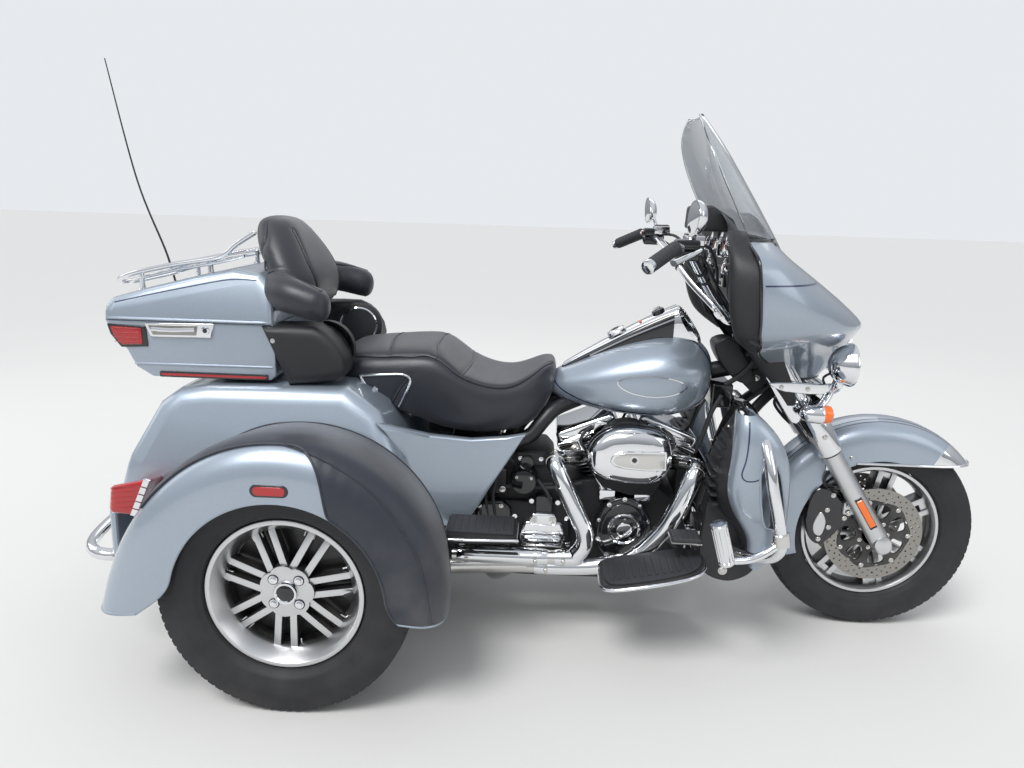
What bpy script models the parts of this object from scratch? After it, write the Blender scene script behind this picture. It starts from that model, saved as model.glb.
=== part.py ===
# Motorized touring trike. Metres, +X forward, +Y to its left, +Z up, ground at z = 0.
import bpy
import bmesh
import math
from mathutils import Vector, Matrix

for old in list(bpy.data.objects):
    bpy.data.objects.remove(old, do_unlink=True)

# Fit
seat = 0.0003          # gap between faces that touch
run = 0.0007           # gap between a shaft and its bore
clear = 0.006          # gap beside what moves

# Wheels and axles
wheelbase = 1.669
frontTyreR = 0.318
frontTyreW = 0.130
frontTyreH = 0.104     # tread to bead
rearTyreR = 0.323
rearTyreW = 0.205
rearTyreH = 0.120
rearTrack = 1.115      # between the rear tyres' middle planes
frontRimR = frontTyreR - frontTyreH
rearRimR = rearTyreR - rearTyreH
frontX = 1.0925        # front axle
rearX = frontX - wheelbase
axleR = 0.0125
spindleR = 0.022
rotorGap = 0.064       # rotor's edge to the rim
rotorR = frontRimR - rotorGap
spokeHalf = 0.0075
rotorT = 0.006
rotorY = 0.072

# Steering
rake = math.radians(26)
forkAngle = math.radians(33)
trail = 0.100
legY = 0.125
legR = 0.0245
headR = 0.034
stemR = 0.019
clampLowZ = 0.735
clampTopZ = 0.955

# Engine
engineX = 0.310        # crankshaft
engineZ = 0.330
cylAngle = math.radians(22.5)
cylR = 0.073
finCount = 7
cylLow = 0.115         # from the crankshaft to the lowest fin
cylHigh = 0.255
caseHalf = 0.110

# Body
sideGap = 0.050        # between the trunk body and the rear tyre
outGap = 0.033         # between the rear tyre and the fender's outer face
bodyHalf = rearTrack / 2 - rearTyreW / 2 - sideGap      # trunk body's half width
wall = 0.005
fenderGap = 0.082      # over the tyre's tread
fenderR = rearTyreR + fenderGap
archR = 0.266
fenderIn = bodyHalf + seat
fenderOut = rearTrack / 2 + rearTyreW / 2 + outGap
floorZ = 0.430         # underside of the trunk's floor
skin = 0.004
coverT = 0.003         # fabric cover on the fender
fenderLow = math.radians(-6)
fenderStep = math.radians(12)

# Luggage case
caseHalfY = 0.290
caseWall = 0.005
splitZ = 0.946
lidTopZ = 1.088

model = bpy.data.collections.new("touring_trike")
bpy.context.scene.collection.children.link(model)
tools = bpy.data.collections.new("cutters")
bpy.context.scene.collection.children.link(tools)

looks = {}
for row in [
        # name, colour, roughness, metallic
        ("paint", (0.34, 0.42, 0.52, 1), 0.25, 0.4),
        ("black", (0.02, 0.02, 0.022, 1), 0.45, 0.0),
        ("chrome", (0.75, 0.76, 0.78, 1), 0.08, 1.0),
        ("steel", (0.45, 0.45, 0.46, 1), 0.35, 1.0),
        ("cast", (0.12, 0.12, 0.125, 1), 0.6, 0.6),
        ("alloy", (0.62, 0.62, 0.63, 1), 0.3, 1.0),
        ("rubber", (0.025, 0.025, 0.027, 1), 0.8, 0.0),
        ("vinyl", (0.03, 0.032, 0.038, 1), 0.5, 0.0),
        ("lens", (0.45, 0.01, 0.02, 1), 0.15, 0.0),
        ("clearview", (0.75, 0.8, 0.84, 1), 0.05, 0.0)]:
    name, colour, rough, metal = row
    look = bpy.data.materials.new(name)
    look.use_nodes = True
    shader = look.node_tree.nodes["Principled BSDF"]
    shader.inputs["Base Color"].default_value = colour
    shader.inputs["Roughness"].default_value = rough
    shader.inputs["Metallic"].default_value = metal
    looks[name] = look


def empty(name, place):
    ob = bpy.data.objects.new(name, None)
    ob.location = place
    model.objects.link(ob)
    bpy.context.view_layer.update()
    return ob


def wrap(name, mesh, group=None):
    ob = bpy.data.objects.new(name, mesh)
    (group or tools).objects.link(ob)
    return ob


def fromBm(name, bm):
    bmesh.ops.recalc_face_normals(bm, faces=bm.faces)
    mesh = bpy.data.meshes.new(name)
    bm.to_mesh(mesh)
    bm.free()
    return wrap(name, mesh)


def flatten(bm):
    # joins faces that lie in one plane and splits those that don't
    bmesh.ops.dissolve_limit(bm, angle_limit=0.002, verts=bm.verts, edges=bm.edges)
    bent = []
    for face in bm.faces:
        if len(face.verts) > 3:
            mid = face.calc_center_median()
            if max(abs((v.co - mid).dot(face.normal)) for v in face.verts) > 0.00001:
                bent.append(face)
    bmesh.ops.triangulate(bm, faces=bent)


def bake(ob, capEnds=False):
    # the object's modifiers become its mesh, in world space
    bpy.context.view_layer.update()
    deps = bpy.context.evaluated_depsgraph_get()
    mesh = bpy.data.meshes.new_from_object(ob.evaluated_get(deps))
    mesh.transform(ob.matrix_world)
    bm = bmesh.new()
    bm.from_mesh(mesh)
    bmesh.ops.remove_doubles(bm, verts=bm.verts, dist=0.00002)
    bmesh.ops.dissolve_degenerate(bm, edges=bm.edges, dist=0.00001)
    rims = [e for e in bm.edges if len(e.link_faces) == 1]
    if rims and capEnds:
        bmesh.ops.holes_fill(bm, edges=rims, sides=0)
    flatten(bm)
    bmesh.ops.recalc_face_normals(bm, faces=bm.faces)
    bm.to_mesh(mesh)
    bm.free()
    name = ob.name
    bpy.data.objects.remove(ob, do_unlink=True)
    return wrap(name, mesh)


def bevel(ob, width, segments=2, angle=40):
    mod = ob.modifiers.new("round", 'BEVEL')
    mod.width = width
    mod.segments = segments
    mod.limit_method = 'ANGLE'
    mod.angle_limit = math.radians(angle)
    return bake(ob)


def turnTo(direction):
    return Vector((0, 0, 1)).rotation_difference(Vector(direction)).to_matrix().to_4x4()


def box(low, high, round=0.0, segments=1):
    low, high = Vector(low), Vector(high)
    bm = bmesh.new()
    bmesh.ops.create_cube(bm, size=1)
    bmesh.ops.scale(bm, vec=high - low, verts=bm.verts)
    bmesh.ops.translate(bm, vec=(low + high) / 2, verts=bm.verts)
    ob = fromBm("box", bm)
    return bevel(ob, round, segments) if round else ob


def rod(start, end, radius, radius2=None, sides=12):
    start, end = Vector(start), Vector(end)
    bm = bmesh.new()
    bmesh.ops.create_cone(bm, cap_ends=True, segments=sides, radius1=radius,
                          radius2=radius if radius2 is None else radius2,
                          depth=(end - start).length)
    bmesh.ops.transform(bm, matrix=Matrix.Translation((start + end) / 2) @ turnTo(end - start),
                        verts=bm.verts)
    return fromBm("rod", bm)


def ball(centre, size, sides=12):
    bm = bmesh.new()
    bmesh.ops.create_uvsphere(bm, u_segments=sides, v_segments=sides // 2, radius=1)
    bmesh.ops.scale(bm, vec=size, verts=bm.verts)
    bmesh.ops.translate(bm, vec=centre, verts=bm.verts)
    return fromBm("ball", bm)


def smooth(points, step, closed=False):
    # points on a smooth curve through the given ones
    points = [Vector(p) for p in points]
    count = len(points)
    out = []
    for i in range(count if closed else count - 1):
        if closed:
            a, b, c, d = (points[(i + k - 1) % count] for k in range(4))
        else:
            a, b, c, d = (points[min(max(i + k - 1, 0), count - 1)] for k in range(4))
        n = max(1, round((c - b).length / step))
        for k in range(n):
            t = k / n
            out.append(0.5 * (2 * b + (c - a) * t + (2 * a - 5 * b + 4 * c - d) * t * t
                              + (3 * b - a - 3 * c + d) * t ** 3))
    if not closed:
        out.append(points[-1])
    return out


def tube(points, radius, step=0.05, closed=False, res=2):
    route = smooth(points, step, closed) if step else [Vector(p) for p in points]
    curve = bpy.data.curves.new("tube", 'CURVE')
    curve.dimensions = '3D'
    curve.bevel_depth = radius
    curve.bevel_resolution = res
    curve.use_fill_caps = True
    spline = curve.splines.new('POLY')
    spline.points.add(len(route) - 1)
    for point, place in zip(spline.points, route):
        point.co = (*place, 1)
    spline.use_cyclic_u = closed
    return bake(wrap("tube", curve))


def plate(outline, y0, y1, round=0.0, segments=1, curved=0.0):
    # an outline of (x, z) points, extruded from y0 to y1
    flat = [Vector((x, z, 0)) for x, z in outline]
    if curved:
        flat = smooth(flat, curved, True)
    curve = bpy.data.curves.new("plate", 'CURVE')
    curve.dimensions = '2D'
    curve.fill_mode = 'BOTH'
    curve.extrude = abs(y1 - y0) / 2
    spline = curve.splines.new('POLY')
    spline.points.add(len(flat) - 1)
    for point, place in zip(spline.points, flat):
        point.co = (place.x, place.y, 0, 1)
    spline.use_cyclic_u = True
    ob = wrap("plate", curve)
    ob.matrix_world = Matrix.Translation((0, (y0 + y1) / 2, 0)) @ Matrix.Rotation(math.pi / 2, 4, 'X')
    ob = bake(ob)
    return bevel(ob, round, segments) if round else ob


def turned(profile, centre, axis=(0, 1, 0), steps=32, angle=2 * math.pi, start=0.0):
    # a closed profile of (radius, height) points turned about an axis
    bm = bmesh.new()
    verts = [bm.verts.new((r, 0, h)) for r, h in profile]
    for a, b in zip(verts, verts[1:] + verts[:1]):
        bm.edges.new((a, b))
    mesh = bpy.data.meshes.new("turned")
    bm.to_mesh(mesh)
    bm.free()
    ob = wrap("turned", mesh)
    mod = ob.modifiers.new("turn", 'SCREW')
    mod.steps = steps
    mod.render_steps = steps
    mod.angle = angle
    mod.use_merge_vertices = True
    mod.merge_threshold = 0.00005
    ob.matrix_world = Matrix.Translation(centre) @ turnTo(axis) @ Matrix.Rotation(start, 4, 'Z')
    return bake(ob, capEnds=angle < 6.2)


def loft(sections, caps=True, closed=True):
    # faces between loops of points; each loop has as many points as the next
    bm = bmesh.new()
    loops = [[bm.verts.new(p) for p in section] for section in sections]
    count = len(loops[0])
    for one, two in zip(loops, loops[1:]):
        for i in range(count if closed else count - 1):
            j = (i + 1) % count
            bm.faces.new((one[i], one[j], two[j], two[i]))
    if caps:
        bm.faces.new(loops[0])
        bm.faces.new(loops[-1][::-1])
    return fromBm("loft", bm)


def subdivide(ob, levels):
    mod = ob.modifiers.new("soft", 'SUBSURF')
    mod.levels = levels
    mod.render_levels = levels
    return bake(ob)


def thicken(ob, thickness, offset=-1.0):
    mod = ob.modifiers.new("wall", 'SOLIDIFY')
    mod.thickness = thickness
    mod.offset = offset
    mod.use_even_offset = True
    return bake(ob)


def boolean(ob, other, kind, keep=False):
    mod = ob.modifiers.new(kind.lower(), 'BOOLEAN')
    mod.operation = kind
    mod.object = other
    out = bake(ob)
    if not keep:
        bpy.data.objects.remove(other, do_unlink=True)
    return out


def union(*pieces):
    pieces = [p for p in pieces]
    out = pieces[0]
    for piece in pieces[1:]:
        out = boolean(out, piece, 'UNION')
    return out


def cut(ob, *others):
    for other in others:
        ob = boolean(ob, other, 'DIFFERENCE')
    return ob


def copy(ob, grow=0.0, mirror=False):
    mesh = ob.data.copy()
    bm = bmesh.new()
    bm.from_mesh(mesh)
    bm.normal_update()
    if grow:
        for v, place in [(v, v.co + v.normal * grow * min(v.calc_shell_factor(), 3.0)) for v in bm.verts]:
            v.co = place
    if mirror:
        bmesh.ops.scale(bm, vec=(1, -1, 1), verts=bm.verts)
        bmesh.ops.reverse_faces(bm, faces=bm.faces)
    bm.to_mesh(mesh)
    bm.free()
    return wrap(ob.name, mesh)


def seatOn(ob, *neighbours):
    # cuts away what would reach into a neighbour, with the seat gap
    for other in neighbours:
        ob = boolean(ob, copy(other, grow=seat), 'DIFFERENCE')
    return ob


def taper(ob, z0, z1, k):
    # narrows the piece above z0, down to the factor k at z1
    bm = bmesh.new()
    bm.from_mesh(ob.data)
    bmesh.ops.bisect_plane(bm, geom=bm.verts[:] + bm.edges[:] + bm.faces[:], plane_co=(0, 0, z0),
                           plane_no=(0, 0, 1))
    bm.to_mesh(ob.data)
    bm.free()
    for v in ob.data.vertices:
        t = min(max((v.co.z - z0) / (z1 - z0), 0), 1)
        v.co.y *= 1 - (1 - k) * t
    return ob


nodes = {}


def node(name, ob, look, parent=None):
    ob.name = name
    ob.data.name = name
    for group in list(ob.users_collection):
        group.objects.unlink(ob)
    model.objects.link(ob)
    ob.data.materials.clear()
    ob.data.materials.append(looks[look])
    ob.data.shade_smooth()
    ob.data.set_sharp_from_angle(angle=math.radians(35))
    nodes[name] = ob
    if parent:
        ob.parent = parent
        ob.matrix_parent_inverse = parent.matrix_world.inverted()
    return ob


def pair(name, ob, look, parents=(None, None)):
    # the right-hand piece (-Y) and its mirror image
    twin = copy(ob, mirror=True)
    node(name + "_right", ob, look, parents[0])
    node(name + "_left", twin, look, parents[1])


# Places along the raked axes
def axisX(z):
    return frontX + trail - z * math.tan(rake)


def legX(z):
    return frontX - (z - frontTyreR) * math.tan(forkAngle)


steerDir = Vector((-math.sin(rake), 0, math.cos(rake)))
legDir = Vector((-math.sin(forkAngle), 0, math.cos(forkAngle)))
tipX = frontX + frontTyreR          # the foremost point; the aerial reaches as far back
rearWheelY = rearTrack / 2

trike = empty("trike", (0, 0, 0))
steering = empty("steering", (axisX(0.84), 0, 0.84))
frontWheel = empty("front_wheel", (frontX, 0, frontTyreR))
rearWheels = [empty("rear_wheel_right", (rearX, -rearWheelY, rearTyreR)),
              empty("rear_wheel_left", (rearX, rearWheelY, rearTyreR))]
lidHinge = empty("lid_hinge", (-0.89, caseHalfY + 0.008, splitZ))
doorHinge = empty("door_hinge", (-1.1135, 0, 0.442))


# Wheels
def tyre(radius, width, rimR, centre, steps):
    h = width / 2
    profile = [(radius, h * 0.55), (radius, -h * 0.55), (radius - 0.018, -h * 0.9), (radius - 0.055, -h),
               (rimR + 0.014, -h * 0.84), (rimR, -h * 0.74), (rimR, h * 0.74), (rimR + 0.014, h * 0.84),
               (radius - 0.055, h), (radius - 0.018, h * 0.9)]
    return turned(profile, centre, steps=steps)


def rim(rimR, width, centre, spokes, boreR, hubR, hubHalf, faceY, steps):
    # barrel, hub and pairs of spokes; faceY is where the spokes' outer face lies
    r = rimR - seat
    h = width / 2 * 0.74
    side = -1 if faceY < 0 else 1
    barrel = turned([(r, h * 0.98), (r, -h * 0.98), (r - 0.013, -h * 0.98), (r - 0.013, h * 0.98)],
                    centre, steps=steps)
    out = turned([(hubR, hubHalf), (hubR, -hubHalf), (boreR, -hubHalf), (boreR, hubHalf)], centre, steps=16)
    c = Vector(centre)
    for k in range(spokes):
        y0, y1 = sorted((faceY, faceY - side * 0.024))
        for lean in (-1, 1):
            bar = box((hubR * 0.7, y0, -spokeHalf), (r - 0.006, y1, spokeHalf))
            bar.data.transform(Matrix.Translation(c) @ Matrix.Rotation(2 * math.pi * (k + 0.5) / spokes, 4, 'Y')
                               @ Matrix.Translation((0, 0, lean * 0.014)) @ Matrix.Rotation(-lean * 0.036, 4, 'Y'))
            out = union(out, bar)
    return union(barrel, out)


frontCentre = (frontX, 0, frontTyreR)
node("front_tyre", tyre(frontTyreR, frontTyreW, frontRimR, frontCentre, 28), "rubber", frontWheel)
wheel = rim(frontRimR, frontTyreW, frontCentre, 7, axleR + run, 0.034, rotorY + 0.004, -0.030, 28)
for s in (-1, 1):
    disc = turned([(rotorR, rotorT / 2), (rotorR, -rotorT / 2), (0.030, -rotorT / 2), (0.030, rotorT / 2)],
                  (frontX, s * rotorY, frontTyreR), steps=24)
    wheel = union(wheel, disc)
node("front_rim", wheel, "alloy", frontWheel)

for s, side, parent in ((-1, "right", rearWheels[0]), (1, "left", rearWheels[1])):
    centre = (rearX, s * rearWheelY, rearTyreR)
    node("rear_tyre_" + side, tyre(rearTyreR, rearTyreW, rearRimR, centre, 30), "rubber", parent)
    wheel = rim(rearRimR, rearTyreW, centre, 7, spindleR + run, 0.048, 0.060, s * 0.055, 30)
    cap = turned([(0.030, 0.004), (0.030, -0.004), (0.0, -0.004), (0.0, 0.004)],
                 (rearX, s * (rearWheelY + 0.062), rearTyreR), steps=24)
    node("rear_rim_" + side, union(wheel, cap), "alloy", parent)

# Frame: head, backbone, two cradle loops, seat posts and the rear cross tubes
headLow = clampLowZ + 0.022
headTop = clampTopZ - 0.022
head = rod((axisX(headLow), 0, headLow), (axisX(headTop), 0, headTop), headR, sides=16)
backbone = tube([(axisX(0.85) - 0.01, 0, 0.85), (0.55, 0, 0.80), (0.20, 0, 0.70), (0.02, 0, 0.620)], 0.030, 0.09)
frame = union(head, backbone)
cradleY = 0.135
for s in (-1, 1):
    loop = tube([(axisX(0.79) - 0.012, s * 0.018, 0.79), (0.665, s * 0.075, 0.66), (0.605, s * cradleY, 0.40),
                 (0.560, s * cradleY, 0.245), (0.480, s * cradleY, 0.190), 
                 (-0.10, s * cradleY, 0.182), (-0.215, s * cradleY, 0.240), (-0.235, s * cradleY, 0.40),
                 (-0.225, s * 0.12, 0.560), (-0.10, s * 0.07, 0.615), (0.03, s * 0.015, 0.628)], 0.016, 0.16, res=1)
    frame = union(frame, loop)
for x, z in ((0.555, 0.235), (-0.205, 0.235), (-0.225, 0.56), (0.10, 0.181)):
    frame = union(frame, rod((x, -cradleY, z), (x, cradleY, z), 0.013, sides=12))
stem = rod((axisX(0.5), 0, 0.5), (axisX(1.2), 0, 1.2), stemR + run, sides=24)
frame = cut(frame, stem)
for s in (-1, 1):
    railZ = floorZ - seat - 0.014
    rail = tube([(-0.232, s * cradleY, railZ), (-0.50, s * 0.15, railZ), (-0.98, s * 0.15, railZ)], 0.014, 0.25)
    frame = union(frame, rail)
frame = union(frame, rod((-0.93, -0.15, railZ), (-0.93, 0.15, railZ), 0.012, sides=12))

# Rear axle: housing, differential and the arm to the cradle
axle = rod((rearX, -rearWheelY + 0.075, rearTyreR), (rearX, rearWheelY - 0.075, rearTyreR), 0.036, sides=20)
axle = union(axle, rod((rearX, -rearWheelY - 0.052, rearTyreR), (rearX, rearWheelY + 0.052, rearTyreR),
                       spindleR, sides=24))
axle = union(axle, ball((rearX, 0.03, rearTyreR), (0.095, 0.085, 0.095), 10))
for s in (-1, 1):
    arm = tube([(-0.236, s * 0.105, 0.33), (-0.38, s * 0.15, 0.325), (rearX, s * 0.19, rearTyreR)], 0.022, 0.16)
    disc = rod((rearX, s * (rearWheelY - 0.085), rearTyreR), (rearX, s * (rearWheelY - 0.093), rearTyreR), 0.135,
               sides=20)
    axle = union(axle, union(arm, disc))
axle = union(axle, rod((-0.240, -0.145, 0.33), (-0.240, 0.145, 0.33), 0.024, sides=16))
axle = seatOn(axle, frame)
node("rear_axle", axle, "cast")

# Engine: crankcase, gearbox and covers
crank = plate([(0.515, 0.300), (0.500, 0.215), (0.440, 0.200), (0.200, 0.200), (0.100, 0.205), (-0.160, 0.215),
               (-0.195, 0.260), (-0.190, 0.400), (-0.120, 0.445), (0.080, 0.455), (0.180, 0.470), (0.300, 0.480),
               (0.410, 0.460), (0.485, 0.400)], -caseHalf, caseHalf, 0.012)
camCover = plate([(engineX + 0.085 * math.cos(a) * (1.0 if math.sin(a) < 0.2 else 0.95),
                   engineZ + 0.115 * math.sin(a)) for a in (math.radians(k * 30) for k in range(12))],
                 -caseHalf - 0.050, -caseHalf + 0.01, 0.012)
camCap = rod((engineX, -caseHalf - 0.040, engineZ), (engineX, -caseHalf - 0.068, engineZ), 0.046, 0.040, sides=24)
gearCover = box((-0.010, -caseHalf - 0.048, 0.255), (0.125, -caseHalf + 0.01, 0.385), 0.012)
starter = rod((-0.120, -caseHalf - 0.060, 0.470), (-0.120, -0.02, 0.470), 0.040, sides=20)
primary = plate([(0.420, 0.330), (0.400, 0.250), (0.330, 0.215), (-0.020, 0.225), (-0.120, 0.260), (-0.150, 0.330),
                 (-0.120, 0.400), (-0.030, 0.435), (0.300, 0.440), (0.385, 0.410)],
                caseHalf - 0.01, caseHalf + 0.095, 0.022)
engine = union(crank, camCover, camCap, gearCover, starter, primary)
engine = cut(engine, box((engineX - 0.003, -0.065, 0.38), (engineX + 0.003, 0.065, 0.50)))


def cylinder(lean, name):
    # fins, head and rocker cover along one leaning axis, from the crankshaft
    u = Vector((math.sin(lean), 0, math.cos(lean)))
    base = Vector((engineX, 0, engineZ))
    profile = []
    pitch = (cylHigh - cylLow) / finCount
    for k in range(finCount):
        h = cylLow + k * pitch
        profile += [(cylR * 0.80, h), (cylR, h + pitch * 0.5)]
    profile = [(0.0, cylLow - 0.025), (cylR * 0.80, cylLow - 0.025)] + profile
    profile += [(cylR * 0.80, cylHigh), (0.0, cylHigh)]
    out = turned(profile[::-1], base, axis=u, steps=16)
    headBlock = box((-0.080, -0.085, cylHigh - 0.004), (0.080, 0.085, cylHigh + 0.034), 0.008, 1)
    cover = box((-0.072, -0.098, cylHigh + 0.030), (0.072, 0.098, cylHigh + 0.078), 0.018, 1)
    top = union(headBlock, cover)
    top.data.transform(Matrix.Translation(base) @ turnTo(u))
    side = math.copysign(1, lean)
    half = box((-side * 0.30 if side > 0 else -0.0002, -0.2, 0.2), (0.0002 if side > 0 else 0.30, 0.2, 0.8))
    half.data.transform(Matrix.Translation((engineX, 0, 0)))
    return cut(union(out, top), half)


rearCyl = cylinder(-cylAngle, "rear")
frontCyl = cylinder(cylAngle, "front")
engine = seatOn(engine, rearCyl, frontCyl)
engine = seatOn(engine, frame)
rearCyl = seatOn(rearCyl, frame)
frontCyl = seatOn(frontCyl, frame)
node("frame", frame, "black")

# Air cleaner on its backing plate, between the cylinders on the right
airX, airZ = engineX - 0.002, 0.587
backing = rod((airX, -0.098 - seat, airZ), (airX, -0.155, airZ), 0.085, sides=20)
cleaner = plate([(airX - 0.120, airZ - 0.010), (airX - 0.055, airZ + 0.088), (airX + 0.060, airZ + 0.088),
                 (airX + 0.118, airZ + 0.020), (airX + 0.060, airZ - 0.085), (airX - 0.095, airZ - 0.078)],
                -0.150, -0.225, 0.028, 2)
cleaner = union(backing, cleaner)
node("air_cleaner", cleaner, "chrome")
node("cylinder_rear", rearCyl, "cast")
node("cylinder_front", frontCyl, "cast")

# Exhaust: two headers on the right, a crossover and two silencers
pipeR = 0.024
portY = -0.085 - seat
header1 = tube([(0.168, portY, 0.548), (0.168, portY - 0.035, 0.548), (0.105, -0.200, 0.553), (0.140, -0.236, 0.440),
                (0.188, -0.236, 0.340), (0.185, -0.232, 0.290), (0.140, -0.228, 0.268), (-0.200, -0.225, 0.262)],
               pipeR, 0.07)
header2 = tube([(0.452, portY, 0.548), (0.452, portY - 0.035, 0.548), (0.503, -0.200, 0.548), (0.470, -0.232, 0.440),
                (0.420, -0.232, 0.330),
                (0.330, -0.222, 0.262), (0.200, -0.215, 0.234), (0.020, -0.218, 0.230)], pipeR, 0.07)
silencer = tube([(0.02, -0.218, 0.236), (-0.25, -0.235, 0.225), (-0.40, -0.33, 0.215), (-0.60, -0.36, 0.210),
                 (-1.00, -0.365, 0.215)], 0.034, 0.14)
cross = tube([(-0.02, -0.215, 0.235), (-0.08, -0.10, 0.150), (-0.09, 0.0, 0.145), (-0.08, 0.10, 0.150),
              (-0.14, 0.20, 0.200), (-0.40, 0.33, 0.215), (-0.60, 0.36, 0.210), (-1.00, 0.365, 0.215)], 0.030, 0.12)
exhaust = union(header2, header1, silencer, cross)
exhaust = seatOn(exhaust, nodes["frame"], nodes["rear_axle"], engine)
node("exhaust", exhaust, "chrome")
node("engine", engine, "alloy")


def ring(x, half, top, low, crown, keel=0.6):
    # a closed section across the trike: crown rounds its top corners
    side = [(0, top), (half * 0.55, top - crown * 0.25), (half * 0.92, top - crown), (half, (top + low) / 2),
            (half * 0.90, low + 0.015), (half * keel, low)]
    pts = [Vector((x, y, z)) for y, z in side]
    return pts + [Vector((x, -y, z)) for y, z in side[:0:-1]]


# Fuel tank and console
tankRows = [
    # x, half width, top, bottom, crown
    (0.062, 0.035, 0.765, 0.735, 0.010),
    (0.080, 0.075, 0.785, 0.715, 0.020),
    (0.220, 0.135, 0.852, 0.686, 0.045),
    (0.400, 0.175, 0.912, 0.678, 0.060),
    (0.480, 0.165, 0.912, 0.690, 0.060),
    (0.535, 0.125, 0.890, 0.720, 0.050),
    (0.560, 0.060, 0.850, 0.770, 0.030)]
tank = subdivide(loft([ring(*row) for row in tankRows]), 1)
channel = box((0.0, -0.032, 0.55), (0.62, 0.032, 0.735))
tank = cut(tank, channel)
tank = seatOn(tank, nodes["frame"], nodes["cylinder_rear"], nodes["cylinder_front"])
consoleRows = [(0.105, 0.022, 0.800, 0.77, 0.004), (0.200, 0.034, 0.862, 0.80, 0.010),
               (0.320, 0.044, 0.934, 0.86, 0.012), (0.440, 0.054, 1.002, 0.88, 0.014),
               (0.462, 0.054, 1.000, 0.88, 0.014), (0.524, 0.040, 0.915, 0.87, 0.014)]
console = loft([ring(*row, keel=0.9) for row in consoleRows])
console = seatOn(console, tank)
node("fuel_tank", tank, "paint")
node("console", console, "chrome")

# Seat
seatRows = [
    # x, half width, top, bottom, crown
    (-0.558, 0.165, 0.850, 0.760, 0.030),
    (-0.420, 0.200, 0.872, 0.690, 0.040),
    (-0.300, 0.205, 0.880, 0.650, 0.045),
    (-0.250, 0.212, 0.872, 0.632, 0.045),
    (-0.170, 0.212, 0.798, 0.625, 0.010),
    (-0.060, 0.188, 0.768, 0.630, 0.006),
    (0.010, 0.150, 0.797, 0.665, 0.010),
    (0.055, 0.105, 0.828, 0.715, 0.015),
    (0.092, 0.060, 0.832, 0.770, 0.015)]
saddle = loft([ring(*row, keel=0.8) for row in seatRows])
pan = box((-0.30, -0.10, 0.575), (-0.235, 0.10, 0.66))
framed = nodes["frame"]
saddle = seatOn(saddle, framed, nodes["fuel_tank"], nodes["console"])


# Trunk body: a hollow shell, open at the back for its door
def bodyShape(inset):
    outline = [(-1.108, 0.350), (-1.106, 0.490), (-1.075, 0.590), (-1.002, 0.728), (-0.950, 0.766),
               (-0.870, 0.776), (-0.490, 0.782), (-0.395, 0.725), (-0.330, 0.600), (-0.300, 0.480), (-0.300, 0.350)]
    cx, cz = -0.70, 0.56
    moved = []
    for x, z in outline:
        d = Vector((x - cx, z - cz))
        moved.append((x - inset * math.copysign(1, d.x), z - inset * math.copysign(1, d.y)))
    half = bodyHalf - inset
    return taper(plate(moved, -half, half, 0.045 if not inset else 0.040, 2), 0.56, 0.782, 0.82)


bodySolid = bodyShape(0.0)
saddle = seatOn(saddle, bodySolid)
doorLow, doorHigh, doorHalf = 0.448, 0.700, 0.270
opening = box((-1.25, -doorHalf, doorLow), (-0.80, doorHalf, doorHigh))
door = box((-1.25, -doorHalf + 0.004, doorLow + 0.004), (-0.90, doorHalf - 0.004, doorHigh - 0.004))
door = cut(boolean(door, bodySolid, 'INTERSECT', keep=True), bodyShape(wall))
hollow = cut(bodyShape(wall), box((-1.30, -0.60, 0.20), (-0.10, 0.60, floorZ + wall)))
under = box((-1.30, -bodyHalf + 0.020, 0.20), (-0.10, bodyHalf - 0.020, floorZ))
body = cut(copy(bodySolid), union(hollow, opening))
body = cut(body, under)
hinge = doorHinge.location
barrel = rod(hinge + Vector((0, -0.20, 0)), hinge + Vector((0, 0.20, 0)), 0.006, sides=8)
leaf = box(hinge + Vector((-0.0021, -0.20, 0)), hinge + Vector((0.0043, 0.20, 0.022)))
foot = box(hinge + Vector((-0.0021, -0.20, 0.0115)), hinge + Vector((0.0097, 0.20, 0.022)))
door = union(door, union(union(barrel, leaf), foot))
for s in (-1, 1):
    body = cut(body, rod((rearX, s * (bodyHalf - 0.10), rearTyreR + 0.03),
                         (rearX, s * (bodyHalf + 0.10), rearTyreR + 0.03), 0.075, sides=24))
for s in (-1, 1):
    y0, y1 = sorted((s * (bodyHalf - 0.004), s * 0.515))
    body = union(body, box((-1.098, y0, 0.346), (-1.052, y1, 0.476), 0.012, 2))
body = seatOn(body, nodes["frame"], nodes["exhaust"], nodes["rear_axle"])
node("trunk_body", body, "paint")
node("trunk_door", door, "paint", doorHinge)
node("seat", saddle, "vinyl")


def offset(line, d):
    # an open line of (y, r) points moved out by d
    out = []
    for k, point in enumerate(line):
        a = Vector(line[max(k - 1, 0)])
        b = Vector(line[min(k + 1, len(line) - 1)])
        here = Vector(point)
        n1 = (here - a).orthogonal().normalized() if k else None
        n2 = (b - here).orthogonal().normalized() if k < len(line) - 1 else None
        if n1 is None or n2 is None:
            out.append(here + (n1 or n2) * d)
        else:
            n = (n1 + n2).normalized()
            out.append(here + n * d / n.dot(n1))
    return [(p.x, p.y) for p in out]


# Rear fenders, turned about the wheel, with their black covers
def fenderShape(inner, outer, first, steps, y0):
    # the crown from the trunk body out, then down the outer face to the arch
    r = fenderR
    crown = [(y0, r + 0.004), (0.54, r + 0.004), (0.625, r - 0.008), (fenderOut - 0.012, r - 0.048),
             (fenderOut, r - 0.100), (fenderOut, archR)]
    loop = offset(crown, outer) + offset(crown, inner)[::-1]
    return turned([(q, y) for y, q in loop], (rearX, 0, rearTyreR), axis=(0, -1, 0), steps=steps,
                  angle=fenderStep * steps, start=first)


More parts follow.
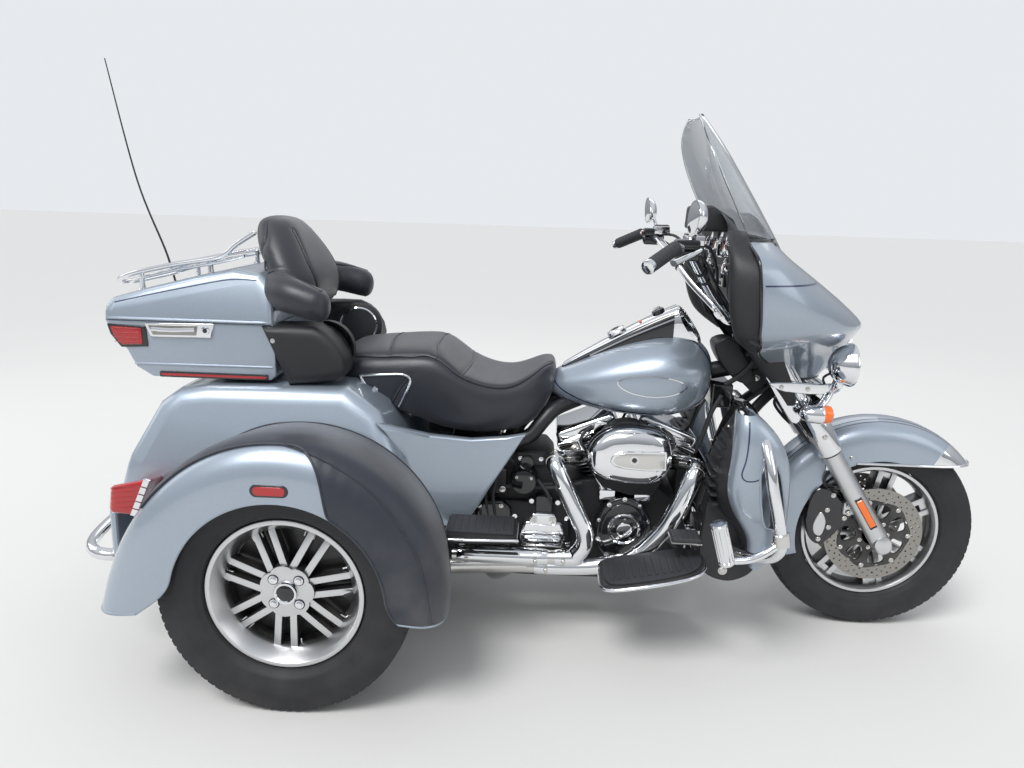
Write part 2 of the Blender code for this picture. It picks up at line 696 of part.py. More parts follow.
fender = fenderShape(-skin, 0.0, fenderLow, 16, fenderIn)
for v in fender.data.vertices:
    dx, dz = v.co.x - rearX, v.co.z - rearTyreR
    r, a = math.hypot(dx, dz), math.degrees(math.atan2(dz, dx)) % 360
    if 128 < a < 300:
        k = 1 + 0.150 * min((a - 128) / 58, 1) ** 2.2 * max(r - archR, 0) / (fenderR - archR)
        v.co.x, v.co.z = rearX + dx * k, rearTyreR + dz * k
coverShell = fenderShape(seat, coverT, fenderLow, 9, fenderIn + 0.020)
lamp = plate([(rearX - 0.4855, 0.486), (rearX - 0.4755, 0.562), (rearX - 0.3585, 0.586), (rearX - 0.4085, 0.482)], -bodyHalf + 0.020, -0.560, 0.012)
lamp = seatOn(lamp, bodySolid, fender)
pair("fender", fender, "paint")
pair("fender_cover", coverShell, "vinyl")
pair("tail_lamp", lamp, "lens")

# Bumper bar behind the trunk body
bumper = tube([(-1.03, -0.37, 0.300), (-1.125, -0.45, 0.320), (-1.195, -0.40, 0.324), (-1.225, -0.25, 0.325),
               (-1.232, 0.0, 0.325), (-1.225, 0.25, 0.325), (-1.195, 0.40, 0.324), (-1.125, 0.45, 0.320),
               (-1.03, 0.37, 0.300)], 0.017, 0.11)
stays = [tube([(-1.222, s * 0.20, 0.328), (-1.16, s * 0.19, 0.350), (-1.08, s * 0.165, 0.4157),
               (-0.95, s * 0.165, 0.4157)], 0.012, 0.1) for s in (-1, 1)]
bumper = union(bumper, *stays)
bumper = seatOn(bumper, nodes["trunk_body"], nodes["frame"], nodes["exhaust"])
node("bumper", bumper, "chrome")

# Side covers, joined by the tray under the seat
coverLine = [(-0.325, 0.690), (-0.270, 0.655), (-0.150, 0.640), (-0.050, 0.648), (0.005, 0.655), (-0.030, 0.590),
             (-0.085, 0.500), (-0.130, 0.420), (-0.165, 0.360), (-0.290, 0.360), (-0.290, 0.560)]
panels = [plate(coverLine, s * 0.222, s * 0.252, 0.010) for s in (-1, 1)]
tray = box((-0.215, -0.24, 0.585), (-0.150, 0.24, 0.600))
covers = union(panels[0], tray, panels[1])
covers = seatOn(covers, nodes["frame"], nodes["seat"], nodes["trunk_body"], nodes["engine"], nodes["exhaust"])
node("side_covers", covers, "paint")

# Footboards with their brackets
boardLine = [(0.236, 0.262), (0.519, 0.318), (0.515, 0.336), (0.232, 0.280)]
board = plate(boardLine, -0.255, -0.430, 0.006)
arm = tube([(0.30, -0.30, 0.272), (0.30, -0.20, 0.205), (0.30, -0.120, 0.190)], 0.011, 0.06)
pedal = tube([(0.47, -0.262, 0.312), (0.475, -0.275, 0.360), (0.460, -0.300, 0.386)], 0.009, 0.05)
pad = box((0.425, -0.355, 0.382), (0.505, -0.285, 0.397), 0.004, 1)
board = union(board, arm, pedal, pad)
board = seatOn(board, nodes["frame"], nodes["engine"], nodes["exhaust"])
boards = copy(board, mirror=True)
boards = seatOn(boards, nodes["frame"], nodes["engine"], nodes["exhaust"])
node("footboard_right", board, "black")
node("footboard_left", boards, "black")
rest = plate([(-0.205, 0.372), (-0.010, 0.380), (-0.010, 0.412), (-0.205, 0.412)], -0.270, -0.400, 0.010)
strut = tube([(-0.12, -0.32, 0.385), (-0.16, -0.24, 0.345), (-0.225, -0.14, 0.320)], 0.012, 0.06)
rest = union(rest, strut)
for s, side in ((-1, "right"), (1, "left")):
    one = copy(rest, mirror=s > 0)
    one = seatOn(one, nodes["frame"], nodes["engine"], nodes["exhaust"], nodes["rear_axle"], nodes["side_covers"])
    node("passenger_board_" + side, one, "black")
bpy.data.objects.remove(rest, do_unlink=True)

# Engine guard and the leg shields on it
guard = tube([(0.640, -0.06, 0.720), (0.640, -0.20, 0.735), (0.648, -0.36, 0.690), (0.660, -0.425, 0.600),
              (0.690, -0.430, 0.470), (0.700, -0.400, 0.380), (0.660, -0.30, 0.330), (0.590, -0.17, 0.310),
              (0.575, 0.0, 0.305)], 0.016, 0.11, res=1)
guard = union(guard, copy(guard, mirror=True))
for s in (-1, 1):
    peg = tube([(0.685, s * 0.425, 0.440), (0.60, s * 0.455, 0.440), (0.520, s * 0.470, 0.450)], 0.010, 0.06)
    foot = box((0.489, s * 0.47 - 0.022, 0.398), (0.544, s * 0.47 + 0.022, 0.527), 0.008)
    guard = union(guard, union(peg, foot))
bridge = rod((0.645, -0.075, 0.705), (0.645, 0.075, 0.705), 0.012, sides=12)
guard = union(guard, bridge)
guard = seatOn(guard, nodes["frame"])
shieldLine = [(0.545, 0.752), (0.600, 0.762), (0.650, 0.735), (0.690, 0.695), (0.712, 0.645), (0.718, 0.590),
              (0.712, 0.520), (0.690, 0.440), (0.650, 0.385), (0.600, 0.345), (0.560, 0.345), (0.555, 0.420),
              (0.535, 0.500), (0.525, 0.600), (0.530, 0.700)]
shield = plate(shieldLine, -0.235, -0.395, 0.030, 2)
shield = seatOn(shield, guard, nodes["frame"])
pair("leg_shield", shield, "paint")
node("engine_guard", guard, "chrome")

# Luggage case, lid, speakers, rack, backrest, aerial
caseLine = [(-1.165, splitZ), (-1.150, 0.915), (-1.108, 0.862), (-1.085, 0.815), (-1.040, 0.788), (-0.705, 0.788),
            (-0.690, 0.803), (-0.690, splitZ)]
caseIn = [(-1.165 + 0.006, splitZ + 0.02), (-1.144, 0.918), (-1.103, 0.865), (-1.081, 0.820), (-1.037, 0.793),
          (-0.707, 0.793), (-0.695, 0.806), (-0.695, splitZ + 0.02)]
tubSolid = plate(caseLine, -caseHalfY, caseHalfY, 0.0)
tub = cut(copy(tubSolid), plate(caseIn, -caseHalfY + caseWall, caseHalfY - caseWall))
tub = union(tub, box((-0.90, -0.15, 0.755), (-0.72, 0.15, 0.790)))
tub = seatOn(tub, bodySolid, nodes["seat"])
lidRows = [(-1.163, 0.982), (-1.145, 1.004), (-1.045, 1.034), (-0.920, 1.066), (-0.810, lidTopZ), (-0.740, 1.080),
           (-0.700, 1.040), (-0.690, splitZ - 0.030), (-1.170, splitZ - 0.030)]
lidSolid = taper(plate(lidRows, -caseHalfY - 0.004, caseHalfY + 0.004, 0.020, 2), splitZ + 0.02, lidTopZ, 0.86)
lidSolid = cut(lidSolid, box((-1.30, -0.40, splitZ - 0.10), (-0.60, 0.40, splitZ + seat)))
lidInner = [(x + (0.006 if x < -0.9 else -0.006), z - 0.006) for x, z in lidRows[:7]]
lidInner += [(-0.696, splitZ - 0.02), (-1.164, splitZ - 0.02)]
lid = cut(copy(lidSolid), taper(plate(lidInner, -caseHalfY + 0.002, caseHalfY - 0.002), splitZ + 0.02, lidTopZ, 0.86))
podLine = [(-0.727, 0.943), (-0.565, 0.943), (-0.517, 0.901), (-0.492, 0.859), (-0.497, 0.809), (-0.526, 0.793),
           (-0.655, 0.777)]
pod = plate(podLine, -0.180, -caseHalfY - 0.022, 0.012)
pod = seatOn(pod, tubSolid, nodes["seat"], bodySolid)
pair("speaker_pod", pod, "black")
mastY = caseHalfY - 0.008
mast = tube([(-1.200, mastY, 0.895), (-1.210, mastY, 0.920), (-1.245, mastY, 1.074), (-1.330, mastY, 1.320),
             (-tipX + 0.004, mastY, 1.700)], 0.0035, 0.10)
bracket = box((-1.215, mastY - 0.020, 0.885), (-1.120, mastY + 0.020, 0.905))
mast = union(bracket, mast)
mast = seatOn(mast, tubSolid)
node("aerial", mast, "black")
node("luggage_case", tub, "paint")

rackHalf = 0.215
rail = [(-0.762, -rackHalf, 1.188), (-0.812, -rackHalf, 1.156), (-0.864, -rackHalf, 1.119),
        (-1.000, -rackHalf, 1.092), (-1.135, -rackHalf + 0.010, 1.058), (-1.186, -rackHalf + 0.07, 1.030)]
rail = rail + [(-1.194, 0.0, 1.026)] + [(x, -y, z) for x, y, z in rail[::-1]]
rack = tube(rail, 0.0075, 0.12)
for x, z in ((-0.90, 1.112), (-1.00, 1.092), (-1.10, 1.068)):
    rack = union(rack, box((x - 0.014, -rackHalf + 0.0015, z - 0.0045), (x + 0.014, rackHalf - 0.0015, z + 0.0035)))
for x, z in ((-0.90, 1.112), (-1.10, 1.068)):
    for s in (-1, 1):
        rack = union(rack, rod((x, s * (rackHalf - 0.025), z), (x, s * (rackHalf - 0.025), 1.0), 0.007, sides=8))
rack = seatOn(rack, lidSolid)
restRows = [
    # z, back x, front x, half width
    (0.952, -0.715, -0.625, 0.200), (1.010, -0.735, -0.605, 0.230), (1.065, -0.757, -0.605, 0.240),
    (1.130, -0.795, -0.640, 0.200), (1.195, -0.815, -0.680, 0.135), (1.234, -0.802, -0.718, 0.075)]
sections = []
for z, back, front, half in restRows:
    mid = (back + front) / 2
    sections.append([Vector(p) for p in (
        (back, 0, z), (back, half * 0.7, z), (mid, half, z), (front, half * 0.75, z), (front + 0.01, 0, z),
        (front, -half * 0.75, z), (mid, -half, z), (back, -half * 0.7, z))])
cushion = subdivide(loft(sections), 1)
for s in (-1, 1):
    arm = tube([(-0.680, s * 0.100, 1.030), (-0.675, s * 0.215, 1.030), (-0.635, s * 0.278, 1.020),
                (-0.560, s * 0.284, 1.000)], 0.046, 0.06)
    cushion = union(cushion, arm)
cushion = seatOn(cushion, lidSolid, rack, nodes["speaker_pod_right"], nodes["speaker_pod_left"])
node("backrest", cushion, "vinyl", lidHinge)
node("luggage_rack", rack, "chrome", lidHinge)
node("case_lid", lid, "paint", lidHinge)

# Fork: two legs, two clamps, the stem, the axle and the brake callipers
fork = rod((axisX(clampLowZ), 0, clampLowZ), (axisX(clampTopZ), 0, clampTopZ), stemR, sides=24)
for z, thick in ((clampLowZ, 0.028), (clampTopZ, 0.024)):
    mid = Vector(((axisX(z) + legX(z)) / 2, 0, z))
    bar = box((-0.050, -legY - 0.032, -thick / 2), (0.050, legY + 0.032, thick / 2), 0.006)
    bar.data.transform(Matrix.Translation(mid) @ Matrix.Rotation(-rake, 4, 'Y'))
    fork = union(fork, bar)
for s in (-1, 1):
    low = Vector((legX(frontTyreR - 0.03), s * legY, frontTyreR - 0.03))
    joint = Vector((legX(0.66), s * legY, 0.66))
    top = Vector((legX(clampTopZ + 0.02), s * legY, clampTopZ + 0.02))
    fork = union(fork, rod(low, joint, legR + 0.005, sides=12), rod(joint, top, legR, sides=12))
    sleeve = [Vector((legX(z), s * legY, z)) for z in (0.598, 0.712)]
    fork = union(fork, rod(sleeve[0], sleeve[1], legR + 0.012, legR + 0.018, sides=12))
fork = union(fork, rod((frontX, -legY - 0.034, frontTyreR), (frontX, legY + 0.034, frontTyreR), axleR, sides=16))
for s in (-1, 1):
    calliper = box((frontX - 0.165, s * (rotorY + 0.005) - 0.025, 0.385), (frontX - 0.085, s * (rotorY + 0.005) + 0.025, 0.455), 0.008, 1)
    lug = box((frontX - 0.135, s * (rotorY + 0.028) - 0.016, 0.405), (frontX - 0.055, s * (rotorY + 0.028) + 0.016, 0.440))
    calliper = union(calliper, lug)
    slot = turned([(rotorR + 0.010, 0.007), (rotorR + 0.010, -0.007), (0.0, -0.007), (0.0, 0.007)],
                  (frontX, s * rotorY, frontTyreR), steps=20)
    fork = union(fork, cut(calliper, slot))

# Front fender
fenderIR = frontTyreR + 0.030
half = 0.088
profile = [(fenderIR + 0.012, -0.02), (fenderIR - 0.004, -half + 0.018), (fenderIR - 0.030, -half),
           (fenderIR - 0.105, -half - 0.002)]
outer = [(r, -h) for r, h in profile[::-1]] + profile
outline = [(r, h) for r, h in outer] + [(r - 0.004, h * 0.955) for r, h in outer[::-1]]
mud = turned(outline, frontCentre, axis=(0, -1, 0), steps=15, angle=math.radians(162), start=math.radians(33))
mud = cut(mud, box((frontX - 0.0862, -0.12, frontTyreR - 0.10), (tipX + 0.10, 0.12, frontTyreR + 0.2303)))
for s in (-1, 1):
    bossZ = frontTyreR + fenderIR - 0.116
    bossX = legX(bossZ)
    mud = union(mud, box((bossX - 0.030, s * 0.0920 - 0.010, bossZ - 0.0205),
                         (bossX + 0.012, s * 0.0920 + 0.010, bossZ + 0.0205)))
mud = seatOn(mud, fork)

# Fairing: outer shell, inner panel with the dash, windshield
fairRows = [
    # z, nose x, side x, half width, fullness
    (0.808, 0.885, 0.760, 0.105, 0.90),
    (0.860, 0.930, 0.700, 0.150, 1.20),
    (0.905, 0.957, 0.637, 0.250, 1.60),
    (0.940, 0.974, 0.620, 0.325, 1.40),
    (0.975, 0.984, 0.606, 0.355, 1.10),
    (1.050, 0.895, 0.594, 0.385, 0.80),
    (1.110, 0.805, 0.588, 0.385, 0.75),
    (1.172, 0.720, 0.583, 0.370, 0.75)]


def arc(nose, side, half, z, power=0.75, n=5):
    pts = []
    for k in range(-n, n + 1):
        a = math.radians(90) * k / n
        x = side + (nose - side) * math.cos(a) ** power if abs(k) < n else side
        pts.append(Vector((x, half * math.sin(a), z)))
    return pts


shell = loft([arc(nose, side, half, z, power) for z, nose, side, half, power in fairRows], caps=False,
             closed=False)
shell = thicken(shell, 0.005)
shell = seatOn(shell, fork)
inner = []
for z, back, half, deep in [
        # z, back edge's x, half width, depth
        (0.998, 0.566, 0.352, 0.11), (1.050, 0.552, 0.368, 0.12), (1.110, 0.540, 0.368, 0.12),
        (1.168, 0.534, 0.352, 0.11), (1.225, 0.540, 0.225, 0.060), (1.290, 0.515, 0.165, 0.030)]:
    inner.append([Vector(p) for p in ((back, -half, z), (back + 0.020, -half * 0.55, z), (back + 0.028, 0, z),
                                      (back + 0.020, half * 0.55, z), (back, half, z),
                                      (back + deep * 0.36, half - 0.006, z), (back + deep * 0.9, half * 0.55, z),
                                      (back + deep, 0, z), (back + deep * 0.9, -half * 0.55, z),
                                      (back + deep * 0.36, -half + 0.006, z))])
dash = loft(inner)
dash = union(dash, box((0.610, -0.05, 0.968), (0.72, 0.05, 1.02)))
cheek = [(0.562, 0.999), (0.585, 0.950), (0.610, 0.940), (0.660, 0.999)]
for s in (-1, 1):
    dash = union(dash, plate(cheek, s * 0.250, s * 0.335))
dash = seatOn(dash, shell, fork)
screenRows = [
    # z, middle x, side x, half width
    (1.150, 0.735, 0.610, 0.255),
    (1.250, 0.672, 0.560, 0.262),
    (1.370, 0.590, 0.500, 0.255),
    (1.480, 0.515, 0.455, 0.195),
    (1.545, 0.470, 0.452, 0.085)]
screen = thicken(loft([arc(nose, side, half, z, n=4) for z, nose, side, half in screenRows], caps=False,
                      closed=False), 0.0045)
screen = seatOn(screen, shell, dash)

# Handlebar with grips, levers and mirrors
barSide = [(0.588, 0.075, 0.978), (0.562, 0.115, 1.006), (0.505, 0.180, 1.066), (0.436, 0.275, 1.158),
           (0.408, 0.325, 1.186), (0.366, 0.372, 1.192), (0.292, 0.455, 1.150)]
bar = tube([(x, -y, z) for x, y, z in barSide[::-1]] + [(0.592, 0, 0.976)] + barSide, 0.0127, 0.12)
for s in (-1, 1):
    grip = rod((0.371, s * 0.366, 1.194), (0.290, s * 0.457, 1.148), 0.018, sides=12)
    switch = box((0.372, s * 0.335 - 0.026, 1.160), (0.434, s * 0.335 + 0.026, 1.214), 0.008, 1)
    riser = rod((0.592, s * 0.045, 0.976), (0.663, s * 0.045, 0.955), 0.018, sides=10)
    lever = tube([(0.420, s * 0.330, 1.180), (0.420, s * 0.400, 1.188), (0.350, s * 0.475, 1.165)], 0.007, 0.08, res=1)
    mirrorStem = tube([(0.418, s * 0.335, 1.190), (0.412, s * 0.380, 1.235), (0.405, s * 0.415, 1.268)], 0.006, 0.08, res=1)
    mirror = ball((0.400, s * 0.440, 1.286), (0.020, 0.068, 0.038), 8)
    bar = union(bar, grip, switch, riser, lever, mirrorStem, mirror)
bar = seatOn(bar, fork, dash)

# Headlight in the fairing, lamps and turn signals on the bar below
lightX, lightZ = 0.880, 0.905
light = rod((0.865, 0, lightZ), (0.958, 0, lightZ), 0.086, 0.086, sides=24)
shell = seatOn(shell, light)
lampBar = tube([(0.885, -0.190, 0.835), (0.885, -0.160, 0.795), (0.898, 0.0, 0.772), (0.885, 0.160, 0.795),
                (0.885, 0.190, 0.835)], 0.012, 0.08)
for s in (-1, 1):
    can = rod((0.856, s * 0.190, 0.873), (0.914, s * 0.190, 0.873), 0.040, 0.060, sides=16)
    signal = rod((0.792, s * 0.190, 0.727), (0.870, s * 0.190, 0.727), 0.024, 0.028, sides=14)
    stalk = rod((0.884, s * 0.150, 0.790), (0.850, s * 0.185, 0.735), 0.009, sides=8)
    lampBar = union(lampBar, can, stalk, signal)
lampBar = union(lampBar, box((0.870, -0.05, 0.732), (0.912, 0.05, 0.778), 0.006, 1))
lampBar = seatOn(lampBar, fork, shell)
lampBar = seatOn(lampBar, light)
node("front_lamps", lampBar, "chrome", steering)
node("headlight", light, "chrome", steering)
node("handlebar", bar, "chrome", steering)
node("windshield", screen, "clearview", steering)
node("dash", dash, "black", steering)
node("fairing", shell, "paint", steering)
node("front_fender", mud, "paint", steering)
node("fork", fork, "chrome", steering)

for ob in list(tools.objects):
    ob.hide_render = True
    ob.display_type = 'WIRE'
for ob in model.objects:
    if ob.parent is None and ob is not trike:
        ob.parent = trike
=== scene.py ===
import bpy
import bmesh
import math
from mathutils import Matrix, Vector
from mathutils.bvhtree import BVHTree


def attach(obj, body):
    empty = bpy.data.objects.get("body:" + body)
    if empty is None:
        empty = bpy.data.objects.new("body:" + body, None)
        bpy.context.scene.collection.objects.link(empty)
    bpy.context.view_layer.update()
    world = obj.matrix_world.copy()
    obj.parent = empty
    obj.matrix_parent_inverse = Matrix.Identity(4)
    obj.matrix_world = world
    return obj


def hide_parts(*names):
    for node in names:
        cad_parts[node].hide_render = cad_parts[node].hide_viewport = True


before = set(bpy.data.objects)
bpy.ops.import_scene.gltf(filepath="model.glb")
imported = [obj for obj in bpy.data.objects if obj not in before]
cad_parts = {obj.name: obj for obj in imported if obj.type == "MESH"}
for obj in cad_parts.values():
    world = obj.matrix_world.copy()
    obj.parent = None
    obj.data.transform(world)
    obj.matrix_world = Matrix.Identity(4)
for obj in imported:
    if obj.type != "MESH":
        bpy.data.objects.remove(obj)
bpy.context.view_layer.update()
print("frame loaded", len(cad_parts), "nodes")

def newObject(name, data):
    ob = bpy.data.objects.new(name, data)
    bpy.context.scene.collection.objects.link(ob)
    return ob


# camera and stage -----
view = {"place": (0.035803, -2.428276, 1.319078), "yaw": 0.0333767, "pitch": 0.2356176, "roll": 0.0307486,
        "lens": 28.139}


def makeCamera():
    data = bpy.data.cameras.new("camera")
    data.sensor_width = 36
    data.lens = view["lens"]
    data.clip_start = 0.05
    data.clip_end = 200
    camera = newObject("camera", data)
    yaw, pitch, roll = view["yaw"], view["pitch"], view["roll"]
    ahead = Vector((-math.sin(yaw) * math.cos(pitch), math.cos(yaw) * math.cos(pitch), -math.sin(pitch)))
    right = Vector((math.cos(yaw), math.sin(yaw), 0))
    up = right.cross(ahead)
    right, up = right * math.cos(roll) + up * math.sin(roll), up * math.cos(roll) - right * math.sin(roll)
    matrix = Matrix((right, up, -ahead)).transposed().to_4x4()
    matrix.translation = view["place"]
    camera.matrix_world = matrix
    bpy.context.scene.camera = camera


light = {"sun": 2.3, "softness": 24, "key": 32, "keySize": 4.5, "fill": 22, "rim": 26, "front": 18,
         "world": 0.76}


def areaLight(name, place, target, power, size):
    data = bpy.data.lights.new(name, 'AREA')
    data.energy = power
    data.shape = 'RECTANGLE'
    data.size, data.size_y = size
    lamp = newObject(name, data)
    lamp.location = place
    lamp.rotation_euler = (Vector(target) - Vector(place)).to_track_quat('-Z', 'Y').to_euler()


def makeStage():
    world = bpy.data.worlds.new("studio")
    bpy.context.scene.world = world
    world.use_nodes = True
    nodes, links = world.node_tree.nodes, world.node_tree.links
    nodes.clear()
    coord = nodes.new('ShaderNodeTexCoord')
    split = nodes.new('ShaderNodeSeparateXYZ')
    ramp = nodes.new('ShaderNodeValToRGB')
    ramp.color_ramp.elements[0].position = 0.42
    ramp.color_ramp.elements[0].color = (0.16, 0.16, 0.17, 1)
    ramp.color_ramp.elements[1].position = 0.8
    ramp.color_ramp.elements[1].color = (0.92, 0.95, 1, 1)
    middle = ramp.color_ramp.elements.new(0.52)
    middle.color = (0.42, 0.44, 0.47, 1)
    remap = nodes.new('ShaderNodeMapRange')
    remap.inputs['From Min'].default_value = -1
    back = nodes.new('ShaderNodeBackground')
    back.inputs['Strength'].default_value = light["world"]
    pale = nodes.new('ShaderNodeBackground')
    pale.inputs['Color'].default_value = (0.8, 0.82, 0.85, 1)
    path = nodes.new('ShaderNodeLightPath')
    mix = nodes.new('ShaderNodeMixShader')
    out = nodes.new('ShaderNodeOutputWorld')
    links.new(coord.outputs['Generated'], split.inputs[0])
    links.new(split.outputs['Z'], remap.inputs['Value'])
    links.new(remap.outputs[0], ramp.inputs[0])
    links.new(ramp.outputs[0], back.inputs['Color'])
    links.new(path.outputs['Is Camera Ray'], mix.inputs[0])
    links.new(back.outputs[0], mix.inputs[1])
    links.new(pale.outputs[0], mix.inputs[2])
    links.new(mix.outputs[0], out.inputs[0])
    bpy.context.scene.view_settings.view_transform = 'Standard'
    data = bpy.data.lights.new("sun", 'SUN')
    data.energy = light["sun"]
    data.angle = math.radians(light["softness"])
    sun = newObject("sun", data)
    sun.rotation_euler = Vector((0.35, 0.62, -1)).to_track_quat('-Z', 'Y').to_euler()
    areaLight("lampKey", (-1.5, -3.6, 4.2), (0, 0, 0.5), light["key"], (light["keySize"], 2.4))
    areaLight("lampFill", (3.8, -2.6, 2.6), (0.3, 0, 0.5), light["fill"], (2.6, 2.6))
    areaLight("lampRim", (0.4, 4, 3.4), (0, 0, 0.6), light["rim"], (5, 2))
    areaLight("lampFront", (-4.2, 0.6, 2.4), (-0.4, 0, 0.5), light["front"], (2.4, 2.4))
    mesh = bpy.data.meshes.new("floor")
    mesh.from_pydata([(-30, -30, 0), (30, -30, 0), (30, 30, 0), (-30, 30, 0)], [], [(0, 1, 2, 3)])
    floor = newObject("floor", mesh)
    return floor


makeCamera()
floor = makeStage()
print("camera and stage made")


# shader node groups -----
def newGroup(name, inputs, outputs):
    group = bpy.data.node_groups.new(name, 'ShaderNodeTree')
    for label, kind, value in inputs:
        socket = group.interface.new_socket(name=label, in_out='INPUT', socket_type='NodeSocket' + kind)
        socket.default_value = value
    for label, kind in outputs:
        group.interface.new_socket(name=label, in_out='OUTPUT', socket_type='NodeSocket' + kind)
    return group, group.nodes.new('NodeGroupInput'), group.nodes.new('NodeGroupOutput')


def addNode(tree, kind, links=(), **values):
    # links: (input name or index, output socket) pairs
    node = tree.nodes.new('ShaderNode' + kind)
    for key, value in values.items():
        setattr(node, key, value)
    for where, source in links:
        if isinstance(source, bpy.types.NodeSocket):
            tree.links.new(source, node.inputs[where])
        else:
            node.inputs[where].default_value = source
    return node


def makeGroups():
    groups = {}
    # uneven roughness with a faint bump, for nearly every finish
    group, start, end = newGroup("unevenFinish", [("Scale", "Float", 20), ("Roughness", "Float", 0.4),
        ("Spread", "Float", 0.1)], [("Roughness", "Float"), ("Height", "Float")])
    coord = addNode(group, 'TexCoord')
    noise = addNode(group, 'TexNoise', [("Vector", coord.outputs['Object']), ("Scale", start.outputs['Scale']),
                                        ("Detail", 5), ("Roughness", 0.6)])
    less = addNode(group, 'Math', [(0, noise.outputs[0]), (1, 0.5)], operation='SUBTRACT')
    wide = addNode(group, 'Math', [(0, less.outputs[0]), (1, start.outputs['Spread'])], operation='MULTIPLY')
    total = addNode(group, 'Math', [(0, start.outputs['Roughness']), (1, wide.outputs[0])], operation='ADD',
                    use_clamp=True)
    group.links.new(total.outputs[0], end.inputs['Roughness'])
    group.links.new(noise.outputs[0], end.inputs['Height'])
    groups["uneven"] = group
    # dust that settles low down
    group, start, end = newGroup("lowDust", [("Colour", "Color", (0.1, 0.1, 0.1, 1)),
                                             ("Dust", "Color", (0.3, 0.28, 0.25, 1)),
                                             ("Amount", "Float", 0.3), ("Top", "Float", 0.5)],
                                 [("Colour", "Color"), ("Mask", "Float")])
    spot = addNode(group, 'NewGeometry')
    split = addNode(group, 'SeparateXYZ', [(0, spot.outputs['Position'])])
    fall = addNode(group, 'MapRange', [("Value", split.outputs['Z']), ("From Min", 0),
                                       ("From Max", start.outputs['Top']), ("To Min", 1), ("To Max", 0)])
    noise = addNode(group, 'TexNoise', [("Vector", spot.outputs['Position']), ("Scale", 14), ("Detail", 6)])
    patch = addNode(group, 'MapRange', [("Value", noise.outputs[0]), ("From Min", 0.35), ("From Max", 0.7)])
    both = addNode(group, 'Math', [(0, fall.outputs[0]), (1, patch.outputs[0])], operation='MULTIPLY')
    mask = addNode(group, 'Math', [(0, both.outputs[0]), (1, start.outputs['Amount'])], operation='MULTIPLY',
                   use_clamp=True)
    mix = addNode(group, 'Mix', data_type='RGBA')
    group.links.new(mask.outputs[0], mix.inputs[0])
    group.links.new(start.outputs['Colour'], mix.inputs[6])
    group.links.new(start.outputs['Dust'], mix.inputs[7])
    group.links.new(mix.outputs[2], end.inputs['Colour'])
    group.links.new(mask.outputs[0], end.inputs['Mask'])
    groups["dust"] = group
    # pebbled grain of vinyl and moulded plastic
    group, start, end = newGroup("pebbleGrain", [("Scale", "Float", 500), ("Broad", "Float", 0.2)],
                                 [("Height", "Float"), ("Mask", "Float")])
    coord = addNode(group, 'TexCoord')
    cells = addNode(group, 'TexVoronoi',
                    [("Vector", coord.outputs['Object']), ("Scale", start.outputs['Scale'])],
                    feature='SMOOTH_F1')
    soft = addNode(group, 'TexNoise', [("Vector", coord.outputs['Object']), ("Scale", 22), ("Detail", 3)])
    wide = addNode(group, 'Math', [(0, soft.outputs[0]), (1, start.outputs['Broad'])], operation='MULTIPLY')
    total = addNode(group, 'Math', [(0, cells.outputs['Distance']), (1, wide.outputs[0])], operation='ADD')
    group.links.new(total.outputs[0], end.inputs['Height'])
    group.links.new(soft.outputs[0], end.inputs['Mask'])
    groups["grain"] = group
    # fine turned or brushed lines round an axis
    group, start, end = newGroup("brushedLines", [("Scale", "Float", 60), ("Stretch", "Float", 12),
                                                  ("Roughness", "Float", 0.3), ("Spread", "Float", 0.2)],
                                 [("Roughness", "Float"), ("Height", "Float")])
    coord = addNode(group, 'TexCoord')
    size = addNode(group, 'CombineXYZ', [(0, 1), (1, start.outputs['Stretch']), (2, 1)])
    wide = addNode(group, 'VectorMath', [(0, coord.outputs['Object']), (1, size.outputs[0])],
                   operation='MULTIPLY')
    noise = addNode(group, 'TexNoise', [("Vector", wide.outputs[0]), ("Scale", start.outputs['Scale']),
                                        ("Detail", 4)])
    less = addNode(group, 'Math', [(0, noise.outputs[0]), (1, 0.5)], operation='SUBTRACT')
    spread = addNode(group, 'Math', [(0, less.outputs[0]), (1, start.outputs['Spread'])], operation='MULTIPLY')
    total = addNode(group, 'Math', [(0, spread.outputs[0]), (1, start.outputs['Roughness'])], operation='ADD',
                    use_clamp=True)
    group.links.new(total.outputs[0], end.inputs['Roughness'])
    group.links.new(noise.outputs[0], end.inputs['Height'])
    groups["brushed"] = group
    # tiny flakes and broad tone shifts in the paint
    group, start, end = newGroup("paintFlake", [("Colour", "Color", (0.3, 0.4, 0.5, 1)),
        ("Scale", "Float", 900), ("Amount", "Float", 0.1)], [("Colour", "Color"), ("Height", "Float")])
    coord = addNode(group, 'TexCoord')
    cells = addNode(group, 'TexVoronoi',
                    [("Vector", coord.outputs['Object']), ("Scale", start.outputs['Scale'])])
    tone = addNode(group, 'TexNoise', [("Vector", coord.outputs['Object']), ("Scale", 3), ("Detail", 2)])
    split = addNode(group, 'SeparateColor', [(0, cells.outputs['Color'])])
    both = addNode(group, 'Math', [(0, split.outputs[0]), (1, tone.outputs[0])], operation='ADD')
    less = addNode(group, 'Math', [(0, both.outputs[0]), (1, 1)], operation='SUBTRACT')
    shift = addNode(group, 'Math', [(0, less.outputs[0]), (1, start.outputs['Amount'])], operation='MULTIPLY')
    value = addNode(group, 'Math', [(0, shift.outputs[0]), (1, 1)], operation='ADD')
    tint = addNode(group, 'HueSaturation', [("Color", start.outputs['Colour']), ("Value", value.outputs[0])])
    group.links.new(tint.outputs[0], end.inputs['Colour'])
    group.links.new(split.outputs[0], end.inputs['Height'])
    groups["flake"] = group
    return groups


shaderGroups = makeGroups()


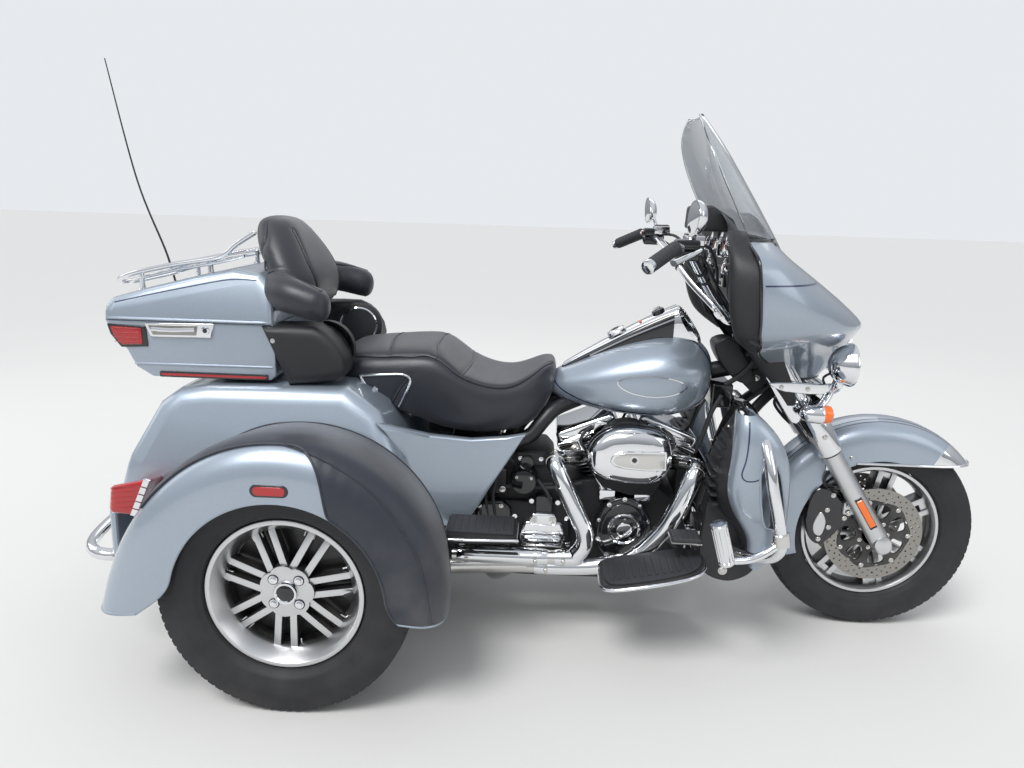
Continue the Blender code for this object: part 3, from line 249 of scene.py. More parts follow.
def newLook(name, colour, roughness, metallic=0, coat=0, spread=0.1, scale=20, bump=0.02, dust=0,
            dustTop=0.5, finish="uneven", flake=0, grainScale=500, clear=0, ior=1.5, sheen=0, glow=None,
            alpha=1, stretch=12):
    # one Principled material; its finish comes from the shared groups
    look = bpy.data.materials.new(name)
    look.use_nodes = True
    tree = look.node_tree
    shader = tree.nodes["Principled BSDF"]
    tint, lamp = (*colour, 1), glow or ((1, 1, 1), 0)
    for label, value in (("Base Color", tint), ("Metallic", metallic), ("Coat Weight", coat),
                         ("Coat Roughness", 0.04), ("Transmission Weight", clear), ("IOR", ior),
                         ("Sheen Weight", sheen), ("Alpha", alpha), ("Emission Color", (*lamp[0], 1)),
                         ("Emission Strength", lamp[1])):
        shader.inputs[label].default_value = value
    source = None
    if flake:
        group = addNode(tree, 'Group', node_tree=shaderGroups["flake"])
        group.inputs['Colour'].default_value = tint
        group.inputs['Amount'].default_value = flake
        source = group.outputs['Colour']
    if dust:
        group = addNode(tree, 'Group', node_tree=shaderGroups["dust"])
        group.inputs['Colour'].default_value = tint
        if source:
            tree.links.new(source, group.inputs['Colour'])
        group.inputs['Amount'].default_value = dust
        group.inputs['Top'].default_value = dustTop
        source = group.outputs['Colour']
    if source:
        tree.links.new(source, shader.inputs['Base Color'])
    if finish == "brushed":
        group = addNode(tree, 'Group', node_tree=shaderGroups["brushed"])
        group.inputs['Stretch'].default_value = stretch
    else:
        group = addNode(tree, 'Group', node_tree=shaderGroups["uneven"])
    group.inputs['Scale'].default_value = scale
    group.inputs['Roughness'].default_value = roughness
    group.inputs['Spread'].default_value = spread
    tree.links.new(group.outputs['Roughness'], shader.inputs['Roughness'])
    height = group.outputs['Height']
    if finish == "grain":
        grain = addNode(tree, 'Group', node_tree=shaderGroups["grain"])
        grain.inputs['Scale'].default_value = grainScale
        height = grain.outputs['Height']
    if bump:
        node = addNode(tree, 'Bump', [("Height", height), ("Strength", bump), ("Distance", 0.001)])
        tree.links.new(node.outputs[0], shader.inputs['Normal'])
    return look


looks = {
    "paint": newLook("silverBluePaint", (0.33, 0.385, 0.45), 0.34, 0.55, 1, 0.06, 8, 0, flake=0.1, dust=0.06,
                     dustTop=0.35),
    "stripe": newLook("darkStripe", (0.012, 0.022, 0.075), 0.25, 0.1, 1, 0.05, 30, 0),
    "gloss": newLook("glossBlack", (0.008, 0.008, 0.01), 0.12, 0, 0.6, 0.06, 12, 0.01),
    "satin": newLook("satinBlack", (0.012, 0.012, 0.014), 0.42, 0, 0, 0.12, 30, 0.06, dust=0.2, dustTop=0.5),
    "wrinkle": newLook("wrinkleBlack", (0.014, 0.014, 0.016), 0.55, 0.2, 0, 0.15, 60, 0.5, finish="grain",
                       grainScale=900),
    "plastic": newLook("blackPlastic", (0.018, 0.018, 0.021), 0.5, 0, 0, 0.1, 30, 0.35, finish="grain",
                       grainScale=700),
    "chrome": newLook("chrome", (0.8, 0.81, 0.83), 0.06, 1, 0, 0.05, 6, 0.01),
    "dullChrome": newLook("dullChrome", (0.66, 0.65, 0.63), 0.22, 1, 0, 0.14, 18, 0.02, dust=0.25, dustTop=0.4),
    "alloy": newLook("machinedAlloy", (0.66, 0.665, 0.67), 0.3, 1, 0, 0.04, 30, 0.003, dust=0.04, dustTop=0.4),
    "castAlloy": newLook("castAlloy", (0.42, 0.42, 0.42), 0.36, 1, 0, 0.2, 40, 0.15, dust=0.2, dustTop=0.5),
    "steel": newLook("groundSteel", (0.34, 0.325, 0.3), 0.32, 1, 0, 0.2, 120, 0.08, finish="brushed",
                     stretch=0.2),
    "bolt": newLook("boltSteel", (0.6, 0.59, 0.57), 0.25, 1, 0, 0.15, 60, 0.03),
    # black of the wheel pockets and spoke sides; also painted shade, as in the disc behind the rear spokes
    "pocketAndShade": newLook("blackPocketAndShade", (0.01, 0.01, 0.012), 0.35, 0.1, 0.3, 0.1, 40, 0.04, dust=0.3, dustTop=0.7),
    "rubber": newLook("tyreRubber", (0.012, 0.0125, 0.015), 0.62, 0, 0, 0.12, 40, 0.2, dust=0.05, dustTop=0.6),
    "softRubber": newLook("softRubber", (0.028, 0.029, 0.033), 0.58, 0, 0, 0.12, 60, 0.2),
    "vinyl": newLook("seatVinyl", (0.019, 0.021, 0.029), 0.38, 0, 0, 0.12, 14, 0.28, finish="grain",
                     grainScale=650, sheen=0.15),
    "cover": newLook("coverVinyl", (0.016, 0.019, 0.031), 0.44, 0, 0, 0.14, 9, 0.3, finish="grain",
                     grainScale=600, sheen=0.2, dust=0.25, dustTop=0.6),
    "thread": newLook("stitchThread", (0.045, 0.047, 0.055), 0.7, bump=0.2, scale=300),
    # the red and amber lenses carry a faint emission: painted glow, also on reflectors, dial pointers and
    # switch keys, which are no lamps
    "redLens": newLook("redLens", (0.42, 0.008, 0.012), 0.1, 0, 0.8, 0.05, 50, 0.04, clear=0.25,
                       glow=((0.5, 0.01, 0.02), 0.1)),
    "amberLens": newLook("amberLens", (0.85, 0.16, 0.01), 0.12, 0, 0.8, 0.05, 50, 0.04, clear=0.2,
                         glow=((0.9, 0.2, 0.02), 0.12)),
    "glass": newLook("lampGlass", (0.92, 0.94, 0.96), 0.03, clear=1, spread=0.02, bump=0, ior=1.45),
    "screen": newLook("screenPlastic", (0.94, 0.965, 0.98), 0.03, clear=1, spread=0.02, bump=0, ior=1.25),
    "mirror": newLook("mirrorGlass", (0.85, 0.87, 0.89), 0.02, 1, spread=0.01, bump=0),
    "cloth": newLook("speakerCloth", (0.022, 0.023, 0.027), 0.75, bump=0.6, finish="grain", grainScale=1100),
    "dial": newLook("dialFace", (0.015, 0.015, 0.018), 0.35, bump=0.02),
    "white": newLook("dialWhite", (0.75, 0.76, 0.78), 0.5, bump=0.02),
}
floorLook = newLook("paleFloor", (0.62, 0.615, 0.6), 0.75, spread=0.15, scale=3, bump=0.05)
floor.data.materials.append(floorLook)
print("materials made", len(looks))


# mesh helpers: each returns a bmesh -----
def turnTo(direction):
    return Vector((0, 0, 1)).rotation_difference(Vector(direction)).to_matrix().to_4x4()


def smoothLine(points, step, closed=False):
    points = [Vector(p) for p in points]
    count, out = len(points), []
    for i in range(count if closed else count - 1):
        if closed:
            a, b, c, d = (points[(i + k - 1) % count] for k in range(4))
        else:
            a, b, c, d = (points[min(max(i + k - 1, 0), count - 1)] for k in range(4))
        n = max(1, round((c - b).length / step))
        for k in range(n):
            t = k / n
            out.append(0.5 * (2 * b + (c - a) * t + (2 * a - 5 * b + 4 * c - d) * t * t
                              + (3 * b - a - 3 * c + d) * t ** 3))
    if not closed:
        out.append(points[-1])
    return out


def gridMesh(rows, closeRows=False, closeRound=False, capEnds=False):
    # faces through rows of points that have equal counts
    bm = bmesh.new()
    lines = [[bm.verts.new(p) for p in row] for row in rows]
    count = len(lines[0])
    pairs = list(zip(lines, lines[1:])) + ([(lines[-1], lines[0])] if closeRows else [])
    for one, two in pairs:
        for i in range(count if closeRound else count - 1):
            j = (i + 1) % count
            bm.faces.new((one[i], one[j], two[j], two[i]))
    if capEnds:
        bm.faces.new(lines[0])
        bm.faces.new(lines[-1][::-1])
    bmesh.ops.remove_doubles(bm, verts=bm.verts, dist=0.000005)
    bmesh.ops.recalc_face_normals(bm, faces=bm.faces)
    return bm


def pipe(points, radius, sides=14, step=0.02, closed=False, wide=1, caps=True):
    # a round or flattened tube along a smooth line; radius may be a function of the share of its length
    line = smoothLine(points, step, closed) if step else [Vector(p) for p in points]
    count = len(line)
    rows, side = [], None
    for i, here in enumerate(line):
        before = line[i - 1] if i or closed else here
        after = line[(i + 1) % count] if i < count - 1 or closed else here
        ahead = (after - before).normalized()
        if side is None:
            side = ahead.cross(Vector((0, 0, 1)))
            if side.length < 0.1:
                side = ahead.cross(Vector((0, 1, 0)))
        side = (side - ahead * side.dot(ahead)).normalized()
        up = side.cross(ahead)
        r = radius(i / max(count - 1, 1)) if callable(radius) else radius
        rows.append([here + (side * math.cos(a) * wide + up * math.sin(a)) * r
                     for a in (2 * math.pi * k / sides for k in range(sides))])
    return gridMesh(rows, closeRows=closed, closeRound=True, capEnds=caps and not closed)


def lathe(profile, centre, axis=(0, 1, 0), steps=64, closed=False, start=0, angle=2 * math.pi):
    # (radius, height) points turned about an axis through centre
    spin = Matrix.Translation(centre) @ turnTo(axis)
    whole = angle > 6.28
    rows = []
    for k in range(steps if whole else steps + 1):
        a = start + angle * k / steps
        rows.append([spin @ Vector((r * math.cos(a), r * math.sin(a), h)) for r, h in profile])
    return gridMesh(rows, closeRows=whole, closeRound=closed)


def softEdges(bm, width, segments=2, angle=35):
    edges = [e for e in bm.edges if len(e.link_faces) == 2 and e.calc_face_angle() > math.radians(angle)]
    bmesh.ops.bevel(bm, geom=edges, offset=width, segments=segments, profile=0.6, affect='EDGES',
                    clamp_overlap=True)
    return bm


def block(low, high, round=0.003, segments=2, turn=None):
    low, high = Vector(low), Vector(high)
    bm = bmesh.new()
    bmesh.ops.create_cube(bm, size=1)
    bmesh.ops.scale(bm, vec=high - low, verts=bm.verts)
    if round:
        softEdges(bm, round, segments)
    bmesh.ops.transform(bm, matrix=Matrix.Translation((low + high) / 2) @ (turn or Matrix.Identity(4)),
                        verts=bm.verts)
    return bm


def rod(start, end, radius, radius2=None, sides=24, round=0):
    start, end = Vector(start), Vector(end)
    bm = bmesh.new()
    bmesh.ops.create_cone(bm, cap_ends=True, segments=sides, radius1=radius,
                          radius2=radius if radius2 is None else radius2, depth=(end - start).length)
    if round:
        softEdges(bm, round, 2, 50)
    bmesh.ops.transform(bm, matrix=Matrix.Translation((start + end) / 2) @ turnTo(end - start), verts=bm.verts)
    return bm


def ball(centre, size, sides=24):
    bm = bmesh.new()
    bmesh.ops.create_uvsphere(bm, u_segments=sides, v_segments=sides // 2, radius=1)
    bmesh.ops.scale(bm, vec=size, verts=bm.verts)
    bmesh.ops.translate(bm, vec=centre, verts=bm.verts)
    return bm


def pointsOf(result):
    # the vertices among what an operator made
    return [v for v in result['geom'] if isinstance(v, bmesh.types.BMVert)]


def sheetCut(outline, y0, y1, round=0.003, segments=2, curved=0):
    # an outline of (x, z) points with thickness from y0 to y1
    flat = [Vector((x, z, 0)) for x, z in outline]
    if curved:
        flat = smoothLine(flat, curved, True)
    bm = bmesh.new()
    face = bm.faces.new([bm.verts.new((p.x, y0, p.y)) for p in flat])
    made = bmesh.ops.extrude_face_region(bm, geom=[face])
    bmesh.ops.translate(bm, vec=(0, y1 - y0, 0), verts=pointsOf(made))
    bmesh.ops.recalc_face_normals(bm, faces=bm.faces)
    if round:
        rim = [e for e in bm.edges if len(e.link_faces) == 2 and abs(e.verts[0].co.y - e.verts[1].co.y) < 1e-6]
        bmesh.ops.bevel(bm, geom=rim, offset=round, segments=segments, profile=0.6, affect='EDGES',
                        clamp_overlap=True)
    return bm


def bolt(place, axis, size=0.006, head=0.005):
    axis = Vector(axis).normalized()
    place = Vector(place)
    bm = rod(place, place + axis * head * 0.35, size * 1.35, sides=16)
    cap = rod(place + axis * head * 0.3, place + axis * head, size, sides=6, round=size * 0.12)
    return mergeInto(bm, cap)


def mergeInto(bm, *others):
    for other in others:
        mesh = bpy.data.meshes.new("part")
        other.to_mesh(mesh)
        other.free()
        bm.from_mesh(mesh)
        bpy.data.meshes.remove(mesh)
    return bm


def moved(bm, matrix):
    bmesh.ops.transform(bm, matrix=matrix, verts=bm.verts)
    return bm


def flipped(bm):
    # the mirror image on the other side (Y to -Y)
    bmesh.ops.scale(bm, vec=(1, -1, 1), verts=bm.verts)
    bmesh.ops.reverse_faces(bm, faces=bm.faces)
    return bm


def sided(bm, s):
    # the mesh as it is on the left, mirrored on the right
    return bm if s > 0 else flipped(bm)


def mirrorRow(x, side):
    # a closed section from the (y, z) points of its left half
    return [Vector((x, y, z)) for y, z in side] + [Vector((x, -y, z)) for y, z in side[:0:-1]]


def smoothed(bm, levels=2, thick=0, offset=-1):
    # a coarse cage made smooth, and given a thickness if it is a skin
    mesh = bpy.data.meshes.new("cage")
    bm.to_mesh(mesh)
    bm.free()
    ob = newObject("cage", mesh)
    if levels:
        mod = ob.modifiers.new("soft", 'SUBSURF')
        mod.levels = mod.render_levels = levels
    if thick:
        mod = ob.modifiers.new("skin", 'SOLIDIFY')
        mod.thickness = thick
        mod.offset = offset
        mod.use_even_offset = True
    out = bmesh.new()
    out.from_object(ob, bpy.context.evaluated_depsgraph_get())
    bpy.data.objects.remove(ob, do_unlink=True)
    bpy.data.meshes.remove(mesh)
    return out


def carved(bm, *cutters, kind='DIFFERENCE'):
    for cutter in cutters:
        obs = []
        for source in (bm, cutter):
            mesh = bpy.data.meshes.new("carve")
            bmesh.ops.recalc_face_normals(source, faces=source.faces)
            source.to_mesh(mesh)
            source.free()
            obs.append(newObject("carve", mesh))
        mod = obs[0].modifiers.new("cut", 'BOOLEAN')
        mod.operation = kind
        mod.object = obs[1]
        bm = bmesh.new()
        bm.from_object(obs[0], bpy.context.evaluated_depsgraph_get())
        for ob in obs:
            bpy.data.objects.remove(ob, do_unlink=True)
    return bm


def treeOf(bm):
    return BVHTree.FromBMesh(bm)


def ribbonOn(tree, points, width, side, step=0.008, lift=0.0006, closed=False):
    # a thin band laid on a surface; points are (x, z), seen along Y from the given side
    line = smoothLine([Vector((x, 0, z)) for x, z in points], step, closed)
    rows = []
    count = len(line)
    for i, here in enumerate(line):
        before = line[i - 1] if i or closed else here
        after = line[(i + 1) % count] if i < count - 1 or closed else here
        along = (after - before).normalized()
        across = Vector((-along.z, 0, along.x))
        row = []
        for share in (-0.5, 0.5):
            p = here + across * width * share
            hit = tree.ray_cast(Vector((p.x, side * 3, p.z)), Vector((0, -side, 0)))
            if hit[0] is None:
                row = None
                break
            row.append(hit[0] + hit[1] * (lift if hit[1].y * side > 0 else -lift))
        if row:
            rows.append(row)
    if len(rows) < 2:
        return bmesh.new()
    return gridMesh(rows, closeRows=closed and len(rows) == count)


def stitchesOn(line, length=0.004, gap=0.0035, radius=0.0007):
    # short threads along a line of 3-D points
    line = smoothLine(line, (length + gap) / 2)
    bm = bmesh.new()
    for a, b in zip(line[0::2], line[1::2]):
        mergeInto(bm, rod(a, b, radius, sides=5))
    return bm


# pieces: a dictionary that gathers meshes with their looks -----
made = {}


def newPiece(name):
    return {"name": name, "bm": bmesh.new(), "looks": []}


def add(piece, look, *meshes, both=False):
    for bm in meshes:
        if look not in piece["looks"]:
            piece["looks"].append(look)
        index = piece["looks"].index(look)
        for face in bm.faces:
            face.material_index = index
            face.smooth = True
        if both:
            mergeInto(piece["bm"], flipped(bm.copy()))
        mergeInto(piece["bm"], bm)


def place(piece, body, slot, *nodes, sharp=38):
    mesh = bpy.data.meshes.new(piece["name"])
    bm = piece["bm"]
    bm.to_mesh(mesh)
    bm.free()
    for look in piece["looks"]:
        mesh.materials.append(looks[look])
    mesh.set_sharp_from_angle(angle=math.radians(sharp))
    ob = newObject(piece["name"], mesh)
    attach(ob, body)
    if nodes:
        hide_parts(*nodes)
    made[piece["name"]] = ob
    return ob


# wheels -----
wheelbase, frontX = 1.669, 1.0925
rearX = frontX - wheelbase
rearR, rearY, rearRim, rearWide = 0.323, 0.5575, 0.203, 0.205
frontR, frontRim, frontWide = 0.318, 0.214, 0.13
spokes = 7
rearTread = {"grooves": ((0, 0.0045), (0.034, 0.004), (-0.034, 0.004)), "depth": 0.006, "blocks": 84,
             "blockDepth": 0.0035, "crown": 0.01}
frontTread = {"grooves": ((0.016, 0.0035), (-0.016, 0.0035)), "depth": 0.005, "blocks": 76, "blockDepth": 0.003,
              "crown": 0.016}


def makeTyre(radius, width, rimR, centre, tread):
    h = width / 2
    sections = [(rimR + 0.001, -h * 0.7), (rimR + 0.006, -h * 0.8), (rimR + 0.016, -h * 0.86),
                (rimR + 0.02, -h * 0.9), (rimR + 0.026, -h * 0.92), (radius - 0.062, -h),
                (radius - 0.056, -h * 1.012), (radius - 0.05, -h), (radius - 0.036, -h * 0.985),
                (radius - 0.022, -h * 0.94)]
    count = 26
    for k in range(count + 1):
        y = -h * 0.9 + 2 * h * 0.9 * k / count
        drop = tread["crown"] * abs(y / h) ** 2.6
        for place, half in tread["grooves"]:
            if abs(y - place) < half + h / count:
                drop += tread["depth"]
        sections.append((radius - drop, y))
    sections += [(r, -y) for r, y in sections[:10][::-1]]
    sections += [(rimR + 0.001, 0)]
    steps = tread["blocks"] * 5
    rows = []
    for k in range(steps):
        a = 2 * math.pi * k / steps
        row = []
        for r, y in sections:
            skew = int(round(abs(y) / h * 2))
            cut = (k + skew) % 5 == 0 and radius - 0.045 < r and abs(y) > h * 0.42
            r -= tread["blockDepth"] if cut else 0
            row.append(Vector(centre) + Vector((r * math.cos(a), y, r * math.sin(a))))
        rows.append(row)
    return gridMesh(rows, closeRows=True, closeRound=True)


def faceLooks(bm, axis, bright, dull, piece, limit=0.85):
    # faces turned to the axis are machined, the others painted
    for look in (bright, dull):
        if look not in piece["looks"]:
            piece["looks"].append(look)
    axis = Vector(axis)
    bm.normal_update()
    for face in bm.faces:
        name = bright if abs(face.normal.dot(axis)) > limit else dull
        face.material_index = piece["looks"].index(name)
        face.smooth = True
    mergeInto(piece["bm"], bm)


def scallop(centre, radius, deep, count, y0, y1, shift=0.5, round=0.003):
    outline = []
    for k in range(count * 12):
        a = 2 * math.pi * k / (count * 12)
        wave = abs(math.cos(count * (a - 2 * math.pi * shift / count) / 2)) ** 0.7
        outline.append((centre[0] + (radius - deep * (1 - wave)) * math.cos(a),
                        centre[2] + (radius - deep * (1 - wave)) * math.sin(a)))
    return sheetCut(outline, y0, y1, round)


def spokePair(centre, k, y0, y1, inner, outer, half=0.0075, spread=0.0165, lean=0.034):
    bms = []
    for way in (-1, 1):
        bar = block((inner, y0, -half), (outer, y1, half), 0.0028, 2)
        for v in bar.verts:
            share = (v.co.x - inner) / (outer - inner)
            v.co.z *= 1 + 0.25 * (2 * share - 1) ** 4
        bms.append(moved(bar, Matrix.Translation(centre) @ Matrix.Rotation(2 * math.pi * (k + 0.5) / spokes, 4,
            'Y') @ Matrix.Translation((0, 0, way * spread)) @ Matrix.Rotation(-way * lean, 4, 'Y')))
    return bms


def makeRearWheel(side):
    s = -1 if side == "right" else 1
    centre = Vector((rearX, s * rearY, rearR))
    axis = (0, s, 0)
    tyre = newPiece("rearTyre" + side.title())
    add(tyre, "rubber", makeTyre(rearR, rearWide, rearRim, centre, rearTread))
    place(tyre, "rear_wheel_" + side, "tyre", "rear_tyre_" + side, sharp=30)
    rim = newPiece("rearRim" + side.title())
    lip = [(0.1985, 0.06), (0.2022, 0.066), (0.2025, 0.0735), (0.2005, 0.0765), (0.1985, 0.0772),
           (0.1895, 0.0772), (0.1875, 0.075), (0.18, 0.062), (0.166, 0.042), (0.1615, 0.032), (0.16, 0.022)]
    add(rim, "alloy", lathe(lip, centre, axis, 96))
    add(rim, "pocketAndShade", lathe([(0.16, 0.022), (0.1595, 0), (0.162, -0.055), (0.19, -0.072), (0.2015, -0.0755),
                              (0.2025, -0.07), (0.199, -0.06), (0.197, 0), (0.1985, 0.06)], centre, axis, 72))
    # a black disc behind the spokes: painted shade that fills the open wheel between them
    add(rim, "pocketAndShade", lathe([(0.02, -0.004), (0.159, -0.01), (0.159, -0.016), (0.02, -0.014)], centre, axis,
                             48))
    for k in range(spokes):
        y0, y1 = sorted((s * 0.052, s * 0.02))
        for bar in spokePair(centre, k + 0.34, y0, y1, 0.05, 0.164, half=0.0078):
            for v in bar.verts:
                away = math.hypot(v.co.x - centre.x, v.co.z - centre.z)
                v.co.y -= s * 0.012 * max(0, (away - 0.075) / 0.089) ** 1.5
            faceLooks(bar, (0, 1, 0), "alloy", "pocketAndShade", rim)
        turn = Matrix.Translation(centre) @ Matrix.Rotation(2 * math.pi * (k - 0.34) / spokes, 4, 'Y')
        for way in (-1, 1):
            notch = block((0.1465, s * 0.026 - 0.004, way * 0.0125 - 0.002),
                          (0.16, s * 0.026 + 0.004, way * 0.0125 + 0.002), 0.001, 1)
            add(rim, "alloy", moved(notch, turn))
    y0, y1 = sorted((s * (rearY + 0.0575), s * (rearY + 0.018)))
    faceLooks(scallop(centre, 0.071, 0.007, spokes, y0, y1, 0), (0, 1, 0), "alloy", "pocketAndShade", rim)
    add(rim, "pocketAndShade", lathe([(0.048, -0.06), (0.05, -0.058), (0.05, 0.02), (0.024, 0.02), (0.0227, -0.06)],
                             centre, axis, 32, closed=True))
    for k in range(4):
        a = math.radians(45 + 90 * k)
        spot = centre + Vector((0.046 * math.cos(a), s * 0.0577, 0.046 * math.sin(a)))
        add(rim, "pocketAndShade", lathe([(0, 0.0006), (0.014, 0.0008), (0.014, -0.01)], spot, axis, 24))
        add(rim, "chrome", bolt(spot - Vector((0, s * 0.001, 0)), axis, 0.0085, 0.01))
    add(rim, "chrome",
        lathe([(0.031, 0.056), (0.031, 0.066), (0.0285, 0.0695), (0.0235, 0.0695), (0.0215, 0.067),
               (0.0215, 0.06)], centre, axis, 48))
    add(rim, "gloss", lathe([(0.0222, 0.0655), (0.018, 0.068), (0, 0.069)], centre, axis, 32))
    add(rim, "softRubber", rod(centre + Vector((0.166, s * 0.045, 0)), centre + Vector((0.148, s * 0.062, 0)),
                               0.0035, sides=10))
    place(rim, "rear_wheel_" + side, "wheel_alloy", "rear_rim_" + side, sharp=32)


def makeFrontWheel():
    centre = Vector((frontX, 0, frontR))
    tyre = newPiece("frontTyre")
    add(tyre, "rubber", makeTyre(frontR, frontWide, frontRim, centre, frontTread))
    place(tyre, "front_wheel", "tyre", "front_tyre", sharp=30)
    rim = newPiece("frontRim")
    h = 0.0465
    half = [(0.2095, 0.036), (0.2132, 0.0405), (0.2135, h - 0.002), (0.2105, h + 0.001), (0.202, h + 0.001),
            (0.1995, h - 0.002), (0.1915, 0.03), (0.1895, 0.014)]
    for way in (-1, 1):
        add(rim, "alloy", lathe(half, centre, (0, way, 0), 84))
    add(rim, "pocketAndShade", lathe([(0.1895, 0.0145), (0.1885, 0), (0.1895, -0.0145)], centre, (0, 1, 0), 72),
        lathe([(0.2095, 0.036), (0.207, 0), (0.2095, -0.036)], centre, (0, 1, 0), 72))
    for k in range(spokes):
        for bar in spokePair(centre, k, -0.027, 0.027, 0.04, 0.1945, spread=0.0155, lean=0.03):
            faceLooks(bar, (0, 1, 0), "alloy", "pocketAndShade", rim)
        turn = Matrix.Translation(centre) @ Matrix.Rotation(2 * math.pi * (k + 0.5) / spokes, 4, 'Y')
        web = block((0.172, -0.022, -0.018), (0.1925, 0.022, 0.018), 0.003)
        faceLooks(moved(web, turn), (0, 1, 0), "alloy", "pocketAndShade", rim)
    faceLooks(scallop(centre, 0.066, 0.01, spokes, -0.026, 0.026, 0), (0, 1, 0), "alloy", "pocketAndShade", rim)
    add(rim, "castAlloy",
        lathe([(0.0135, -0.076), (0.034, -0.076), (0.036, -0.07), (0.036, -0.03), (0.036, 0.03), (0.036, 0.07),
               (0.034, 0.076), (0.0135, 0.076)], centre, (0, 1, 0), 40, closed=True))
    for way in (-1, 1):
        ring = lathe([(0.15, 0.0028), (0.15, -0.0028), (0.109, -0.0028), (0.109, 0.0028)],
                     centre + Vector((0, way * 0.072, 0)), (0, 1, 0), 90, closed=True)
        holes = bmesh.new()
        for row, count, shift in ((0.1185, 28, 0), (0.129, 28, 0.5), (0.1395, 28, 0)):
            for k in range(count):
                a = 2 * math.pi * (k + shift) / count
                spot = centre + Vector((row * math.cos(a), way * 0.072, row * math.sin(a)))
                mergeInto(holes, rod(spot - Vector((0, 0.01, 0)), spot + Vector((0, 0.01, 0)), 0.003, sides=10))
        add(rim, "steel", carved(ring, holes))
        y0, y1 = sorted((way * 0.069, way * 0.076))
        carrier = scallop(centre, 0.114, 0.012, spokes, y0, y1, 0, 0.0015)
        windows = bmesh.new()
        for k in range(spokes):
            a = 2 * math.pi * (k + 0.5) / spokes
            pts = []
            for ra, da in ((0.058, 0.24), (0.094, 0.26), (0.1, 0), (0.094, -0.26), (0.058, -0.24)):
                pts.append((centre.x + ra * math.cos(a + da), centre.z + ra * math.sin(a + da)))
            mergeInto(windows, sheetCut(pts, way * 0.0725 - 0.02, way * 0.0725 + 0.02, 0, curved=0.006))
        add(rim, "pocketAndShade", carved(carrier, windows))
        for k in range(spokes):
            a = 2 * math.pi * k / spokes
            for reach, size in ((0.106, 0.0055), (0.044, 0.005)):
                spot = centre + Vector((reach * math.cos(a), way * 0.0758, reach * math.sin(a)))
                add(rim, "bolt", bolt(spot, (0, way, 0), size, 0.004))
    place(rim, "front_wheel", "wheel_alloy", "front_rim", sharp=32)


makeRearWheel("right")
makeRearWheel("left")
makeFrontWheel()
print("wheels made")

# rear fenders and their fabric covers -----
body = {"half": 0.405}
flare = {"start": 128, "amount": 0.15, "power": 2.2, "corner": 166, "cut": 0.085}
crownLine = smoothLine([(y, 0, r) for y, r in ((0.4053, 0.382), (0.46, 0.39), (0.52, 0.4), (0.575, 0.4065),
    (0.612, 0.407), (0.64, 0.402), (0.662, 0.389), (0.68, 0.366), (0.69, 0.335), (0.6925, 0.3),
    (0.6925, 0.268))], 0.008)


def fenderPoint(index, angle, out=0, line=crownLine):
    here = line[index]
    before, after = line[max(index - 1, 0)], line[min(index + 1, len(line) - 1)]
    along = (after - before).normalized()
    normal = Vector((-along.z, 0, along.x))
    if normal.z < 0 and normal.x < 0:
        normal = -normal
    p = here + normal * out
    degrees = math.degrees(angle)
    past, above = max(degrees - flare["start"], 0), max(p.z - 0.266, 0)
    grow = 1 + flare["amount"] * (past / 58) ** flare["power"] * above / 0.139
    behind, ahead = max(degrees - flare["corner"], 0), max(6 - degrees, 0)
    rise = flare["cut"] * (behind / 20) ** 2.5 + 0.03 * (ahead / 12) ** 2
    r = p.z * grow + rise * max(1 - (p.z - 0.266) / 0.143, 0)
    return Vector((rearX + r * math.cos(angle), p.x, rearR + r * math.sin(angle)))


def shareIndex(share):
    return min(max(share, 0), 1) * (len(crownLine) - 1)


def pointAt(value, angle, out):
    low = int(value)
    t = value - low
    a = fenderPoint(low, angle, out)
    return a if t < 1e-6 else a.lerp(fenderPoint(min(low + 1, len(crownLine) - 1), angle, out), t)


crownCount = len(crownLine)
crownEdge = next(i for i, p in enumerate(crownLine) if p.x > 0.64) / (crownCount - 1)


def coverReach(degrees):
    # how far over the section the cover reaches at an angle
    if degrees < 58:
        return 1
    if degrees < 84:
        t = (degrees - 58) / 26
        return 1 - (1 - crownEdge) * (3 * t * t - 2 * t ** 3)
    return crownEdge


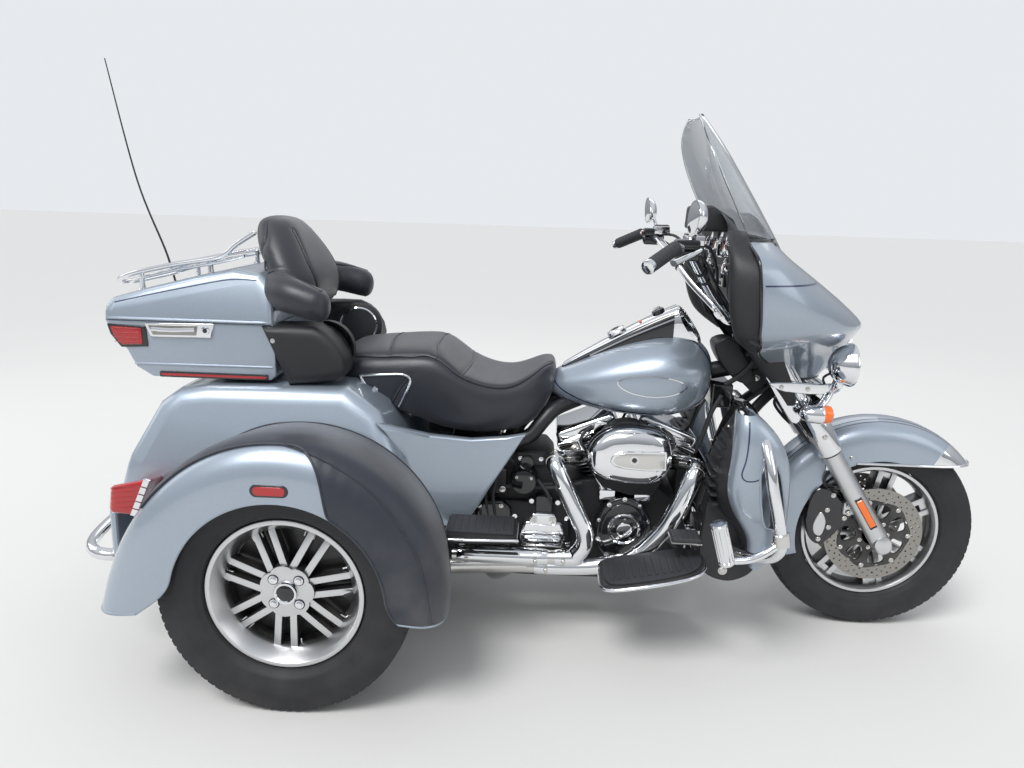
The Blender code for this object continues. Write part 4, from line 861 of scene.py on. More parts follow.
def makeFender(side):
    s = -1 if side == "right" else 1
    fender = newPiece("fender" + side.title())
    first, last = math.radians(-6), math.radians(186)
    rows = []
    for k in range(129):
        a = first + (last - first) * k / 128
        outer = [fenderPoint(i, a) for i in range(crownCount)]
        lip = outer[-1]
        inward = [lip + Vector((0, -0.004, 0)), lip + Vector((0, -0.012, 0))]
        inner = [fenderPoint(i, a, -0.0035) for i in range(crownCount - 1, -1, -1)]
        rows.append(outer + inward + inner)
    bm = gridMesh(rows, closeRound=True, capEnds=True)
    add(fender, "paint", sided(bm, s))
    # rolled edge at the arch and at both ends
    edge = [fenderPoint(crownCount - 1, first + (last - first) * k / 90) - Vector((0, 0.003, 0))
            for k in range(91)]
    ends = []
    for a in (first, last):
        ends.append([fenderPoint(i, a, -0.0015) for i in range(0, crownCount, 2)])
    for line in [edge] + ends:
        rolled = pipe(line, 0.0038, 8, 0)
        add(fender, "paint", sided(rolled, s))
    # side marker: lens in a dark frame
    for grow, look in ((1, "gloss"), (0.84, "redLens")):
        half, tall = 0.046 * grow, 0.0155 * (grow if grow == 1 else 0.72)
        outline = []
        for k in range(28):
            a = 2 * math.pi * k / 28
            x = (half - tall) * (1 if math.cos(a) > 0 else -1) + tall * math.cos(a)
            outline.append((-0.583 + x, 0.6215 + tall * math.sin(a)))
        bm = sheetCut(outline, 0.672, 0.694 + (0 if look == "gloss" else 0.0019), 0.0018, 3)
        add(fender, look, sided(bm, s))
    place(fender, "chassis", "paint", "fender_" + side)
    # fabric cover over the crown of the fender
    cover = newPiece("fenderCover" + side.title())
    rows = []
    top = 146
    for k in range(100):
        degrees = -5.4 + (top + 5.4) * k / 99
        a = math.radians(degrees)
        reach = coverReach(degrees)
        row = []
        for i in range(31):
            value = shareIndex(0.035 + (reach - 0.035) * i / 30)
            pucker = 0.0008 * math.sin(degrees * 0.9 + i * 0.35) * math.exp(-((i - 30) / 9) ** 2)
            row.append(pointAt(value, a, 0.0032 + pucker))
        rows.append(row)
    bm = gridMesh(rows)
    area = sum(f.calc_area() for f in bm.faces)
    bm = smoothed(sided(bm, s), 0, 0.0022, -1)
    add(cover, "cover", bm)
    ob = place(cover, "chassis", "cover_vinyl", "fender_cover_" + side)
    # hem round the edge, and the stitched seam along the shoulder
    hem = newPiece("fenderHem" + side.title())
    edge = [pointAt(shareIndex(coverReach(d)), math.radians(d), 0.0034)
            for d in [-5 + 2.4 * k for k in range(64)]]
    edge += [pointAt(shareIndex(0.035), math.radians(d), 0.0034) for d in (146, 130, 115, 100, 80, 60, 40, 20,
        0, -5)]
    pieces = [pipe(edge, 0.003, 8, 0.012)]
    seam = []
    for d, r in ((88, crownEdge), (80, crownEdge + 0.03), (69, crownEdge + 0.06), (51, crownEdge + 0.09),
                 (34, crownEdge + 0.115), (19, crownEdge + 0.12), (0, crownEdge + 0.12),
                 (-5, crownEdge + 0.12)):
        seam.append(pointAt(shareIndex(min(r, 1)), math.radians(d), 0.0044))
    pieces.append(pipe(seam, 0.0017, 8, 0.012))
    for bm in pieces:
        add(hem, "cover", sided(bm, s))
    shifted = [p + (p - Vector((rearX, p.y, rearR))).normalized() * 0.004 for p in seam]
    threads = stitchesOn(shifted)
    add(hem, "thread", sided(threads, s))
    hemOb = place(hem, "chassis", "cover_vinyl")
    return ob, hemOb, area


covers = {side: makeFender(side) for side in ("right", "left")}
for side, (ob, hemOb, area) in covers.items():
    print("cover area", side, round(area, 3))
print("fenders made")


# trunk body, door, lamps and bumper -----
trunkLine = [(-1.108, 0.35), (-1.106, 0.49), (-1.075, 0.59), (-1.002, 0.728), (-0.95, 0.766), (-0.87, 0.776),
             (-0.49, 0.782), (-0.395, 0.725), (-0.33, 0.6), (-0.3, 0.48), (-0.3, 0.35)]
trunk = {"doorLow": 0.448, "doorHigh": 0.7, "doorHalf": 0.27, "round": 0.045, "taper": 0.82, "bend": 0.56,
         "rise": 0.222}


def trunkShape(inset, segments=6):
    moved = []
    for x, z in trunkLine:
        moved.append((x - inset * math.copysign(1, x + 0.7), z - inset * math.copysign(1, z - trunk["bend"])))
    half = body["half"] - inset
    bm = sheetCut(moved, -half, half, trunk["round"] - inset, segments)
    bmesh.ops.bisect_plane(bm, geom=bm.verts[:] + bm.edges[:] + bm.faces[:], plane_co=(0, 0, trunk["bend"]),
                           plane_no=(0, 0, 1))
    for v in bm.verts:
        t = min(max((v.co.z - trunk["bend"]) / trunk["rise"], 0), 1)
        v.co.y *= 1 - (1 - trunk["taper"]) * t
    return bm


def makeTrunk():
    shell = newPiece("trunkBody")
    d = trunk
    hollow = trunkShape(0.005, 3)
    bmesh.ops.bisect_plane(hollow, geom=hollow.verts[:] + hollow.edges[:] + hollow.faces[:],
                           plane_co=(0, 0, 0.435), plane_no=(0, 0, 1), clear_inner=True)
    bmesh.ops.holes_fill(hollow, edges=[e for e in hollow.edges if len(e.link_faces) == 1], sides=0)
    opening = block((-1.25, -d["doorHalf"], d["doorLow"]), (-0.8, d["doorHalf"], d["doorHigh"]), 0)
    under = block((-1.3, -0.385, 0.2), (-0.1, 0.385, 0.43), 0)
    solid = carved(trunkShape(0), hollow, opening, under)
    for s in (-1, 1):
        spot = Vector((rearX, s * 0.405, 0.353))
        solid = carved(solid, rod(spot - Vector((0, 0.1, 0)), spot + Vector((0, 0.1, 0)), 0.075, sides=40))
    add(shell, "paint", solid)
    tree = treeOf(trunkShape(0))
    for s in (-1, 1):
        # shallow line along the front edge, and the wing at the back
        seam = [(-0.385, 0.728), (-0.352, 0.66), (-0.322, 0.6), (-0.302, 0.545)]
        add(shell, "satin", ribbonOn(tree, seam, 0.0028, s, 0.01, 0.0004))
        y0, y1 = sorted((s * 0.396, s * 0.515))
        wing = block((-1.098, y0, 0.346), (-1.052, y1, 0.476), 0.012, 4)
        for v in wing.verts:
            v.co.x += 0.03 * max(0, (abs(v.co.y) - 0.44) / 0.075) ** 2 * (1 if v.co.x < -1.08 else 0)
        add(shell, "paint", wing)
    # rubber edge round the door opening
    half, low, high = d["doorHalf"] - 0.004, d["doorLow"] + 0.004, d["doorHigh"] - 0.004

    def backX(z, inset=0):
        pts = trunkLine[:5]
        for (x0, z0), (x1, z1) in zip(pts, pts[1:]):
            if z0 <= z <= z1:
                return x0 + (x1 - x0) * (z - z0) / (z1 - z0) + inset
        return pts[-1][0] + inset
    rimLine = []
    for y, z in [(-half, low), (0, low), (half, low), (half, 0.49), (half, 0.55), (half, 0.59), (half, 0.65),
                 (half, high), (0, high), (-half, high), (-half, 0.65), (-half, 0.59), (-half, 0.55),
                 (-half, 0.49)]:
        rimLine.append((backX(z, 0.012), y * 1.012, z + (0.003 if z > 0.6 else -0.003)))
    add(shell, "softRubber", pipe(rimLine, 0.0035, 8, 0, closed=True))
    # lower edge moulding with its screws
    for s in (-1, 1):
        add(shell, "satin",
            pipe([(-1.085, s * 0.398, 0.356), (-0.9, s * 0.404, 0.354), (-0.66, s * 0.404, 0.354)], 0.0045, 8,
                 0.05))
        add(shell, "satin", pipe([(-0.49, s * 0.404, 0.354), (-0.32, s * 0.4, 0.356)], 0.0045, 8, 0.05))
        for x in (-1.04, -0.9, -0.76, -0.4):
            add(shell, "bolt", bolt((x, s * 0.4045, 0.372), (0, s, 0), 0.005, 0.003))
    place(shell, "chassis", "paint", "trunk_body", sharp=35)

    door = newPiece("trunkDoor")
    slab = block((-1.25, -half, low), (-0.9, half, high), 0)
    slab = carved(trunkShape(0), slab, kind='INTERSECT')
    slab = carved(slab, trunkShape(0.006, 3))
    add(door, "paint", slab)
    # raised panel, latch, grip and the blank plate with its lamp
    latch = [block((-0.006, -0.055, -0.018), (0.006, 0.055, 0.018), 0.004, 3),
             block((-0.013, -0.038, -0.009), (-0.004, 0.038, 0.009), 0.003, 2),
             rod((-0.016, 0, -0.0005), (-0.01, 0, -0.0005), 0.007, sides=20, round=0.001)]
    turn = Matrix.Translation((backX(0.65) - 0.003, 0, 0.65)) @ Matrix.Rotation(math.radians(28), 4, 'Y')
    for look, bm in zip(("chrome", "dullChrome", "bolt"), latch):
        add(door, look, moved(bm, turn))
    plate = Matrix.Translation((backX(0.52) - 0.007, 0, 0.515)) @ Matrix.Rotation(math.radians(8), 4, 'Y')
    add(door, "chrome", moved(block((-0.003, -0.095, -0.056), (0.004, 0.095, 0.056), 0.003, 2), plate))
    add(door, "white", moved(block((-0.0045, -0.088, -0.049), (0.002, 0.088, 0.049), 0.002, 2), plate))
    for y in (-0.07, 0.07):
        add(door, "bolt", moved(bolt((-0.0042, y, 0.04), (-1, 0, 0), 0.004, 0.003), plate))
    add(door, "gloss", moved(block((-0.016, -0.032, 0.058), (0.002, 0.032, 0.072), 0.004, 3), plate))
    add(door, "glass", moved(block((-0.013, -0.026, 0.0545), (-0.002, 0.026, 0.059), 0.002, 2), plate))
    hinge = Vector((-1.1135, 0, 0.442))
    add(door, "dullChrome", rod(hinge - Vector((0, 0.2, 0)), hinge + Vector((0, 0.2, 0)), 0.006, sides=16,
                                round=0.001), block(hinge + Vector((-0.0021, -0.2, 0)),
        hinge + Vector((0.0043, 0.2, 0.022)), 0.001, 1), block(hinge + Vector((-0.0021, -0.2, 0.0115)),
        hinge + Vector((0.0097, 0.2, 0.022)), 0.001, 1))
    for y in (-0.17, -0.06, 0.06, 0.17):
        add(door, "bolt", bolt(hinge + Vector((-0.0021, y, 0.015)), (-1, 0, 0), 0.0035, 0.0025))
    place(door, "trunk_door", "paint", "trunk_door", sharp=35)

    for s, side in ((-1, "right"), (1, "left")):
        lamp = newPiece("tailLamp" + side.title())
        outline = [(-1.064, 0.486), (-1.054, 0.563), (-0.934, 0.587), (-0.982, 0.482)]
        lens = softEdges(sheetCut(outline, 0.388, 0.555, 0), 0.016, 5, 30)
        for v in lens.verts:
            inward = (0.555 - v.co.y) / 0.167
            if v.co.z > 0.54:
                v.co.z -= 0.052 * inward
            if v.co.x > -1.01:
                v.co.x -= 0.045 * inward
            v.co.x += 0.016 * max(0, (v.co.y - 0.5) / 0.055) ** 2 * (1 if v.co.x < -1.01 else 0)
        add(lamp, "redLens", sided(lens, s))
        low, high = Vector((-0.9855, 0.557, 0.484)), Vector((-0.942, 0.557, 0.584))
        along = (high - low) / 5
        for k in range(5):
            tile = [low + along * (k + 0.05), low + along * (k + 0.95)]
            tile = [(tile[0].x - 0.0075, tile[0].z + 0.002), (tile[0].x + 0.0075, tile[0].z - 0.002),
                    (tile[1].x + 0.0075, tile[1].z - 0.002), (tile[1].x - 0.0075, tile[1].z + 0.002)]
            bm = sheetCut(tile, 0.55, 0.559, 0.0016, 2)
            add(lamp, "chrome", sided(bm, s))
        for k in range(5):
            z = 0.5 + 0.014 * k
            rib = pipe([(-1.04, 0.5535, z), (-1.01, 0.5555, z + 0.006),
                        (-0.972 + 0.004 * k, 0.5555, z + 0.01)], 0.0012, 6, 0.02)
            add(lamp, "redLens", sided(rib, s))
        place(lamp, "chassis", "red_lens", "tail_lamp_" + side, sharp=40)

    bumper = newPiece("bumper")
    line = [(-1.03, -0.37, 0.3), (-1.125, -0.45, 0.32), (-1.195, -0.4, 0.324), (-1.225, -0.25, 0.325),
            (-1.232, 0, 0.325)]
    line += [(x, -y, z) for x, y, z in line[-2::-1]]
    add(bumper, "chrome", pipe(line, 0.017, 24, 0.02))
    for s in (-1, 1):
        add(bumper, "chrome",
            pipe([(-1.222, s * 0.2, 0.328), (-1.16, s * 0.19, 0.35), (-1.08, s * 0.165, 0.4157),
                  (-0.95, s * 0.165, 0.4157)], 0.012, 16, 0.02))
        add(bumper, "satin", ball((-1.029, s * 0.369, 0.2998), (0.0168, 0.0168, 0.0168), 16))
        add(bumper, "bolt", bolt((-1.02, s * 0.165, 0.4037), (0, 0, -1), 0.006, 0.005),
            bolt((-0.97, s * 0.165, 0.4037), (0, 0, -1), 0.006, 0.005))
        ring = lathe([(0.0115, -0.01), (0.015, -0.008), (0.015, 0.008), (0.0115, 0.01)],
                     (-1.196, s * 0.195, 0.338), (1, 0, 0.4), 24)
        add(bumper, "chrome", ring)
    place(bumper, "chassis", "chrome", "bumper")


makeTrunk()
print("trunk made")


# side covers, boards, guard and leg shields -----
def makeSideCovers():
    piece = newPiece("sideCovers")
    line = [(-0.398, 0.7), (-0.335, 0.678), (-0.265, 0.64), (-0.15, 0.628), (-0.05, 0.638), (0.008, 0.65),
            (-0.028, 0.588), (-0.083, 0.498), (-0.128, 0.42), (-0.165, 0.362), (-0.27, 0.362), (-0.296, 0.47),
            (-0.33, 0.59)]
    for s in (-1, 1):
        bm = sheetCut(line, 0.2225, 0.252, 0.01, 5)
        for v in bm.verts:
            back = max(0, min(1, (-0.235 - v.co.x) / 0.15))
            v.co.y += 0.118 * (back * back * (3 - 2 * back))
        add(piece, "paint", sided(bm, s))
        key = rod((-0.225, 0.2515, 0.56), (-0.225, 0.256, 0.56), 0.011, sides=28, round=0.001)
        add(piece, "chrome", sided(key, s))
        for x, z in ((-0.12, 0.6), (-0.18, 0.42)):
            head = bolt((x, 0.2515, z), (0, 1, 0), 0.006, 0.003)
            add(piece, "chrome", sided(head, s))
        hook = block((-0.2, 0.1, 0.59), (-0.165, 0.235, 0.6), 0.003)
        add(piece, "satin", sided(hook, s))
    add(piece, "satin", block((-0.215, -0.235, 0.585), (-0.15, 0.235, 0.6), 0.003))
    # battery tray, wiring and cables under the tray
    add(piece, "satin", block((-0.205, -0.1, 0.49), (-0.075, 0.1, 0.588), 0.008, 3))
    for s, lift in ((-1, 0), (1, 0.01)):
        add(piece, "softRubber",
            pipe([(-0.12, s * 0.1, 0.56), (-0.09, s * 0.16, 0.54 + lift), (-0.13, s * 0.19, 0.47),
                  (-0.19, s * 0.16, 0.41)], 0.0045, 8, 0.012))
    place(piece, "chassis", "paint", "side_covers", sharp=40)


def makeBoards():
    for s, side in ((-1, "right"), (1, "left")):
        piece = newPiece("footboard" + side.title())

        def put(look, *bms):
            for bm in bms:
                add(piece, look, sided(bm, s))
        tilt = math.atan2(0.056, 0.283)

        def top(x):
            # height of the tilted board
            return 0.268 + (x - 0.236) * math.tan(tilt)
        plan = [(0.242, 0.262), (0.232, 0.3), (0.23, 0.35), (0.236, 0.4), (0.262, 0.428), (0.34, 0.434),
                (0.43, 0.428), (0.488, 0.408), (0.514, 0.372), (0.52, 0.322), (0.508, 0.276), (0.478, 0.258),
                (0.36, 0.256)]
        outline = smoothLine([(x, y, 0) for x, y in plan], 0.008, True)
        for look, low, high, shrink in (("satin", 0, 0.009, 1), ("softRubber", 0.009, 0.016, 0.94)):
            bm = bmesh.new()
            cx, cy = 0.376, 0.345
            verts = []
            for p in outline:
                x, y = cx + (p.x - cx) * shrink, cy + (p.y - cy) * shrink
                verts.append(bm.verts.new((x, y, top(x) + low)))
            face = bm.faces.new(verts)
            ext = bmesh.ops.extrude_face_region(bm, geom=[face])
            bmesh.ops.translate(bm, vec=(0, 0, high - low), verts=pointsOf(ext))
            bmesh.ops.recalc_face_normals(bm, faces=bm.faces)
            put(look, softEdges(bm, 0.0022, 2, 50))
        for k in range(12):
            x = 0.262 + 0.02 * k
            z = top(x) + 0.0165
            put("softRubber", block((x - 0.0045, 0.285, z - 0.002), (x + 0.0045, 0.405, z + 0.0028), 0.0018, 2,
                                    Matrix.Rotation(-tilt, 4, 'Y')))
        edge = [(x, y, top(x) - 0.001) for x, y in ((0.232, 0.3), (0.232, 0.4), (0.262, 0.43), (0.34, 0.4365),
            (0.43, 0.4305), (0.49, 0.411), (0.517, 0.372), (0.522, 0.322))]
        put("chrome", pipe(edge, 0.0052, 10, 0.012))
        put("satin", pipe([(0.3, 0.3, 0.272), (0.3, 0.2, 0.205), (0.3, 0.145, 0.192)], 0.011, 14, 0.02),
            pipe([(0.45, 0.3, 0.298), (0.45, 0.2, 0.215), (0.45, 0.145, 0.192)], 0.01, 14, 0.02))
        for x in (0.3, 0.45):
            put("satin", block((x - 0.02, 0.262, 0.254 + (x - 0.236) * 0.2),
                               (x + 0.02, 0.33, 0.271 + (x - 0.236) * 0.2), 0.003))
            put("bolt", bolt((x, 0.296, 0.255 + (x - 0.236) * 0.2), (0, 0, -1), 0.007, 0.006))
        if s < 0:
            put("dullChrome",
                pipe([(0.47, 0.15, 0.23), (0.487, 0.215, 0.262), (0.49, 0.258, 0.312), (0.482, 0.278, 0.36),
                      (0.462, 0.3, 0.388)], 0.009, 14, 0.015))
            put("softRubber", block((0.425, 0.285, 0.3865), (0.505, 0.355, 0.3985), 0.004, 3))
            put("dullChrome", block((0.422, 0.282, 0.382), (0.508, 0.358, 0.388), 0.003, 2))
            for k in range(5):
                put("softRubber", block((0.434 + 0.0145 * k, 0.29, 0.397), (0.44 + 0.0145 * k, 0.35, 0.4005),
                                        0.0015, 1))
        else:
            # gear lever with a toe and a heel peg
            put("dullChrome",
                pipe([(0.48, 0.262, 0.395), (0.42, 0.258, 0.372), (0.34, 0.254, 0.34), (0.26, 0.256, 0.352)],
                     0.007, 12, 0.02))
            put("softRubber", rod((0.48, 0.262, 0.395), (0.48, 0.315, 0.395), 0.0105, sides=18, round=0.002),
                rod((0.26, 0.256, 0.352), (0.26, 0.305, 0.352), 0.0105, sides=18, round=0.002))
            put("dullChrome", rod((0.345, 0.205, 0.342), (0.345, 0.262, 0.342), 0.012, sides=18, round=0.002))
        place(piece, "chassis", "black_rubber", "footboard_" + side, sharp=40)

        rest = newPiece("passengerBoard" + side.title())

        def putRest(look, *bms):
            for bm in bms:
                add(rest, look, sided(bm, s))
        line = [(-0.205, 0.372), (-0.01, 0.38), (-0.01, 0.404), (-0.205, 0.404)]
        putRest("satin", softEdges(sheetCut(line, 0.27, 0.4, 0.006, 2), 0.004, 2, 60))
        putRest("softRubber", block((-0.199, 0.276, 0.402), (-0.016, 0.394, 0.411), 0.003, 2))
        for k in range(9):
            putRest("softRubber",
                    block((-0.19 + 0.0198 * k, 0.284, 0.409), (-0.182 + 0.0198 * k, 0.386, 0.4125), 0.0012, 1))
        putRest("chrome",
                pipe([(-0.206, 0.282, 0.386), (-0.206, 0.39, 0.386), (-0.196, 0.402, 0.387),
                      (-0.02, 0.402, 0.392), (-0.009, 0.39, 0.393), (-0.009, 0.282, 0.393)], 0.0042, 10, 0.01))
        putRest("satin", pipe([(-0.12, 0.32, 0.378), (-0.16, 0.24, 0.345), (-0.223, 0.145, 0.32)], 0.012, 14,
                              0.02), block((-0.15, 0.275, 0.356), (-0.09, 0.335, 0.378), 0.005))
        putRest("bolt", bolt((-0.12, 0.32, 0.357), (0, 0, -1), 0.007, 0.006))
        place(rest, "chassis", "black_rubber", "passenger_board_" + side, sharp=40)


def makeGuard():
    piece = newPiece("engineGuard")
    line = [(0.64, 0, 0.722), (0.64, 0.06, 0.72), (0.64, 0.2, 0.735), (0.642, 0.36, 0.7),
            (0.651, 0.412, 0.644), (0.661, 0.427, 0.585), (0.681, 0.43, 0.511), (0.698, 0.425, 0.445),
            (0.704, 0.41, 0.4), (0.686, 0.37, 0.36), (0.64, 0.295, 0.334), (0.59, 0.17, 0.31),
            (0.575, 0, 0.305)]
    whole = line + [(x, -y, z) for x, y, z in line[-2:0:-1]]
    add(piece, "chrome", pipe(whole, 0.016, 20, 0.015, closed=True))
    add(piece, "satin", block((0.55, -0.045, 0.288), (0.6, 0.045, 0.322), 0.006),
        block((0.62, -0.05, 0.69), (0.664, 0.05, 0.735), 0.006))
    for s in (-1, 1):
        low, high = Vector((0.5535, s * 0.458, 0.38)), Vector((0.5175, s * 0.47, 0.499))
        add(piece, "chrome",
            pipe([(0.697, s * 0.427, 0.43), (0.655, s * 0.436, 0.402), (0.615, s * 0.445, 0.388),
                  low + Vector((0.004, 0, 0.008))], 0.0105, 14, 0.012))
        add(piece, "dullChrome", lathe([(0.0166, -0.02), (0.0225, -0.017), (0.0225, 0.017), (0.0166, 0.02)],
                                       (0.6985, s * 0.4255, 0.44), (0.16, 0, -1), 28))
        add(piece, "bolt", bolt((0.676, s * 0.432, 0.428), (-1, 0, 0), 0.005, 0.005))
        # fluted peg, upright as folded
        up = (high - low).normalized()
        turn = Matrix.Translation(low) @ turnTo(up)
        flutes = []
        for h, r, deep in ((0, 0.014, 0), (0, 0.02, 0), (0.004, 0.0222, 0), (0.01, 0.0222, 0),
                           (0.012, 0.0215, 0.0022), (0.112, 0.0215, 0.0022), (0.114, 0.0222, 0),
                           (0.12, 0.0222, 0), (0.124, 0.019, 0), (0.1245, 0.01, 0)):
            flutes.append([turn @ Vector(((r - deep * (k % 4 > 1)) * math.cos(math.pi * k / 28),
                                          (r - deep * (k % 4 > 1)) * math.sin(math.pi * k / 28), h))
                           for k in range(56)])
        add(piece, "chrome", gridMesh(flutes, closeRound=True, capEnds=True))
        add(piece, "bolt", bolt((0.6405, s * 0.05, 0.737), (0, 0, 1), 0.006, 0.006))
    place(piece, "chassis", "chrome", "engine_guard")


# z, back x, front x, outer y, bulge
shieldRows = [(0.3, 0.652, 0.69, 0.322, 0.002), (0.34, 0.642, 0.732, 0.34, 0.006),
              (0.392, 0.638, 0.742, 0.358, 0.009), (0.435, 0.612, 0.741, 0.37, 0.012),
              (0.485, 0.578, 0.737, 0.382, 0.015), (0.535, 0.559, 0.734, 0.389, 0.017),
              (0.59, 0.557, 0.732, 0.392, 0.018), (0.645, 0.562, 0.72, 0.394, 0.018),
              (0.695, 0.566, 0.696, 0.39, 0.014), (0.735, 0.568, 0.66, 0.378, 0.008),
              (0.76, 0.575, 0.626, 0.36, 0.003)]
ventRows = ((0.735, 0.606), (0.709, 0.596), (0.658, 0.566), (0.599, 0.539), (0.535, 0.535), (0.475, 0.546),
            (0.43, 0.584), (0.395, 0.622), (0.34, 0.648))


def makeShields():
    for s, side in ((-1, "right"), (1, "left")):
        piece = newPiece("legShield" + side.title())

        def put(look, *bms):
            for bm in bms:
                add(piece, look, sided(bm, s))
        rows = []
        for z, back, front, outer, bulge in shieldRows:
            mid = (back + front) / 2
            rows.append([Vector(p) for p in ((back + 0.01, outer - 0.09, z), (back, outer - 0.05, z),
                (back + 0.004, outer - 0.016, z), (back * 0.8 + front * 0.2, outer - 0.002, z),
                (mid, outer + bulge * 0.12, z), (back * 0.18 + front * 0.82, outer - 0.004, z),
                (front - 0.004, outer - 0.022, z), (front, outer - 0.06, z), (front - 0.006, 0.3, z),
                (front - 0.016, 0.236, z))])
        skin = smoothed(gridMesh(rows), 2, 0.004, -1)
        # long slot where the guard's tube goes through
        slot = [(0.648, 0.642), (0.639, 0.612), (0.645, 0.551), (0.658, 0.484), (0.674, 0.449), (0.696, 0.44),
                (0.714, 0.45), (0.714, 0.5), (0.701, 0.56), (0.686, 0.612), (0.668, 0.642)]
        skin = carved(skin, sheetCut(slot, 0.335, 0.48, 0, curved=0.008))
        put("paint", skin)
        lip = []
        probe = treeOf(piece["bm"])
        for p in smoothLine([(x, 0, z) for x, z in slot], 0.008, True):
            here = Vector((p.x + (0.004 if p.x > 0.675 else -0.004), s * 2, p.z))
            hit = probe.ray_cast(here, Vector((0, -s, 0)))
            if hit[0] is not None:
                lip.append(hit[0] - Vector((0, s * 0.001, 0)))
        if len(lip) > 8:
            add(piece, "paint", pipe(lip, 0.0032, 8, 0, closed=True))
        hook = [(0.599, 0.745), (0.598, 0.694), (0.595, 0.646), (0.588, 0.604), (0.599, 0.588), (0.62, 0.588),
                (0.634, 0.594)]
        add(piece, "stripe", ribbonOn(probe, hook, 0.004, s, 0.006, 0.0005))
        # black vent panel behind the painted skin, with its slats
        inner = []
        for z, deep in ventRows:
            back, outer = next((a[1] + (b[1] - a[1]) * t, a[3] + (b[3] - a[3]) * t) for a, b in zip(shieldRows,
                shieldRows[1:]) for t in [(z - a[0]) / (b[0] - a[0])] if 0 <= t <= 1)
            inner.append([Vector(p) for p in ((deep + 0.016, 0.15, z), (deep, 0.196, z),
                (deep + 0.002, 0.24, z), ((deep + back) / 2, outer - 0.075, z),
                (back + 0.002, outer - 0.04, z), (back + 0.012, outer - 0.02, z))])
        put("plastic", smoothed(gridMesh(inner), 2, 0.004, 0))
        for k in range(8):
            z = 0.482 + 0.028 * k
            deep = next(a[1] + (b[1] - a[1]) * (a[0] - z) / (a[0] - b[0]) for a, b in zip(ventRows,
                ventRows[1:]) if b[0] <= z <= a[0])
            put("plastic", block((deep - 0.01, 0.2, z - 0.004), (deep + 0.01, 0.3, z + 0.004), 0.0035, 2))
        plate = [(0.545, 0.47), (0.6, 0.43), (0.645, 0.398), (0.69, 0.33), (0.689, 0.256), (0.63, 0.219),
                 (0.567, 0.229), (0.537, 0.262), (0.527, 0.33), (0.532, 0.4)]
        put("plastic", softEdges(sheetCut(plate, 0.214, 0.236, 0, curved=0.01), 0.006, 3, 40))
        put("bolt", bolt((0.6, 0.236, 0.252), (0, 1, 0), 0.01, 0.006))
        for z in (0.505, 0.69):
            put("bolt", bolt((0.548 if z < 0.6 else 0.582, 0.225, z), (-1, 0, 0), 0.006, 0.004))
        place(piece, "chassis", "paint", "leg_shield_" + side, sharp=45)


makeSideCovers()
makeBoards()
makeGuard()
makeShields()
print("boards and shields made")

# luggage case, lid, rack, speakers and aerial -----
case = {"half": 0.29, "lidTop": 1.088, "rack": 0.215}


def shearTop(bm, z0, z1, keep):
    bmesh.ops.bisect_plane(bm, geom=bm.verts[:] + bm.edges[:] + bm.faces[:], plane_co=(0, 0, z0),
                           plane_no=(0, 0, 1))
    for v in bm.verts:
        t = min(max((v.co.z - z0) / (z1 - z0), 0), 1)
        v.co.y *= 1 - (1 - keep) * t
    return bm


def lidShape(inset=0, segments=5):
    rows = [(-1.163, 0.982), (-1.145, 1.004), (-1.045, 1.034), (-0.92, 1.066), (-0.81, case["lidTop"]),
            (-0.74, 1.08), (-0.7, 1.04), (-0.69, 0.916), (-1.17, 0.916)]
    if inset:
        rows = [(x + (inset if x < -0.9 else -inset), z - inset) for x, z in rows[:7]] + [(-0.696, 0.926),
            (-1.164, 0.926)]
    half = case["half"] + (0.004 if not inset else -0.002)
    bm = sheetCut(rows, -half, half, 0.024 if not inset else 0.018, segments)
    softEdges(bm, 0.01, 2, 12) if not inset else None
    return shearTop(bm, 0.966, case["lidTop"], 0.86)


